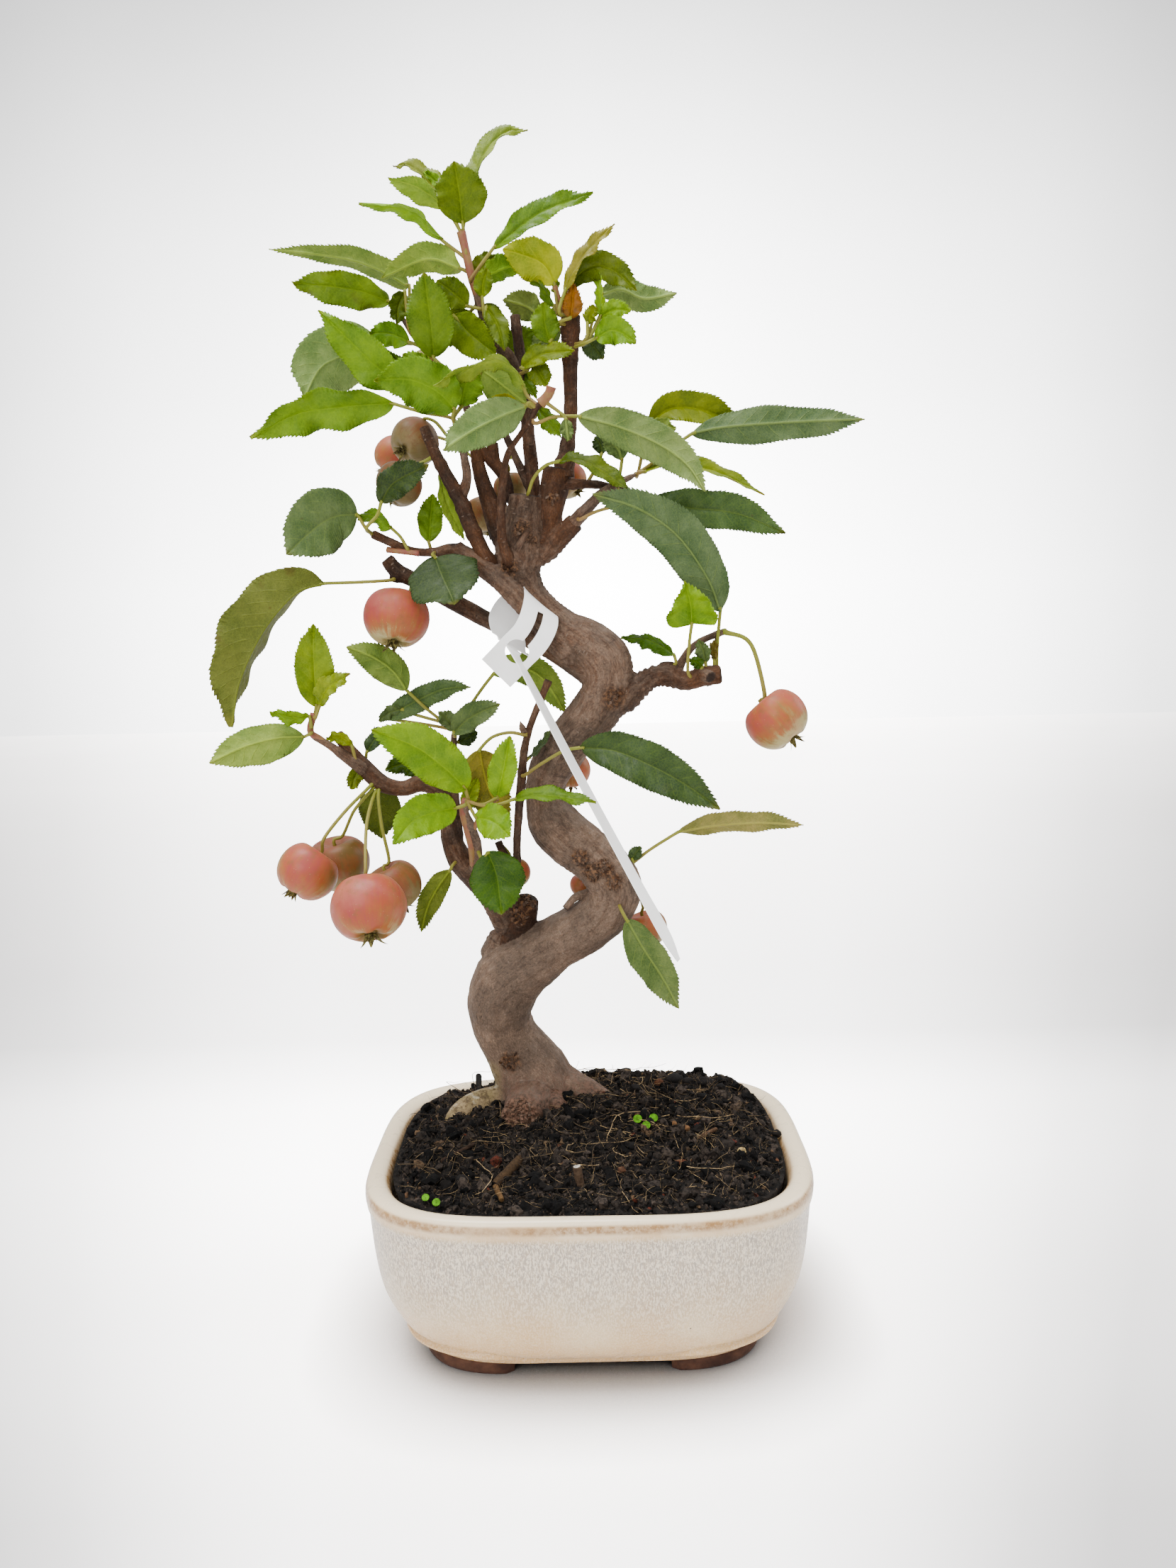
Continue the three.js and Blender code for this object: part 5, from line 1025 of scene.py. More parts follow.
def stemLine(points, step):
    places = np.array([[*seen(a, u, d), r * nearness(d) * mm] for a, u, d, r in points])
    _, run = spline(places, 8)
    count = max(int(run / (step * mm)), 4)
    return spline(places, count)


def barkFinish():
    bark = Finish("crabappleBark", Roughness=0.8, Specular_IOR_Level=0.16)
    place = bark.place
    grain = bark.attribute("grain", "Vector")
    tone = bark.attribute("tone")
    cut = bark.attribute("cut")
    long = stretch(grain, 1, 1, 0.28)
    ring = stretch(grain, 0.22, 0.22, 1)
    streak = cloud(long, 480, 4, 0.6)
    patch = cloud(place, 55, 5, 0.6)
    fine = cloud(place, 900, 4, 0.65)
    pale = mix(fade(patch, 0.32, 0.68), "4f4238", "645346")
    red = mix(fade(patch, 0.35, 0.7), "23150c", "482d1a")
    blendTone = fade(plus(tone, fade(streak, 0.3, 0.7, -0.18, 0.18)), 0.05, 0.95)
    base = mix(blendTone, pale, red)
    base = mix(fade(streak, 0.5, 0.74, 0, 0.26), base, "2a1f19")
    speckle = cloud(stretch(grain, 1, 1, 0.5), 1500, 3, 0.7)
    lighter = shaded(base, 2.1, 2.0, 1.9)
    base = mix(fade(speckle, 0.42, 0.68, 0.0, 0.55), base, lighter)
    fleck = soft(stretch(grain, 1, 1, 0.7), 1500, 3, 0.54, 0.66, 0.0, 0.65, rough=0.7)
    base = mix(fleck, base, shaded(base, 0.4, 0.38, 0.36))
    # small raised pores run round the stem
    pore = cells(stretch(grain, 0.55, 0.55, 1.4), 300)
    poreMask = times(fade(pore, 0.2, 0.1), soft(place, 120, 2, 0.45, 0.6))
    base = mix(times(poreMask, 0.55), base, "77675a")
    wrinkle = soft(ring, 420, 4, 0.54, 0.68, 0.0, 0.4, rough=0.65, twist=0.4)
    base = mix(wrinkle, base, shaded(base, 0.45, 0.42, 0.4))
    crack = soft(ring, 260, 4, 0.34, 0.44, 1.0, 0.0, rough=0.7, twist=0.6)
    crack = times(crack, soft(place, 40, 3, 0.5, 0.64))
    base = mix(times(crack, 0.6), base, "150f0c")
    # pale dust and painted top light on faces that look up, most on the pale bark
    up = split(node(bark.tree, "NewGeometry").outputs["Normal"])[2]
    dustAndTopLight = times(fade(up, 0.15, 0.9), soft(place, 170, 4, 0.4, 0.7, 0.05, 0.5))
    dustAndTopLight = times(dustAndTopLight, fade(tone, 0.9, 0.2, 0.15, 1.0))
    base = mix(dustAndTopLight, base, "75685d")
    # old rubbed patches, and the scabby rims of wounds
    rub = soft(place, 95, 5, 0.54, 0.62, 0.0, 0.6, rough=0.7)
    base = mix(times(rub, fade(tone, 0.7, 0.3)), base, shaded(base, 1.5, 1.48, 1.45))
    rough = cloud(place, 620, 4, 0.7)
    scab = times(bark.attribute("scab"), fade(rough, 0.36, 0.56, 0.25, 1.0))
    base = mix(times(scab, 0.68), base, mix(fade(rough, 0.42, 0.62), "2c1c13", "7d5a3d"))
    height = split(place)[2]
    fromMiddle = calc("SUBTRACT", split(place)[0], float(potCentre[0]))
    # moss and a pale crust on the root at the left, a pinkish flush low on the trunk
    mossy = times(fade(height, 0.112, 0.102), fade(fromMiddle, -0.04, -0.048))
    moss = times(mossy, soft(place, 75, 4, 0.38, 0.6, 0.15, 0.7))
    low = times(fade(height, 0.112, 0.094), fade(fromMiddle, -0.048, -0.04))
    base = mix(times(low, fade(rough, 0.42, 0.6, 0.0, 0.7)), base, "6a4f42")
    base = mix(times(mossy, fade(rough, 0.36, 0.6, 0.45, 0.95)), base, "94805f")
    base = mix(moss, base, "655a36")
    base = mix(times(mossy, soft(place, 330, 5, 0.5, 0.6, 0, 0.7, rough=0.75)), base, "35291c")
    base = mix(times(mossy, soft(place, 190, 4, 0.56, 0.66, 0, 0.7)), base, "a39b86")
    rings = cloud(place, 600, 2)
    wound = mix(rings, "120d0a", "33271f")
    base = mix(cut, base, wound)
    relief = bump(streak, 0.45, 0.0008)
    relief = bump(cloud(long, 1300, 4, 0.7), 0.5, 0.0004, relief)
    relief = bump(cloud(ring, 330, 3), 0.4, 0.0006, relief)
    relief = bump(poreMask, 0.6, 0.0004, relief)
    relief = bump(scab, 0.8, 0.0007, relief)
    return bark.made(base, bump(fine, 0.45, 0.0004, relief), fade(fine, 0.3, 0.7, 0.66, 0.9))


bark = barkFinish()


def tube(build, line, sides, end, tone, start=0.0, swell=0.0, seed=0):
    centres, radii = line[:, :3], line[:, 3]
    rows = len(centres)
    along, across, lift = frames(centres)
    run = runAlong(centres)
    turns = circle(sides)
    rough = np.array([[noise.noise(Vector((math.cos(t) * 1.3, math.sin(t) * 1.3, s * 160 + seed * 9.1)))
                       for t in turns] for s in run])
    radius = radii[:, None] * (1 + swell * rough)
    if end == "tip":
        radius[-1] *= 0.35
        radius[-2] *= 0.8
    ring = hoops(centres, across, lift, turns, radius)
    points = ring.reshape(-1, 3)
    grain = np.stack([np.cos(turns) * radius, np.sin(turns) * radius,
                      np.repeat(run[:, None] + start, sides, 1)], -1).reshape(-1, 3)
    tones = np.repeat(np.linspace(*tone, rows), sides)
    cut = np.zeros(len(points))
    faces = gridFaces(rows, sides, closed=True)
    extra = [centres[0], centres[-1]]
    if end == "cut":
        inner = centres[-1] + (ring[-1] - centres[-1]) * 0.86 + along[-1] * 0.25 * mm
        points = np.vstack([points, inner])
        grain = np.vstack([grain, grain[-sides:]])
        tones = np.append(tones, [tone[1]] * sides)
        cut = np.append(cut, np.ones(sides))
        cut[-2 * sides:-sides] = 0.3
        faces += gridFaces(2, sides, closed=True, start=(rows - 1) * sides)
        extra[1] = centres[-1] + along[-1] * 0.1 * mm
    outer = len(points) - sides
    points = np.vstack([points, extra])
    grain = np.vstack([grain, [[0, 0, start], [0, 0, run[-1] + start]]])
    tones = np.append(tones, tone)
    cut = np.append(cut, [0.0, 1.0 if end == "cut" else 0.0])
    for c in range(sides):
        d = (c + 1) % sides
        faces += [[outer + c, outer + d, len(points) - 1], [d, c, len(points) - 2]]
    build.add(points, faces, grain=grain, tone=tones, cut=cut)


def makeOldWood():
    raw = Build()
    lines, known = [], []   # known: the stem's number, its tone and the length of the way at each point
    for index, (foot, top, end, points) in enumerate(oldWood["stems"].values()):
        line, _ = stemLine(points, oldWood["steps"])
        tube(raw, line, oldWood["sides"], "cut" if end == "cut" else "tip", (foot, top), seed=index)
        lines.append(line)
        known.append((np.full(len(line), index), np.linspace(foot, top, len(line)), runAlong(line)))
    shape = raw.finish("oldWoodShape")
    shape.data.attributes.remove(shape.data.attributes["grain"])
    remesh = shape.modifiers.new("join", "REMESH")
    remesh.mode = "VOXEL"
    remesh.voxel_size = oldWood["voxel"]
    soften = shape.modifiers.new("soften", "SMOOTH")
    soften.factor = 0.5
    soften.iterations = 5
    mesh = finishedMesh(shape)
    mesh.name = "oldWood"
    discard(shape)
    points, normals = readPoints(mesh), readPoints(mesh, "normal")

    # straightened coordinates: where each spot lies round and along the nearest stem
    sampled = np.vstack(lines)
    owner, toneList, runs = (np.concatenate(column) for column in zip(*known))
    alongs, acrosses, lifts = (np.vstack(part) for part in zip(*(frames(line[:, :3]) for line in lines)))
    nearestIndex = np.empty(len(points), int)
    for start in range(0, len(points), 4000):
        part = points[start:start + 4000]
        away = np.linalg.norm(part[:, None] - sampled[None, :, :3], axis=2) - sampled[None, :, 3]
        nearestIndex[start:start + 4000] = away.argmin(1)
    offset = points - sampled[nearestIndex, :3]
    x, y, z = ((offset * way[nearestIndex]).sum(1) for way in (acrosses, lifts, alongs))
    grain = np.stack([x, y, runs[nearestIndex] + z + owner[nearestIndex] * 0.031], 1)
    tone = toneList[nearestIndex]
    size = sampled[nearestIndex, 3]

    cut = np.zeros(len(points))
    for (_, _, end, _), line in zip(oldWood["stems"].values(), lines):
        if end != "cut":
            continue
        tip, radius = line[-1, :3], line[-1, 3]
        way = unit(line[-1, :3] - line[-3, :3])
        away = points - tip
        high = (away * way).sum(1)
        side = np.linalg.norm(away - high[:, None] * way, axis=1)
        mask = smoothstep(-1.4 * mm, -0.5 * mm, high) * smoothstep(radius * 1.15, radius * 0.95, side)
        mask *= (high < 3 * mm) * smoothstep(0.35, 0.8, (normals * way).sum(1))
        cut = np.maximum(cut, mask)

    scab = np.zeros(len(points))
    for a, u, d, reach, _ in oldWood["scars"]:
        away = np.linalg.norm(points - seen(a, u, d), axis=1) / (reach * mm)
        scab = np.maximum(scab, smoothstep(1.2, 0.55, away))
    push = np.empty(len(points))
    for i, (g, p, r) in enumerate(zip(grain, points, size)):
        big = noise.noise(Vector(p * 55)) * 0.9 + noise.noise(Vector(p * 120)) * 0.4
        ridge = noise.fractal(Vector((g[0] * 260, g[1] * 260, g[2] * 45)), 0.8, 2.0, 3)
        knob = noise.noise(Vector((g[0] * 330, g[1] * 330, g[2] * 420)))
        share = min(r / (11 * mm), 1.2)
        if scab[i] > 0.05:
            ridge += 1.3 * scab[i] * noise.fractal(Vector(p * 520), 0.7, 2.0, 3)
        push[i] = big * 0.75 * share + ridge * (0.06 + 0.4 * share) + max(knob, 0) * 0.3 * min(share + 0.2, 1)
    for a, u, d, reach, high in oldWood["wrinkles"]:
        away = np.linalg.norm(points - seen(a, u, d), axis=1) / (reach * mm * 1.6)
        near = np.exp(-away ** 2)
        wobble = np.array([noise.noise(Vector(p * 90)) for p in points[near > 0.02]])
        wave = np.zeros(len(points))
        wave[near > 0.02] = np.sin(grain[near > 0.02, 2] / mm * 2.5 + wobble * 5)
        push += near * wave * high
    for a, u, d, reach, high in oldWood["scars"]:
        away = np.linalg.norm(points - seen(a, u, d), axis=1) / (reach * mm)
        push += high * (np.exp(-((away - 0.75) / 0.22) ** 2) - 0.8 * np.exp(-(away / 0.45) ** 2))
    points += normals * (push * (1 - 0.8 * cut))[:, None] * mm
    for key, values in (("grain", grain), ("tone", tone), ("cut", cut), ("scab", scab)):
        if key in mesh.attributes:
            mesh.attributes.remove(mesh.attributes[key])
        addLayer(mesh, key, values)
    mesh.materials.clear()
    mesh.materials.append(bark)
    mesh.polygons.foreach_set("use_smooth", [True] * len(mesh.polygons))
    movePoints(mesh, points)
    ride(newObject("oldWood", mesh), "old_bark", "trunk", "lower_left_branch", "right_stub_branch",
         "tag_limb", "dark_limb")

    # loose flakes lie on the wounds
    rng = random.Random(8)
    flakes = Build()
    for index in rng.sample(np.nonzero(scab > 0.7)[0].tolist(), oldWood["flakes"]):
        normal = normals[index]
        side = unit(np.cross(normal, [rng.uniform(-1, 1), rng.uniform(-1, 1), 0.4]))
        turns = circle(7)
        reach = np.array([rng.uniform(0.5, 1.0) for _ in turns])[:, None] * rng.uniform(0.6, 1.7) * mm
        flat = (side * np.cos(turns)[:, None] + 0.6 * np.cross(normal, side) * np.sin(turns)[:, None]) * reach
        flat += normal * 0.5 * np.cos(turns + rng.uniform(0, 6))[:, None] * reach
        shape = np.vstack([points[index] + flat + normal * 0.4 * mm,
                           points[index] + flat * 0.7 - normal * 0.6 * mm])
        faces = [[0, 1, 2, 3, 4, 5, 6], [13, 12, 11, 10, 9, 8, 7]]
        faces += [[k, k + 7, (k + 1) % 7 + 7, (k + 1) % 7] for k in range(7)]
        flakes.add(shape, faces, grain=shape, tone=np.full(14, rng.uniform(0.1, 1)),
                   scab=np.full(14, rng.uniform(0.1, 1)))
    ride(flakes.finish("barkFlakes", [bark], smooth=False), "old_bark")
    print("old wood made:", len(mesh.polygons), "faces")


def makeYoungWood():
    build = Build()
    for index, (foot, top, end, points) in enumerate(youngWood["stems"].values()):
        line, run = stemLine(points, youngWood["steps"])
        steps = np.linspace(0, run, len(line))
        rng = random.Random(index * 13 + 5)
        at = rng.uniform(4, 9) * mm
        while at < run:   # leaf scars and resting buds thicken the stem
            line[:, 3] *= 1 + rng.uniform(0.06, 0.16) * np.exp(-((steps - at) / (1.3 * mm)) ** 2)
            at += rng.uniform(7, 14) * mm
        tube(build, line, youngWood["sides"], end, (foot, top), start=0.6 + index * 0.057, swell=0.05,
             seed=index)
    piece = build.finish("youngWood", [bark])
    ride(piece, "young_bark", "crown_left_branch", "front_twig", "middle_leader", "right_leader",
         "middle_twig")
    print("young wood made:", len(piece.data.polygons), "faces")


makeOldWood()
makeYoungWood()

# leaves

leafLook = {
    "thick": 0.3, "toothPitch": 1.65, "toothSize": 0.66, "veinGap": 6.2, "quilt": 0.42, "stalkRadius": 0.76,
    # upper face, underside
    "tones": {
        "lime": ("5f8201", "6f8a1c"), "bright": ("567704", "5d8016"), "deep": ("304902", "536224"),
        "green": ("2c480a", "566a34"), "olive": ("505d01", "6b6428"), "dark": ("2a3b20", "445128"),
        "teal": ("2f402a", "4a5d46"), "grey": ("3f4f34", "596c46"), "sage": ("657b26", "607534"),
        "yellow": ("4c5e00", "6a7418"), "dry": ("3c2814", "5a4a30"), "redtip": ("5e5c18", "5f7028"),
        "amber": ("7a3f0a", "7c5c2a"), "fawn": ("4a5c2e", "75724a"), "amberLime": ("7d8400", "7d7a1c"),
    },
}

# For each CAD node its leaves: how many points lie on the stalk, all points along stalk and midrib as
# across, up, depth at the base and at the tip, width, roll (0 shows the upper face, 180 the underside),
# fold, tone, brightness, and what is special about it.
leaves = {
    "apex_leaves": [
        (1, [-45, 480, -46, 492, -47, 504, -49, 517.5], -2, -10, 22, 0, 12, "yellow", 1.05, {"curl": 2}),
        (1, [-46.8, 488, -53, 499, -65, 507, -77.5, 511], -3, -16, 12, 40, 15, "sage", 1.7),
        (1, [-47, 488, -53, 503, -57, 509, -62, 513.5], 2, 6, 6, 20, 10, "bright", 1.25),
        (1, [-42.5, 468, -41, 470, -37, 475, -32, 478.5], 6, 8, 10, 10, 8, "olive", 0.95),
        (1, [-42, 467, -38, 470, -33, 474.5, -26, 476], 8, 10, 8, 20, 8, "deep", 0.95),
        (1, [-40, 459, -44, 455, -50, 449, -56, 441], 4, 6, 14, 0, 10, "yellow", 1.7),
        (1, [-38, 452, -40, 457.5, -34.5, 452, -31.5, 443.5], 8, 10, 10, 0, 10, "yellow", 0.85),
        (1, [-47, 488, -52, 500, -59, 509, -68, 516, -75, 516],
         3, 10, 10, -50, 25, "sage", 1, {"wave": 1.5, "scorch": 1.0}),
        (1, [-44.5, 477, -55, 485, -68, 497.5, -90.5, 501], -1, -14, 10, 68, 20, "bright", 1.25),
        (1, [-43, 471, -47, 473, -62, 477.5, -82, 470], 1, 14, 13, 200, 15, "sage", 1.5),
        (1, [-46.5, 487, -43, 503, -36, 520, -27, 528.5, -17, 529.5], 1, 8, 11, 50, 20, "sage", 0.85),
        (1, [-43, 469, -33, 481.5, -13, 495.5, 10.5, 503.5], -2, -12, 12, 38, 20, "bright", 0.8),
        (1, [-41.5, 464, -38, 469.5, -29, 473, -19.5, 475.5],
         4, 9, 11, 150, 10, "bright", 1.1, {"wave": 1.4}),
        (1, [-38, 454, -38.5, 461, -38, 467, -36, 473], -3, -5, 8, 0, 10, "yellow", 1.3),
        (1, [-37.5, 452, -37, 457, -32.5, 450, -29.5, 438.5], -5, -9, 9, 10, 10, "yellow", 0.75),
        (2, [-37, 444, -44, 447.5, -51, 453.5, -44.5, 446, -33, 436.5], -1, -4, 17, -15, 10, "yellow", 1.3),
        (1, [-39, 456, -45, 457.5, -51, 463, -58, 468.5], -2, -4, 13, 15, 10, "yellow", 0.95),
    ],
    "crown_left_leaves": [
        (1, [-71, 450, -70, 466, -84, 474, -100, 479, -130, 483],
         18, 26, 12, 205, 14, "green", 1.25, {"shape": (0.5, 1.15)}),
        (1, [-74, 455, -79, 460, -93, 465, -121, 469],
         8, 0, 16, 25, 14, "lime", 0.8, {"scorch": 0.45, "wave": 1.6}),
        (1, [-56, 431, -60.5, 436, -61, 448, -63.5, 472], -14, -24, 19, 0, 8, "lime", 0.55),
        (1, [-71, 449, -72, 464, -75, 458, -76, 450.5], 3, 1, 9, 10, 8, "yellow", 0.65),
        (1, [-66, 442, -84, 443, -98, 438.5, -110, 433, -118, 420], 16, 4, 28, 185, 6, "grey", 1.55),
        (1, [-63, 438, -76, 425.5, -87, 434, -99, 446, -110, 457],
         0, -8, 19, 12, 12, "bright", 1.1, {"wave": 1.6, "shape": (0.5, 1.0)}),
        (1, [-56, 430, -66, 427.5, -76, 433, -86, 441], -2, -5, 9, 20, 10, "deep", 1),
        (1, [-66, 441, -71, 443, -79, 446.5, -88, 447], 10, 14, 11, 10, 8, "bright", 1.2),
        (1, [-56, 430, -60, 428, -66, 432, -74, 438], -8, -12, 11, 10, 10, "bright", 1),
        (1, [-49, 420, -46, 421.5, -44, 426, -41, 431], 7, 6, 8, 10, 10, "bright", 0.95),
    ],
    "crown_right_leaves": [
        (1, [-5.3, 454, -7, 466, -13, 475, -29, 481], 0, -6, 19, 15, 10, "amberLime", 1.2, {"scorch": 0.2}),
        (1, [-5.3, 454, -2.5, 463, 3, 474, 11, 483, 19.5, 490.5],
         -6, -10, 9, 50, 18, "redtip", 1.25, {"scorch": 0.3}),
        (1, [-4.5, 455, 0, 464, 4, 470, 12, 473.3, 21, 469.5, 28.5, 462.5],
         2, -8, 12, 8, 12, "yellow", 0.75, {"wave": 1.2}),
        (1, [-5.5, 453, -7.5, 456.5, -12, 464, -19, 473], 2, 6, 8, 60, 15, "bright", 0.7),
        (1, [-5.3, 455, -6, 461, -7, 467, -8, 472], 4, 4, 5, 40, 10, "sage", 1.3),
        (1, [-5, 450, -0.5, 451.5, 0.6, 458, 1, 467],
         -4, -5, 9, 0, 18, "amber", 1, {"scorch": 0.6, "shape": (0.5, 1.2)}),
        (1, [-5, 449, -9.5, 441.5, -11.5, 449, -12, 458.5], -2, -6, 12, 0, 8, "lime", 0.55),
        (1, [-5, 450, -14, 453, -20, 457, -29.5, 459.8], 14, 20, 12, 190, 8, "dark", 1.45),
        (1, [-3, 448, -5, 447, -11, 444, -17, 438.5], 15, 18, 10, 185, 8, "grey", 1.2),
    ],
    "crown_spur_leaves": [
        (2, [6, 442, 10, 453, 13, 461, 22, 463, 32, 459, 46, 461],
         8, 12, 12, 165, 15, "grey", 1.35, {"twist": 30}),
        (1, [6, 441, 12.5, 452.5, 13, 461, 11.5, 471], 0, -3, 8, 55, 15, "lime", 1.3),
        (1, [6, 441, 12.5, 451.5, 18, 454.5, 26, 454.5], -4, -10, 8, 10, 8, "lime", 1),
        (1, [6, 442, 7, 449, 8.5, 453, 10, 457], -5, -7, 6, 15, 8, "olive", 1.25),
        (1, [6, 441, 10.5, 443, 18.5, 446, 28, 441], -6, -12, 12, 5, 8, "lime", 0.95, {"wave": 1.6}),
        (1, [5.5, 441, 6.5, 444, 9, 440, 13.5, 434], 4, 2, 10, 0, 8, "dark", 1),
    ],
    "leader_leaves": [
        (1, [-19.5, 430, -22.5, 431, -14, 436.5, -5, 437.6, 1, 438], 0, -8, 10, 28, 12, "olive", 1.3),
        (1, [-22, 437, -30.5, 437.5, -24, 442, -16, 447], 16, 18, 12, 0, 8, "lime", 0.6),
        (1, [-22.5, 434, -28, 430.5, -21.5, 425.5, -16, 418.5], 12, 2, 8, 15, 8, "lime", 0.6),
        (1, [-19, 431, -17, 432.5, -14, 428, -11.3, 423], 1, -2, 10, 5, 8, "yellow", 1.0),
    ],
    "front_twig_leaves": [
        (1, [-20, 419, -21.5, 422.5, -26, 430.5, -36, 434.5, -61, 424], -12, -24, 15, 60, 15, "sage", 1.3),
        (1, [-19.3, 416, -21, 414.5, -32, 410.5, -45, 404.5, -58, 396.5], -16, -50, 17, 180, 8, "grey", 1.25),
    ],
    "right_arching_leaf": [
        (2, [-16.5, 407.3, -9, 409.8, 2, 410, 20, 405, 38, 397, 50, 388, 57.5, 376.5],
         -14, -32, 17, 175, 10, "grey", 1.05),
        (1, [-16.8, 410, -15.5, 414, -11, 408, -5.5, 401], -10, -8, 9, 30, 10, "bright", 0.7),
        (1, [-5, 411, -3.5, 409, -3, 404, -2.5, 399.5], -16, -16, 5.5, 180, 5, "grey", 0.9),
    ],
    "left_spur_leaves": [
        (1, [-53, 410, -52, 414, -60, 422, -72, 427, -87, 427],
         -14, -27, 23, 12, 8, "bright", 0.95, {"wave": 1.9, "shape": (0.45, 0.85)}),
        (1, [-52.5, 410, -49, 415, -47, 424, -43, 433], -10, -14, 15, -15, 10, "bright", 1.05, {"wave": 1.6}),
        (2, [-53, 410, -66, 413, -79, 417, -100, 416, -122, 413, -142, 403],
         -8, -20, 19, 25, 14, "bright", 1, {"scorch": 0.3, "wave": 2.4}),
        (2, [-52.5, 410, -46, 420, -39.5, 430.5, -31, 424, -20.5, 415.5], -2, 0, 17, 185, 8, "sage", 1.2),
        (1, [-20, 415, -24.5, 415.5, -31, 418.5, -38, 413.5], -13, -15, 5, 20, 15, "amberLime", 0.9),
    ],
    "right_spur_leaves": [
        (3, [28, 385, 37, 391, 45, 397, 52, 401.5, 68, 404, 100, 405.5, 128, 406],
         -7, -12, 16, 200, 12, "teal", 0.95),
        (1, [27.5, 385, 30, 385.5, 42, 388.5, 60, 385.8, 84, 374.5], -8, -3, 12, 65, 15, "olive", 1.6),
        (2, [5, 380.5, 9, 387, 12, 393.5, 11.5, 397.5, 9, 401], 0, 0, 7, 0, 10, "dark", 1),
        (1, [28, 385, 32, 403, 29.5, 406, 26, 409], 0, -2, 5, 30, 10, "dry", 1, {"scorch": 1.0}),
        (1, [28, 385, 32, 402, 38, 405, 45, 403.5], -3, -5, 7, 160, 15, "sage", 1),
        (1, [28, 385, 33, 406.5, 43, 412.5, 57, 411.5, 76, 403.5], 2, 2, 14, 10, 20, "olive", 1.35),
    ],
    "lobed_leaf": [
        (2, [18.6, 379.5, 20, 385, 21, 391, 19, 396, 13, 402], -3, -5, 9, 180, 5, "grey", 1),
    ],
    "arched_leaf": [
        (3, [-20.5, 378, -18, 384, -13, 389, -7, 390.8, 2, 391.5, 12, 386.5, 24, 377.5],
         -7, -16, 12, 60, 15, "yellow", 0.85),
    ],
    "dark_right_leaf": [
        (3, [2, 365.5, 10, 369, 20, 371, 31, 371.3, 50, 369.5, 72, 366.5, 93, 357.5],
         -9, -9, 17, 10, 15, "dark", 1.6),
    ],
    "tall_right_leaf": [
        (2, [62, 300.5, 62.5, 311, 63.8, 324, 58, 339, 45, 357.5, 28, 369.5, 7.5, 376.5],
         -4, -28, 21, 180, 8, "teal", 0.95),
        (1, [57.5, 297, 57, 301, 56, 306, 54, 311.5], -6, -8, 7, 20, 10, "grey", 1.25),
        (1, [55, 297.5, 55.5, 299, 53, 301.5, 49.5, 302.5], -7, -9, 5, 10, 8, "green", 1),
        (1, [61, 298, 61, 302, 60.5, 307, 61.5, 312], -5, -6, 4, 30, 10, "dry", 1, {"scorch": 1.0}),
    ],
    "folded_lime_leaf": [
        (2, [49, 297.5, 49.8, 310, 51, 318.5, 50.5, 327, 48, 337.5],
         -10, -16, 25, 0, 30, "lime", 1, {"shape": (0.3, 1.2), "wave": 2.2}),
    ],
    "stub_left_leaf": [
        (1, [43.5, 301, 43, 304.5, 37, 309, 29, 312.3, 19, 312.5], -3, 4, 9, 40, 12, "green", 1.35),
    ],
    "big_dark_leaf": [
        (3, [-25.5, 252, -18, 257, -8, 262.5, 0, 264, 14, 262.5, 28, 257, 46, 247, 63, 234.5],
         -12, -32, 21, 0, 10, "dark", 1.05),
    ],
    "pointing_leaf": [
        (3, [22, 210, 30, 216, 38, 221, 44, 224.5, 60, 227, 80, 228, 101, 226.5],
         4, -6, 11, 155, 12, "fawn", 1.05),
        (1, [22, 208, 22.5, 212, 24, 215, 26.5, 218], 3, 2, 6, 0, 8, "teal", 1),
    ],
    "drooping_leaf": [
        (1, [17, 189, 19.5, 184, 27, 170, 35, 157, 43, 141.5], -8, -12, 18, 200, 10, "grey", 0.8),
    ],
    "left_twig_leaves": [
        (2, [-93, 363.5, -88, 369, -86, 374.5, -80, 383, -64.5, 390.5], -15, -26, 14, 10, 10, "dark", 0.8),
        (1, [-93.5, 364, -96.5, 369.5, -106, 369, -115, 364.5, -129, 353], -8, -26, 28, 5, 6, "grey", 1.35),
        (2, [-75, 354, -78, 359.5, -82, 363.5, -89, 368.5, -98, 369], -3, -8, 9, 50, 12, "bright", 1),
    ],
    "round_dark_leaf": [
        (1, [-64, 351.5, -63, 350.5, -60.5, 343, -57.5, 336, -55, 329.5], -6, -22, 32, 5, 6, "teal", 0.8),
    ],
    "upright_bright_leaf": [
        (1, [-64.5, 353, -65.5, 357, -64.5, 366, -63, 378], 3, 4, 11, 0, 8, "lime", 0.55),
    ],
    "hanging_strip_leaf": [
        (1, [-57.3, 389.5, -59.5, 386, -57, 374, -52.5, 364, -49.5, 357.5], 3, 11, 10, 50, 10, "sage", 1.5),
    ],
    "long_curved_leaf": [
        (2, [-83, 340.6, -98, 340, -113, 339.8, -126, 335.5, -141, 319.5, -153, 297, -157.5, 276.5],
         -2, -20, 33, 222, 43, "dark", 1.05, {"scorch": 0.5}),
    ],
    "left_spur_tip_leaves": [
        (1, [-119.5, 281, -118.8, 285, -119, 297, -119, 310, -118.5, 322],
         -9, -14, 17.5, 0, 8, "yellow", 1.55),
        (1, [-119.5, 280, -117.5, 285, -114, 293, -103, 299.5], -12, -20, 9, 30, 10, "olive", 1.7),
        (1, [-121.5, 276, -122, 280.5, -130, 280.3, -140, 283], -11, -20, 8, 40, 10, "lime", 1),
        (1, [-102, 259, -103.5, 267, -109, 271, -115, 270.5], -8, -12, 6, 30, 10, "olive", 1.6),
        (1, [-121.8, 273, -125, 271.5, -137, 271, -152, 267.5, -168.5, 260.5],
         -12, -28, 19, 165, 10, "green", 1.4),
    ],
    "behind_fruit_leaf": [
        (1, [-93, 249, -93, 247, -92.5, 237, -92, 224.5], 6, 14, 20, 180, 8, "deep", 0.65),
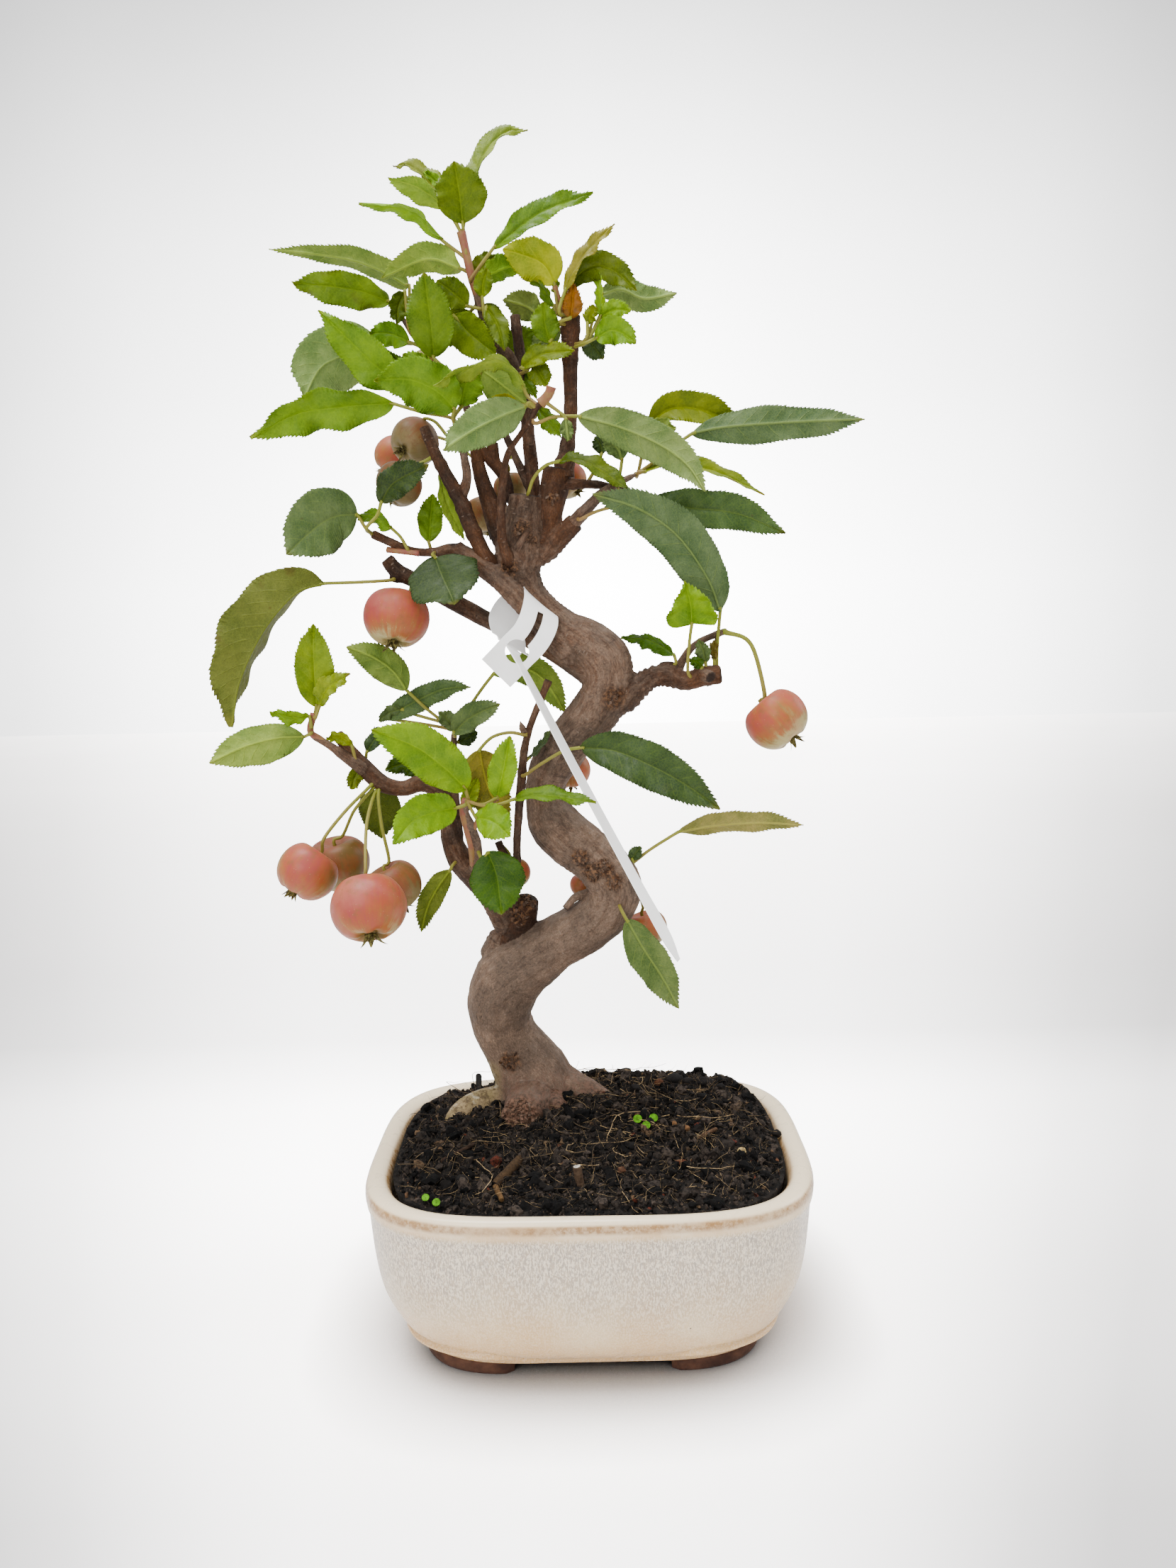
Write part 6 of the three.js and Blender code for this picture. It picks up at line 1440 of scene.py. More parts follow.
        (1, [-98, 256, -100.5, 257, -103, 252, -104.5, 247], -6, -8, 7, 15, 8, "olive", 1),
        (1, [-98, 258, -97, 264, -93, 270, -88, 276], 2, 4, 7, 30, 10, "teal", 1),
        (1, [-66, 247.5, -70, 253, -79, 258, -89, 256], 10, 12, 10, 10, 8, "deep", 0.8),
    ],
    "front_spur_leaves": [
        (1, [-51.5, 241, -53, 246.8, -62, 256, -75, 266, -94.5, 274], -24, -48, 22, 0, 8, "lime", 1),
        (1, [-53, 239, -57.5, 237.5, -66, 236, -77, 232, -86.5, 221.5], -22, -44, 18.5, 5, 8, "lime", 1),
        (2, [-52, 240.5, -45, 239, -38.5, 242, -36, 252, -32, 270], -22, -28, 13.5, 5, 15, "lime", 1),
        (2, [-51.5, 240.5, -42, 238, -31, 241, -18, 243, 6.5, 238.8], -26, -34, 10, 50, 10, "bright", 0.65),
        (1, [-52, 240, -48.5, 233, -41, 231, -33, 224], -26, -34, 16, 0, 6, "lime", 1),
        (1, [-52.5, 233, -53, 236, -50.5, 244, -47, 251], -10, -8, 8, 10, 10, "olive", 1.7),
    ],
    "round_green_leaf": [
        (1, [-46, 213.5, -43.5, 217, -40, 207, -38.8, 197, -38, 187.8], -14, -28, 25, 0, 6, "green", 1),
    ],
    "olive_hanging_leaf": [
        (1, [-59.5, 211.5, -61, 209, -67, 201, -72, 192, -75.3, 180.5], -4, -6, 11, 190, 8, "deep", 0.8),
    ],
    "olive_arch_leaf": [
        (3, [-25, 270.2, -32, 271.5, -40, 269.5, -45.8, 264, -44.3, 254, -41, 243, -33, 233],
         -10, -4, 21, 185, 6, "olive", 1.05),
        (1, [-25.3, 258, -23.5, 260, -18, 265, -14, 272], -4, -2, 6, 55, 10, "teal", 1),
    ],
    "upper_left_leaves": [
        (2, [-56.5, 273, -68, 282, -77.8, 291.5, -84, 300.5, -93, 307, -104, 311.5],
         2, -4, 15, 185, 8, "green", 1.15),
        (2, [-56.5, 273, -70, 276, -88, 279, -76, 285.5, -62, 291.5, -49, 292.5],
         8, 0, 11, 15, 12, "teal", 1.7),
        (1, [-56.5, 270.5, -57.5, 272, -49, 279, -36, 284.5], -4, -10, 12, 8, 12, "grey", 1.1),
        (1, [-56.5, 272, -57, 274, -60, 278, -63.5, 281.5], -2, -8, 8, 10, 8, "grey", 1.1),
        (1, [-57, 268, -55.5, 267.5, -51, 269.5, -46.5, 272], 4, 4, 7, 10, 8, "dark", 1),
        (1, [-76, 281, -80, 283, -86, 281.5, -91, 278], 6, 4, 6, 20, 8, "grey", 1),
        (3, [-56, 274, -49, 284.5, -43.5, 292, -38.5, 298, -29, 301, -17, 296, -6.5, 280],
         5, 12, 14, 182, 8, "sage", 1.15),
    ],
}


def leafFinish(name, under):
    leaf = Finish(name, Roughness=0.6 if under else 0.42, Specular_IOR_Level=0.08 if under else 0.12)
    place = leaf.place
    vein, across, edge = split(leaf.attribute("blade", "Vector"))
    tint = leaf.attribute("tint", "Color")
    scorch = leaf.attribute("scorch")
    # 0.5 on a side vein, 0 half way between two
    beat = calc("ABSOLUTE", calc("SUBTRACT", calc("FRACT", vein), 0.5))
    beat = plus(beat, soft(place, 260, 3, 0.3, 0.7, -0.035, 0.035))
    side = times(fade(beat, 0.44, 0.5), fade(edge, 0.95, 0.6))
    rib = fade(calc("ABSOLUTE", across), 0.0005, 0.0001)
    veins = calc("MAXIMUM", times(side, 0.6), rib)
    net = fade(cells(place, 800, "DISTANCE_TO_EDGE"), 0.14, 0.0)
    patch = cloud(place, 70, 5, 0.6)
    speck = cloud(place, 900, 3, 0.7)
    low = shaded(tint, 0.58, 0.66, 0.4)
    high = shaded(tint, 1.4, 1.25, 0.9)
    base = mix(fade(patch, 0.32, 0.68), low, high)
    base = mix(fade(speck, 0.35, 0.7, 0.0, 0.35), base, low)
    light = mix(0.22, shaded(tint, 1.8, 1.65, 1.0), "8a9a10")
    base = mix(times(net, 0.2), base, light)
    base = mix(times(veins, 0.5 if under else 0.36), base, light)
    rust = fade(plus(cloud(place, 120, 4), times(edge, 0.16)), 0.66, 0.82)
    spots = times(fade(cells(place, 210), 0.16, 0.08), soft(place, 45, 2, 0.56, 0.66))
    burn = times(calc("MAXIMUM", rust, fade(scorch, 0.9, 1.4)), fade(scorch, 0.1, 0.9))
    base = mix(times(fade(scorch, 0.2, 0.9), 0.35), base, "6d6216")
    base = mix(calc("MAXIMUM", times(burn, 0.85), times(spots, 0.45)), base, "40280f")
    fine = bump(cloud(place, 1300, 3), 0.3, 0.0002)
    fine = bump(cloud(place, 380, 3), 0.4, 0.0005, fine)
    fine = bump(net, 0.3 if under else -0.3, 0.0002, fine)
    return leaf.made(base, bump(veins, 0.8 if under else -0.6, 0.0004, fine),
                     soft(place, 300, 3, 0.3, 0.7, 0.5 if under else 0.36, 0.68 if under else 0.54))


def stalkFinish():
    stalk = Finish("leafStalk", Roughness=0.55, Specular_IOR_Level=0.25)
    place = stalk.place
    base = mix(stalk.attribute("tone"), "6f7a1c", "7d443a")
    base = mix(soft(place, 260, 4, 0.35, 0.7, 0, 0.4), base, "857a34")
    return stalk.made(base, bump(cloud(place, 900, 2), 0.3, 0.0003))


leafTop, leafUnder = leafFinish("leafUpper", False), leafFinish("leafUnderside", True)
stalkSkin = stalkFinish()

woodLine = np.vstack([stemLine(stem[3], 1.5)[0]
                      for group in (oldWood, youngWood) for stem in group["stems"].values()])


def rooted(points):
    # a stalk that starts off the wood is led to the nearest stem
    away = np.linalg.norm(woodLine[:, :3] - points[0], axis=1) - woodLine[:, 3]
    nearest = woodLine[away.argmin(), :3]
    return points if np.linalg.norm(nearest - points[0]) < 1.2 * mm else np.vstack([nearest, points])


def addStalk(build, points, radius, tone, slot, sides=8, flare=1.5):
    line, run = spline(points, max(len(points) * 5, 10))
    share = np.linspace(0, 1, len(line))
    swell = 1 + (flare - 1) * np.exp(-share * run / (2.2 * mm)) + 0.12 * smoothstep(0.85, 1, share)
    size = radius * mm * swell
    _, across, lift = frames(line)
    ring = hoops(line, across, lift, circle(sides), size).reshape(-1, 3)
    ends = [list(range(sides))[::-1], list(range(len(ring) - sides, len(ring)))]
    tones = np.repeat(np.clip(tone[0] + (tone[1] - tone[0]) * share, 0, 1), sides)
    build.add(ring, gridFaces(len(line), sides, closed=True) + ends, slot, tone=tones)


def ripples(rng, along, across, terms, low, high):
    # a smooth random swell over the blade
    total = np.zeros(np.broadcast_shapes(along.shape, across.shape))
    for _ in range(terms):
        total += np.sin(math.tau * (rng.uniform(low, high) * along + rng.uniform(-0.5, 0.5) * across)
                        + rng.uniform(0, math.tau)) / terms ** 0.5
    return total


def addLeaf(build, row, seed):
    onStalk, spots, near, far, width, roll, fold, tone, bright = row[:9]
    extra = row[9] if len(row) > 9 else {}
    rng = random.Random(seed)
    spots = np.reshape(spots, (-1, 2))
    depths = np.linspace(near, far, len(spots) - onStalk)
    path = np.array([seen(a, u, d) for (a, u), d in zip(spots[onStalk:], depths)])
    _, long = spline(path, 8)
    pitch = leafLook["toothPitch"] * (0.62 + 0.38 * min(long / (50 * mm), 1.15)) * mm
    teeth = max(int(long / pitch), 8)
    shares, tooth, bite = [0.0], [0.0], [[1.0, 1.0]]
    for i in range(teeth):
        sizes = [rng.uniform(0.55, 1.25), rng.uniform(0.55, 1.25)]
        for part, high in ((0.04, 0.0), (0.45, 0.6), (0.86, 1.0)):
            shares.append(0.015 + 0.975 * (i + part) / teeth)
            tooth.append(high)
            bite.append(sizes)
    shares, tooth, bite = np.array(shares + [1.0]), np.array(tooth + [0.0]), np.array(bite + [[1.0, 1.0]])
    centre, _ = spline(path, shares)
    along = unit(np.gradient(centre, axis=0))
    toEye = unit(eyePlace - centre)
    side0 = unit(np.cross(along, toEye))
    face0 = np.cross(side0, along)
    swing = rng.uniform(-9, 9) * np.sin(math.pi * shares * rng.uniform(0.8, 1.6))
    turn = np.radians(roll + extra.get("twist", 0) * shares + swing)[:, None]
    side = side0 * np.cos(turn) + face0 * np.sin(turn)
    face = face0 * np.cos(turn) - side0 * np.sin(turn)
    a, b = extra.get("shape", (0.6, 0.8))
    peak = (a / (a + b)) ** a * (b / (a + b)) ** b
    share = np.clip(shares, 1e-4, 0.9999)
    half = width / 2 * mm * nearness(near) * share ** a * (1 - share) ** b / peak
    half *= 1 - 0.28 * smoothstep(0.8, 0.97, shares)
    half = np.maximum(half, 0.25 * mm)[:, None]
    xs = np.array([0.03, 0.1, 0.2, 0.34, 0.5, 0.66, 0.8, 0.92, 1.0])
    xs = np.concatenate([-xs[::-1], [0], xs])[None, :]
    size = np.abs(xs)
    long2 = shares[:, None]
    half = half * (1 + 0.03 * ripples(rng, long2, np.sign(xs), 3, 1.0, 3.2))
    half = half * np.where(xs < 0, rng.uniform(0.92, 1.03), 1.0)
    gap = leafLook["veinGap"] * mm * rng.uniform(0.85, 1.15) * (0.55 + 0.45 * min(long / (50 * mm), 1))
    beat = long / gap * long2 - 0.95 * size ** 1.2 * half / gap + np.where(xs < 0, 0.9, 0.5)
    beat = beat + 0.1 * ripples(rng, long2, xs, 2, 1.0, 3.0)
    quilt = leafLook["quilt"] * mm * np.abs(np.sin(math.pi * beat)) ** 0.7
    quilt = quilt * (1 - np.exp(-(size / 0.12) ** 2)) * (1 - size ** 5) * smoothstep(0, 0.12, long2)
    wave = extra.get("wave", rng.uniform(0.6, 1.2)) * mm * size ** 2
    wave = wave * ripples(rng, long2, np.sign(xs), 4, 1.0, 4.5)
    swell = 0.45 * mm * size * ripples(rng, long2, xs, 4, 1.0, 3.5)
    curl = extra.get("curl", rng.uniform(-0.9, 1.3)) * mm * size ** 2 * (half / (9 * mm))
    groove = -0.3 * mm * np.exp(-(size * half / (0.6 * mm)) ** 2)
    fadeTeeth = (smoothstep(0.0, 0.12, shares) * smoothstep(1.0, 0.93, shares))[:, None]
    bitten = np.where(xs < 0, bite[:, :1], bite[:, 1:])
    edge = smoothstep(0.84, 1.0, size) * tooth[:, None] * bitten * fadeTeeth
    toothSize = leafLook["toothSize"] * (0.6 + 0.4 * min(long / (50 * mm), 1.1)) * mm
    lift = math.radians(fold) * (1 - 0.4 * long2)
    reach = half * xs + np.sign(xs) * edge * toothSize
    raised = np.abs(reach) * np.sin(lift) + quilt + wave + swell + curl + groove
    points = (centre[:, None] + side[:, None] * (reach * np.cos(lift))[..., None]
              + face[:, None] * raised[..., None] + along[:, None] * (edge * 0.5 * pitch)[..., None])
    rows, columns = points.shape[:2]
    du = np.gradient(points, axis=0)
    dx = np.gradient(points, axis=1)
    normal = unit(np.cross(dx, du))
    normal *= np.sign((normal * face[:, None]).sum(-1, keepdims=True) + 1e-9)
    thick = leafLook["thick"] * mm * (0.35 + 0.65 * (1 - size ** 6))[..., None]
    ridge = 0.22 * mm * (np.exp(-(size * half / (0.5 * mm)) ** 2) * smoothstep(1.0, 0.7, long2))[..., None]
    lower = points - normal * (thick + ridge)
    upper, under = leafLook["tones"][tone]
    jitter = rng.uniform(0.97, 1.03) * bright
    warm = rng.uniform(-0.05, 0.05)
    shade = np.array([jitter * (1 + warm), jitter, jitter * (1 - warm)])
    blade = np.stack([beat, xs * half, np.broadcast_to(size, beat.shape)], -1).reshape(-1, 3)
    scorch = extra.get("scorch", rng.uniform(0.0, 0.25)) + rng.uniform(0.3, 0.9) * smoothstep(0.9, 1.0, long2)
    scorch = np.broadcast_to(scorch + 0 * xs, beat.shape).ravel()
    rib = columns // 2
    flip = np.dot(np.cross(points[1, rib + 3] - points[1, rib], points[2, rib] - points[1, rib]), face[1]) < 0
    first = build.count
    for slot, (sheet, skin) in enumerate(((points, upper), (lower, under))):
        build.add(sheet.reshape(-1, 3), gridFaces(rows, columns, flip=flip == (slot == 0)), slot, blade=blade,
                  scorch=scorch, tint=np.array(hexColour(skin)[:3]) * shade)
    rim = [r * columns for r in range(rows)] + [(rows - 1) * columns + c for c in range(1, columns)]
    rim += [r * columns + columns - 1 for r in range(rows - 2, -1, -1)] + list(range(columns - 2, 0, -1))
    total = rows * columns
    for i, v in enumerate(rim):
        w = rim[(i + 1) % len(rim)]
        quad = [first + v, first + w, first + w + total, first + v + total]
        build.faces.append(quad[::-1] if flip else quad)
        build.slots.append(0)

    stalkPoints = np.array([seen(p, q, near) for p, q in spots[:onStalk + 1]])
    stalkPoints[-1] = centre[0]
    path = np.vstack([rooted(stalkPoints), (centre - face * 0.3 * mm)[1:3]])
    addStalk(build, path, leafLook["stalkRadius"], (rng.uniform(0.2, 0.8), 0.05), 2)


# soft young shoots that carry the leaves: path, radius, tone at the foot and at the tip (1 is pink)
shoots = {
    "lowFront": ([(-50, 207, 4), (-50.5, 218, -9), (-52.5, 228, -14), (-54, 236, -16), (-52.5, 241, -18)],
                 1.9, 0.75, 1.0),
    "lowFrontArm": ([(-51, 224, -12), (-47.5, 232, -16), (-43, 238.5, -18), (-38.5, 241.5, -20)],
                    1.1, 0.9, 0.7),
    "apex": ([(-37, 450, 3), (-41, 463, 1), (-43, 470, 0), (-45, 480, -1), (-46.8, 488.5, -2)],
             1.8, 0.8, 1.0),
    "frontBud": ([(-14.5, 415.5, -14.5), (-12.4, 417.5, -15), (-10.4, 420, -16), (-9.4, 422.8, -16.5)],
                 2.1, 0.8, 1.0),
    "rightTop": ([(-1, 452, 3), (-4.5, 458, 1), (-7, 465, 0)], 1.1, 0.9, 0.8),
    "rightTopArm": ([(-1, 452, 3), (-2, 461, 0), (-1.5, 467, -2)], 1.1, 1.0, 0.6),
    "leftTip": ([(-112, 266, -8), (-118, 270.5, -8), (-122, 274, -9), (-120, 282, -9)], 1.5, 0.9, 1.0),
    "upperLeft": ([(-84, 354, 0), (-77, 353, -2), (-70, 352, -3)], 1.2, 0.9, 1.0),
}


def makeShoots():
    build = Build()
    for path, radius, foot, tip in shoots.values():
        addStalk(build, np.array([seen(*p) for p in path]), radius, (foot, tip), 0, sides=12, flare=1.2)
    ride(build.finish("youngShoots", [stalkSkin]), "young_bark")


makeShoots()


def pieceName(nodeName):
    first, *rest = nodeName.split("_")
    return first + "".join(word.title() for word in rest)


def makeLeaves():
    number = 0
    for nodeName, rows in leaves.items():
        build = Build()
        for row in rows:
            number += 1
            addLeaf(build, row, number * 17 + 3)
        piece = build.finish(pieceName(nodeName.rsplit("_", 1)[0]) + "Leaves",
                             [leafTop, leafUnder, stalkSkin])
        ride(piece, "young_leaf" if rows[0][7] == "lime" else "leaf", nodeName)
    print("leaves made:", number)


makeLeaves()

# fruits: centre, radius, where the blossom end points, stalk, look (red, cream at the bottom,
# brightness) and how thick the stalk is

fruits = {
    "fruit_hanging_left": ((-126.3, 209.8, -26), 14, (-0.55, -0.75, -0.3),
                           [(-97, 247.5, -9), (-108, 237, -16), (-118, 225, -24)], (0.56, 0.2, 0.97), 0.78),
    "fruit_hanging_back": ((-112, 213.5, 5), 14.2, (0.1, -1, 0.2),
                           [(-97, 245, -7), (-104, 237, -2), (-109.5, 226, 4)], (0.3, 0.5, 0.76), 0.75),
    "fruit_hanging_front": ((-99.2, 192.6, -48), 17.4, (0.15, -0.85, -0.5),
                            [(-94.5, 244, -9), (-98.5, 230, -30), (-99.8, 209, -46)], (0.82, 0.6, 0.95),
                            0.78),
    "fruit_hanging_right": ((-87.3, 202.2, -14), 13, (0.4, -0.9, 0.1),
                            [(-92.5, 244.5, -8), (-91.5, 230, -12), (-88.8, 214, -13)], (0.27, 0.5, 0.74),
                            0.75),
    "fruit_left_limb": ((-81.2, 324.2, -4), 14.8, (-0.1, -1, -0.35),
                        [(-74.5, 336, -1), (-76.3, 333, -3)], (0.9, 0.85, 0.97), 0.8),
    "fruit_crown_left": ((-70, 400.5, 16), 10.8, (-0.55, -0.5, -0.6),
                         [(-51, 397, -3), (-56, 403, 3), (-61, 409, 9), (-66, 410, 13)], (0.2, 0.5, 0.8),
                         0.75),
    "fruit_crown_back": ((-78.5, 394, 46), 9.8, (-0.6, -0.6, 0),
                         [(-43, 392, 13), (-54, 400, 26), (-64, 403, 36), (-70, 401, 42)], (0.42, 0.5, 0.95),
                         0.75),
    "fruit_crown_low": ((-77.7, 382.5, -2), 10.3, (-0.55, -0.85, -0.3),
                        [(-65, 392.5, -2), (-70, 390.5, -2)], (0.1, 0.5, 0.8), 0.75),
    "fruit_right": ((88.8, 275, -6), 14.2, (0.62, -0.75, -0.2),
                    [(66.5, 314.3, -3), (75, 311.5, -4), (79.5, 304, -5), (83.5, 286, -6)], (0.66, 1, 1),
                    0.98),
    "fruit_behind_stump": ((-3, 382.5, 22), 8.3, (0.6, -0.75, -0.2),
                           [(-9, 369, 12), (-8, 375, 18)], (0.4, 0.5, 0.9), 0.75),
    "fruit_behind_limb": ((-39.5, 368.5, 26), 10, (0.2, -1, -0.1),
                          [(-39, 386, 14), (-39.5, 380, 22)], (0.3, 0.5, 0.95), 0.75),
    "fruit_behind_trunk": ((-5, 254, 29), 9.4, (0.1, -1, 0),
                           [(-3, 272, 18), (-4.5, 264, 26)], (0.8, 0.5, 1), 0.75),
    "fruit_under_leaf": ((28.5, 180, 20), 9.7, (0.3, -1, 0),
                         [(23, 201, 14), (27, 190.5, 19)], (0.4, 0.5, 0.95), 0.75),
    "fruit_behind_twig": ((-32, 207, 6), 7.8, (0.2, -1, 0),
                          [(-38, 221, 5.8), (-34, 216.5, 6)], (0.5, 0.5, 0.9), 0.75),
    "fruit_crown_small": ((-66, 433.5, 2), 6.2, (-0.6, 0.8, -0.2),
                          [(-60, 432.5, 4), (-63, 432, 2)], (0.45, 0.5, 0.85), 0.7),
    "fruit_behind_arm": ((-28.5, 380, 24), 7.5, (0.2, -1, -0.1),
                         [(-30, 392, 15), (-29, 388, 22)], (0.35, 0.5, 0.9), 0.75),
    "fruit_low_trunk": ((0, 201, 24), 6.3, (0.1, -1, 0),
                        [(6, 212, 12), (2, 208, 22)], (0.5, 0.5, 0.8), 0.75),
    "fruit_small_back": ((-13, 365.5, 22), 7.2, (0.5, -0.8, 0),
                         [(-12, 376, 11), (-12.5, 373, 17)], (0.5, 0.5, 0.9), 0.75),
}

fruitLook = {"around": 64, "rows": 40, "sepal": 0.34}


def fruitFinish():
    skin = Finish("fruitSkin", Roughness=0.4, Specular_IOR_Level=0.22)
    place = skin.place
    grain = skin.attribute("skin", "Vector")     # around the core, and from stalk (0) to blossom end (1)
    red, cream, bright = split(skin.attribute("look", "Vector"))
    down = split(grain)[2]
    stripe = cloud(stretch(grain, 1, 1, 0.25), 5.0, 5, 0.65)
    patch = cloud(place, 75, 5, 0.6)
    broad = cloud(place, 38, 3)
    shade = plus(calc("SUBTRACT", patch, 0.5), times(calc("SUBTRACT", stripe, 0.5), 0.7))
    shade = plus(shade, times(calc("SUBTRACT", broad, 0.5), 0.9))
    blush = plus(times(red, 0.9), times(shade, 1.7))
    blush = calc("SUBTRACT", blush, times(fade(down, 0.42, 0.95), cream))
    ground = mix(fade(down, 0.3, 0.85), "6e5320", "9c8f5e")
    base = mix(fade(blush, 0.0, 0.4), ground, "8c5528")
    base = mix(fade(blush, 0.3, 0.7), base, "92442b")
    base = mix(fade(blush, 0.6, 1.1), base, "8c3b35")
    bloom = times(soft(place, 60, 4, 0.48, 0.72, 0.0, 0.45), fade(red, 0.4, 0.8, 0.2, 1.0))
    base = mix(bloom, base, "a0624f")
    russet = soft(place, 230, 5, 0.48, 0.7, 0, 0.6, rough=0.75)
    base = mix(russet, base, "6f4e28")
    streaks = cloud(stretch(grain, 1, 1, 0.12), 16.0, 4, 0.7)
    base = mix(fade(streaks, 0.5, 0.7, 0, 0.25), base, "8c3a2c")
    dull = fade(red, 0.45, 0.1, 0.0, 0.75)
    base = mix(dull, base, mix(fade(patch, 0.35, 0.65), "4d3c1c", "6b4426"))
    dots = fade(cells(place, 520), 0.12, 0.05)
    base = mix(times(dots, 0.3), base, "b8946c")
    green = fade(plus(down, fade(patch, 0.3, 0.7, -0.06, 0.06)), 0.84, 0.99, 0, 0.8)
    green = times(green, fade(cream, 0.1, 0.8, 0.5, 1.0))
    base = mix(green, base, "5f5a26")
    return skin.made(mix(1.0, base, bright, "MULTIPLY"),
                     bump(dots, 0.25, 0.0002, bump(cloud(place, 120, 3), 0.2, 0.0008)),
                     soft(place, 240, 3, 0.3, 0.7, 0.34, 0.55))


def calyxFinish():
    dried = Finish("driedCalyx", Roughness=0.85, Specular_IOR_Level=0.15)
    place = dried.place
    return dried.made(mix(soft(place, 900, 3, 0.35, 0.7), "31260f", "77703c"),
                      bump(cloud(place, 1600, 3), 0.6, 0.0003))


def makeFruits():
    skin, dried = fruitFinish(), calyxFinish()
    for index, (name, (centre, radius, towards, stalk, look, thick)) in enumerate(fruits.items()):
        rng = random.Random(index * 31 + 7)
        build = Build()
        middle = seen(*centre)
        size = radius * nearness(centre[2]) * mm
        tip = unit(np.array([towards[0], towards[2], towards[1]], float))   # given as across, up, back
        side = unit(np.cross(tip, [0.31, 0.9, 0.2]))
        other = np.cross(tip, side)
        rows, around = fruitLook["rows"], fruitLook["around"]
        turns = circle(around)
        points, grain = [], []
        spin = rng.uniform(0, 6)
        for r in range(rows + 1):
            share = r / rows
            polar = math.pi * share
            wide = math.sin(polar) ** 0.86
            high = math.cos(polar) * 0.9
            high -= 0.3 * math.exp(-(share / 0.13) ** 2)                    # the dimple at the stalk
            high += 0.2 * math.exp(-((1 - share) / 0.085) ** 2)             # the eye at the blossom end
            knobs = 0.035 * math.exp(-((share - 0.9) / 0.07) ** 2)
            ribs = 0.012 * math.sin(polar)
            for t in turns:
                grow = 1 + ribs * math.cos(5 * t + spin) + knobs * math.cos(5 * t + spin)
                at = Vector((math.cos(t) * 1.2, math.sin(t) * 1.2, share * 3 + index * 5))
                swell = grow + 0.018 * noise.noise(at)
                out = side * math.cos(t) + other * math.sin(t)
                points.append(middle + size * (swell * wide * out
                                               - tip * (high + knobs * 0.9 * math.cos(5 * t + spin))))
                grain.append((math.cos(t) + index * 3.1, math.sin(t), share))
        points = np.array(points)
        spot = points[around * 20]
        flip = np.dot(np.cross(points[around * 20 + 1] - spot, points[around * 21] - spot), spot - middle) < 0
        build.add(points, gridFaces(rows + 1, around, closed=True, flip=flip), 0, skin=np.array(grain),
                  look=look)
        # dried sepals and stamens at the eye
        eye = middle + tip * size * 0.74
        for k in range(5):
            turn = spin + k * math.tau / 5 + rng.uniform(-0.2, 0.2)
            out = side * math.cos(turn) + other * math.sin(turn)
            wide = np.cross(tip, out)
            long = rng.uniform(0.26, fruitLook["sepal"]) * size * 1.15
            spread = rng.uniform(0.1, 0.75)
            rowsList = []
            for j in range(6):
                s = j / 5
                bend = s * 1.2 * spread
                spine = (eye + out * (0.12 * size + long * s * math.sin(bend + 0.25))
                         + tip * (long * s * math.cos(bend) + 0.02 * size))
                w = 0.11 * size * (1 - s) ** 0.8 + 0.1 * mm
                rowsList += [spine - wide * w, spine + out * 0.12 * w, spine + wide * w]
            front = np.array(rowsList)
            back = front - (out * 0.22 + tip * 0.08) * mm
            faces = gridFaces(6, 3) + gridFaces(6, 3, flip=True, start=18)
            rim = [0, 3, 6, 9, 12, 15, 16, 17, 14, 11, 8, 5, 2, 1]
            faces += [[a, b, b + 18, a + 18] for a, b in zip(rim, rim[1:] + rim[:1])]
            build.add(np.vstack([front, back]), faces, 1)
        for k in range(9):
            turn = rng.uniform(0, math.tau)
            out = side * math.cos(turn) + other * math.sin(turn)
            base = eye + out * 0.06 * size
            top = base + (tip + out * rng.uniform(0.1, 0.7)) * size * rng.uniform(0.14, 0.24)
            addStalk(build, np.array([base, (base + top) / 2, top]), 0.13, (0, 0), 1, sides=4, flare=1.0)
        path = rooted(np.array([seen(*p) for p in stalk]))
        whole = np.vstack([path, middle - tip * size * 0.8, middle - tip * size * 0.5])
        addStalk(build, whole, thick, (0.05, 0.2 + 0.4 * look[0]), 2, flare=1.7)
        piece = build.finish(pieceName(name), [skin, dried, stalkSkin])
        ride(piece, "fruit_skin", *([name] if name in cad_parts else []))
    print("fruits made:", len(fruits))


makeFruits()

# plant label: a plastic strip whose tail is pulled through a slotted head, with nothing written on it

label = {
    "thick": 0.45, "headWidth": 17.5, "slot": 2.9, "slotEnd": 35.5, "hole": 5.3, "holeAt": 13.6,
    # across, up, depth of the band: square-cut head, over the limb, down behind it to the hole
    "band": [(-37.3, 298.3, -12.5), (-32.5, 303, -13.8), (-28.1, 307.4, -14.8), (-21.9, 313.4, -15.8),
             (-18.3, 319.3, -14.8), (-16.6, 325, -11), (-16.8, 328.8, -5.5), (-18.7, 330, 0.5),
             (-23, 328.5, 4.2), (-28.5, 326, 4.5), (-31.7, 320.5, 1.5), (-31, 313.5, -4.5),
             (-29.2, 309.6, -10)],
    # the tail, its turn from the band's lie (0) to on edge (1), and its width
    "tail": [(-29.2, 309.6, -10, 0.0, 9), (-29.6, 309.2, -13, 0.1, 8), (-29.4, 308.4, -16.5, 0.5, 8),
             (-27.6, 304.6, -18.5, 0.92, 9), (-20, 289.5, -20, 1.08, 9), (0, 249, -25, 1.15, 9),
             (24, 202, -29, 1.2, 9), (37, 177, -32, 1.25, 9), (43.2, 164.3, -33, 1.25, 3)],
    "limbWay": (0.75, 0.0, -0.66), "edgeWay": (0.16, 0.98, 0.08), "openWay": (0.5, 0.82, 0.28),
}


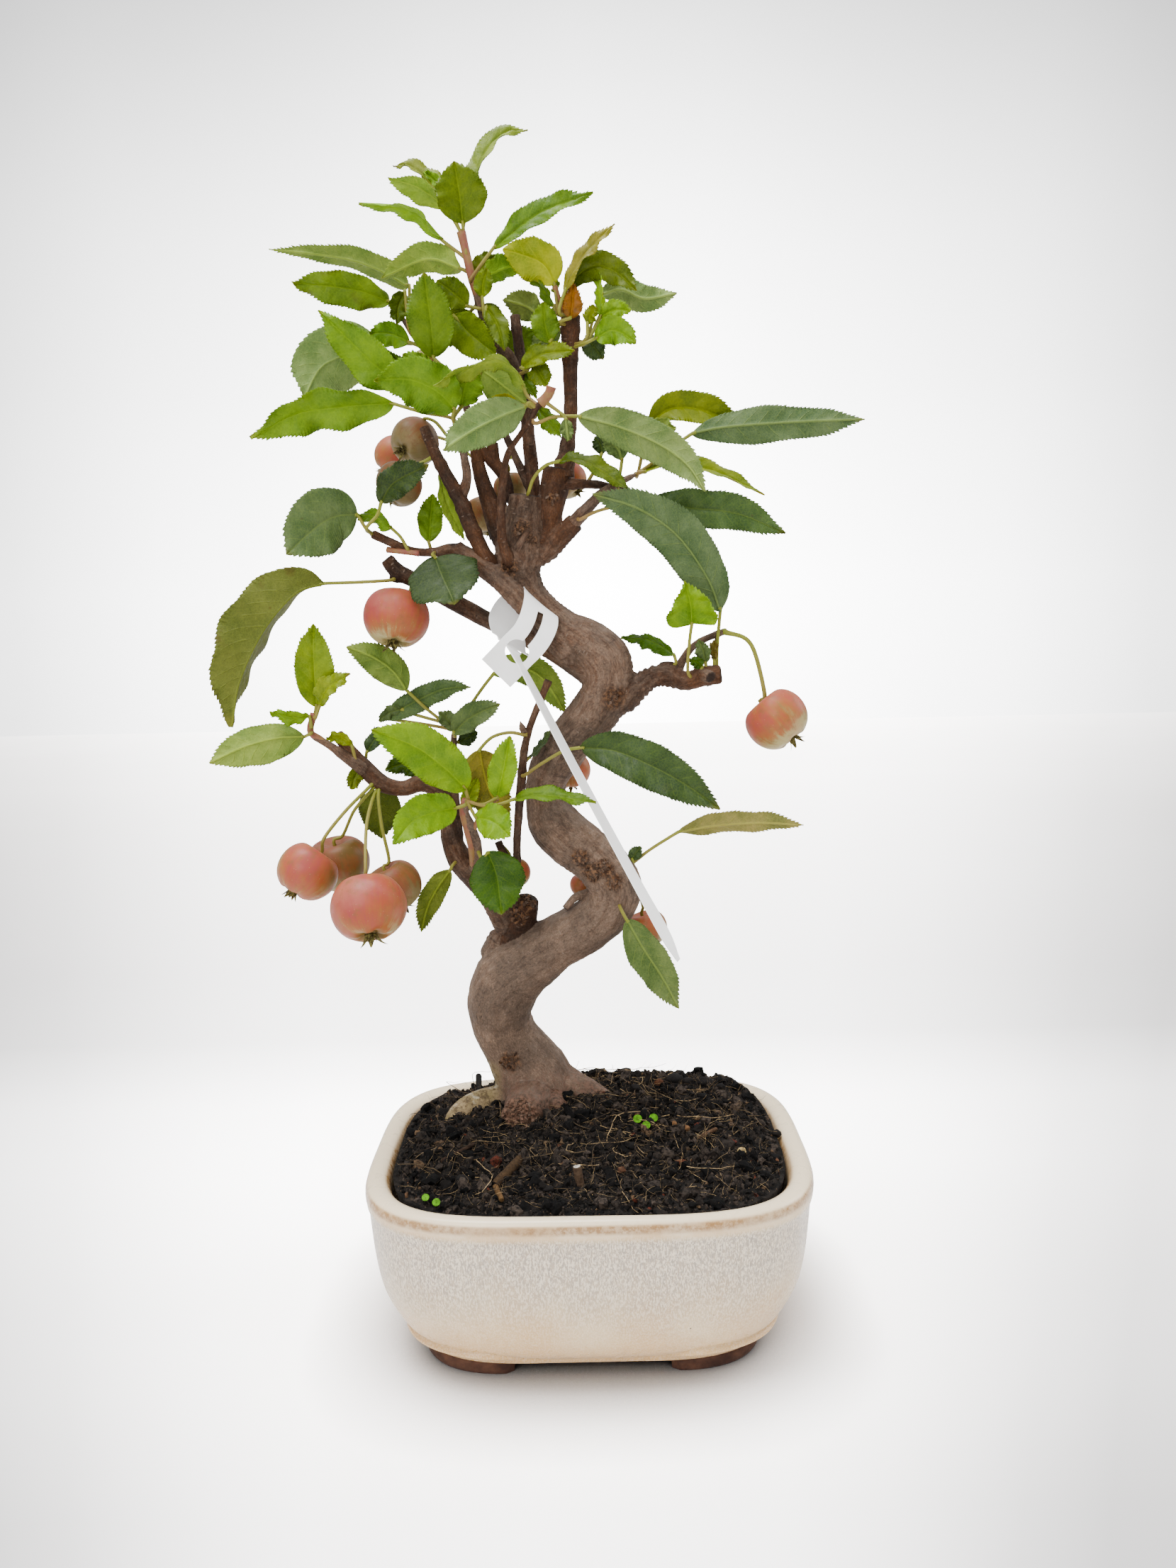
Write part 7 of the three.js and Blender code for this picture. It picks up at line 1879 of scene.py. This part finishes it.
def labelFinish():
    plastic = Finish("labelPlastic", Roughness=0.42, Specular_IOR_Level=0.3)
    place = plastic.place
    return plastic.made(mix(soft(place, 60, 4, 0.35, 0.7), "f6f5f3", "fefefd"),
                        bump(cloud(place, 800, 2), 0.12, 0.0002), soft(place, 300, 3, 0.3, 0.7, 0.36, 0.5))


def strip(build, path, ways, widths, pierced, xs):
    # a thin strip along a path, with a round hole that opens into a slot where it is pierced
    run = runAlong(path) / mm
    s = np.repeat(run[:, None], len(xs), 1)
    x = xs[None, :] * widths[:, None] / mm
    rows, columns = s.shape
    keep = np.ones((rows - 1, columns - 1), bool)
    if pierced:
        at, reach, slot = label["holeAt"], label["hole"], label["slot"] / 2
        midS, midX = (s[:-1, :-1] + s[1:, 1:]) / 2, (x[:-1, :-1] + x[1:, 1:]) / 2
        keep = (midS - at) ** 2 + midX ** 2 > reach ** 2
        keep &= ~((np.abs(midX) < slot) & (midS > at) & (midS < label["slotEnd"]))
        away = np.hypot(s - at, x)
        near = (np.abs(away - reach) < 0.34) & ~((np.abs(x) < slot * 1.02) & (s > at))
        # the hole's edge is drawn to a true circle
        pull = np.where(near, reach / np.maximum(away, 1e-6), 1.0)
        s, x = at + (s - at) * pull, x * pull
    along = unit(np.gradient(path, axis=0))
    ways = unit(ways - along * (ways * along).sum(1, keepdims=True))
    normal = np.cross(ways, along)

    def onPath(values):
        return np.stack([np.interp(s, run, values[:, k]) for k in range(3)], -1)

    flat = onPath(path) + onPath(ways) * x[..., None] * mm
    offset = onPath(normal) * label["thick"] / 2 * mm
    points = np.vstack([(flat + offset).reshape(-1, 3), (flat - offset).reshape(-1, 3)])
    faces, edges, total = [], {}, rows * columns
    for r, c in zip(*np.nonzero(keep)):
        corner = int(r * columns + c)
        v = [corner, corner + 1, corner + columns + 1, corner + columns]
        faces.append(v[::-1])
        faces.append([i + total for i in v])
        for a, b in zip(v, v[1:] + v[:1]):
            edges[(a, b)] = True
    for a, b in edges:
        if (b, a) not in edges:
            faces.append([a, b, b + total, a + total])
    build.add(points, faces)


def makeLabel():
    build = Build()
    limbWay, edgeWay, openWay = (np.array(label[key]) for key in ("limbWay", "edgeWay", "openWay"))
    band, _ = spline([seen(*p) for p in label["band"]], 260)
    slot = label["slot"] / 2 / label["headWidth"]
    xs = np.concatenate([np.linspace(-0.5, -slot, 21)[:-1], np.linspace(-slot, slot, 9),
                         np.linspace(slot, 0.5, 21)[1:]])
    widths = np.full(len(band), label["headWidth"] * mm)
    strip(build, band, np.tile(limbWay, (len(band), 1)), widths, True, xs)
    rows = np.array([[*seen(*p[:3]), p[3], p[4] * mm] for p in label["tail"]])
    tail, _ = spline(rows, 200)
    share = tail[:, 3:4]
    low, high = np.clip(share, 0, 1), np.clip((share - 1) / 0.4, 0, 1)
    ways = limbWay * (1 - low) + (edgeWay * (1 - high) + openWay * high) * low
    strip(build, tail[:, :3], ways, tail[:, 4], False, np.linspace(-0.5, 0.5, 7))
    piece = build.finish("plantLabel", [labelFinish()], smooth=False)
    ride(piece, "label_plastic", "label_tag")
    print("label made")


makeLabel()

print("whole tree ready")
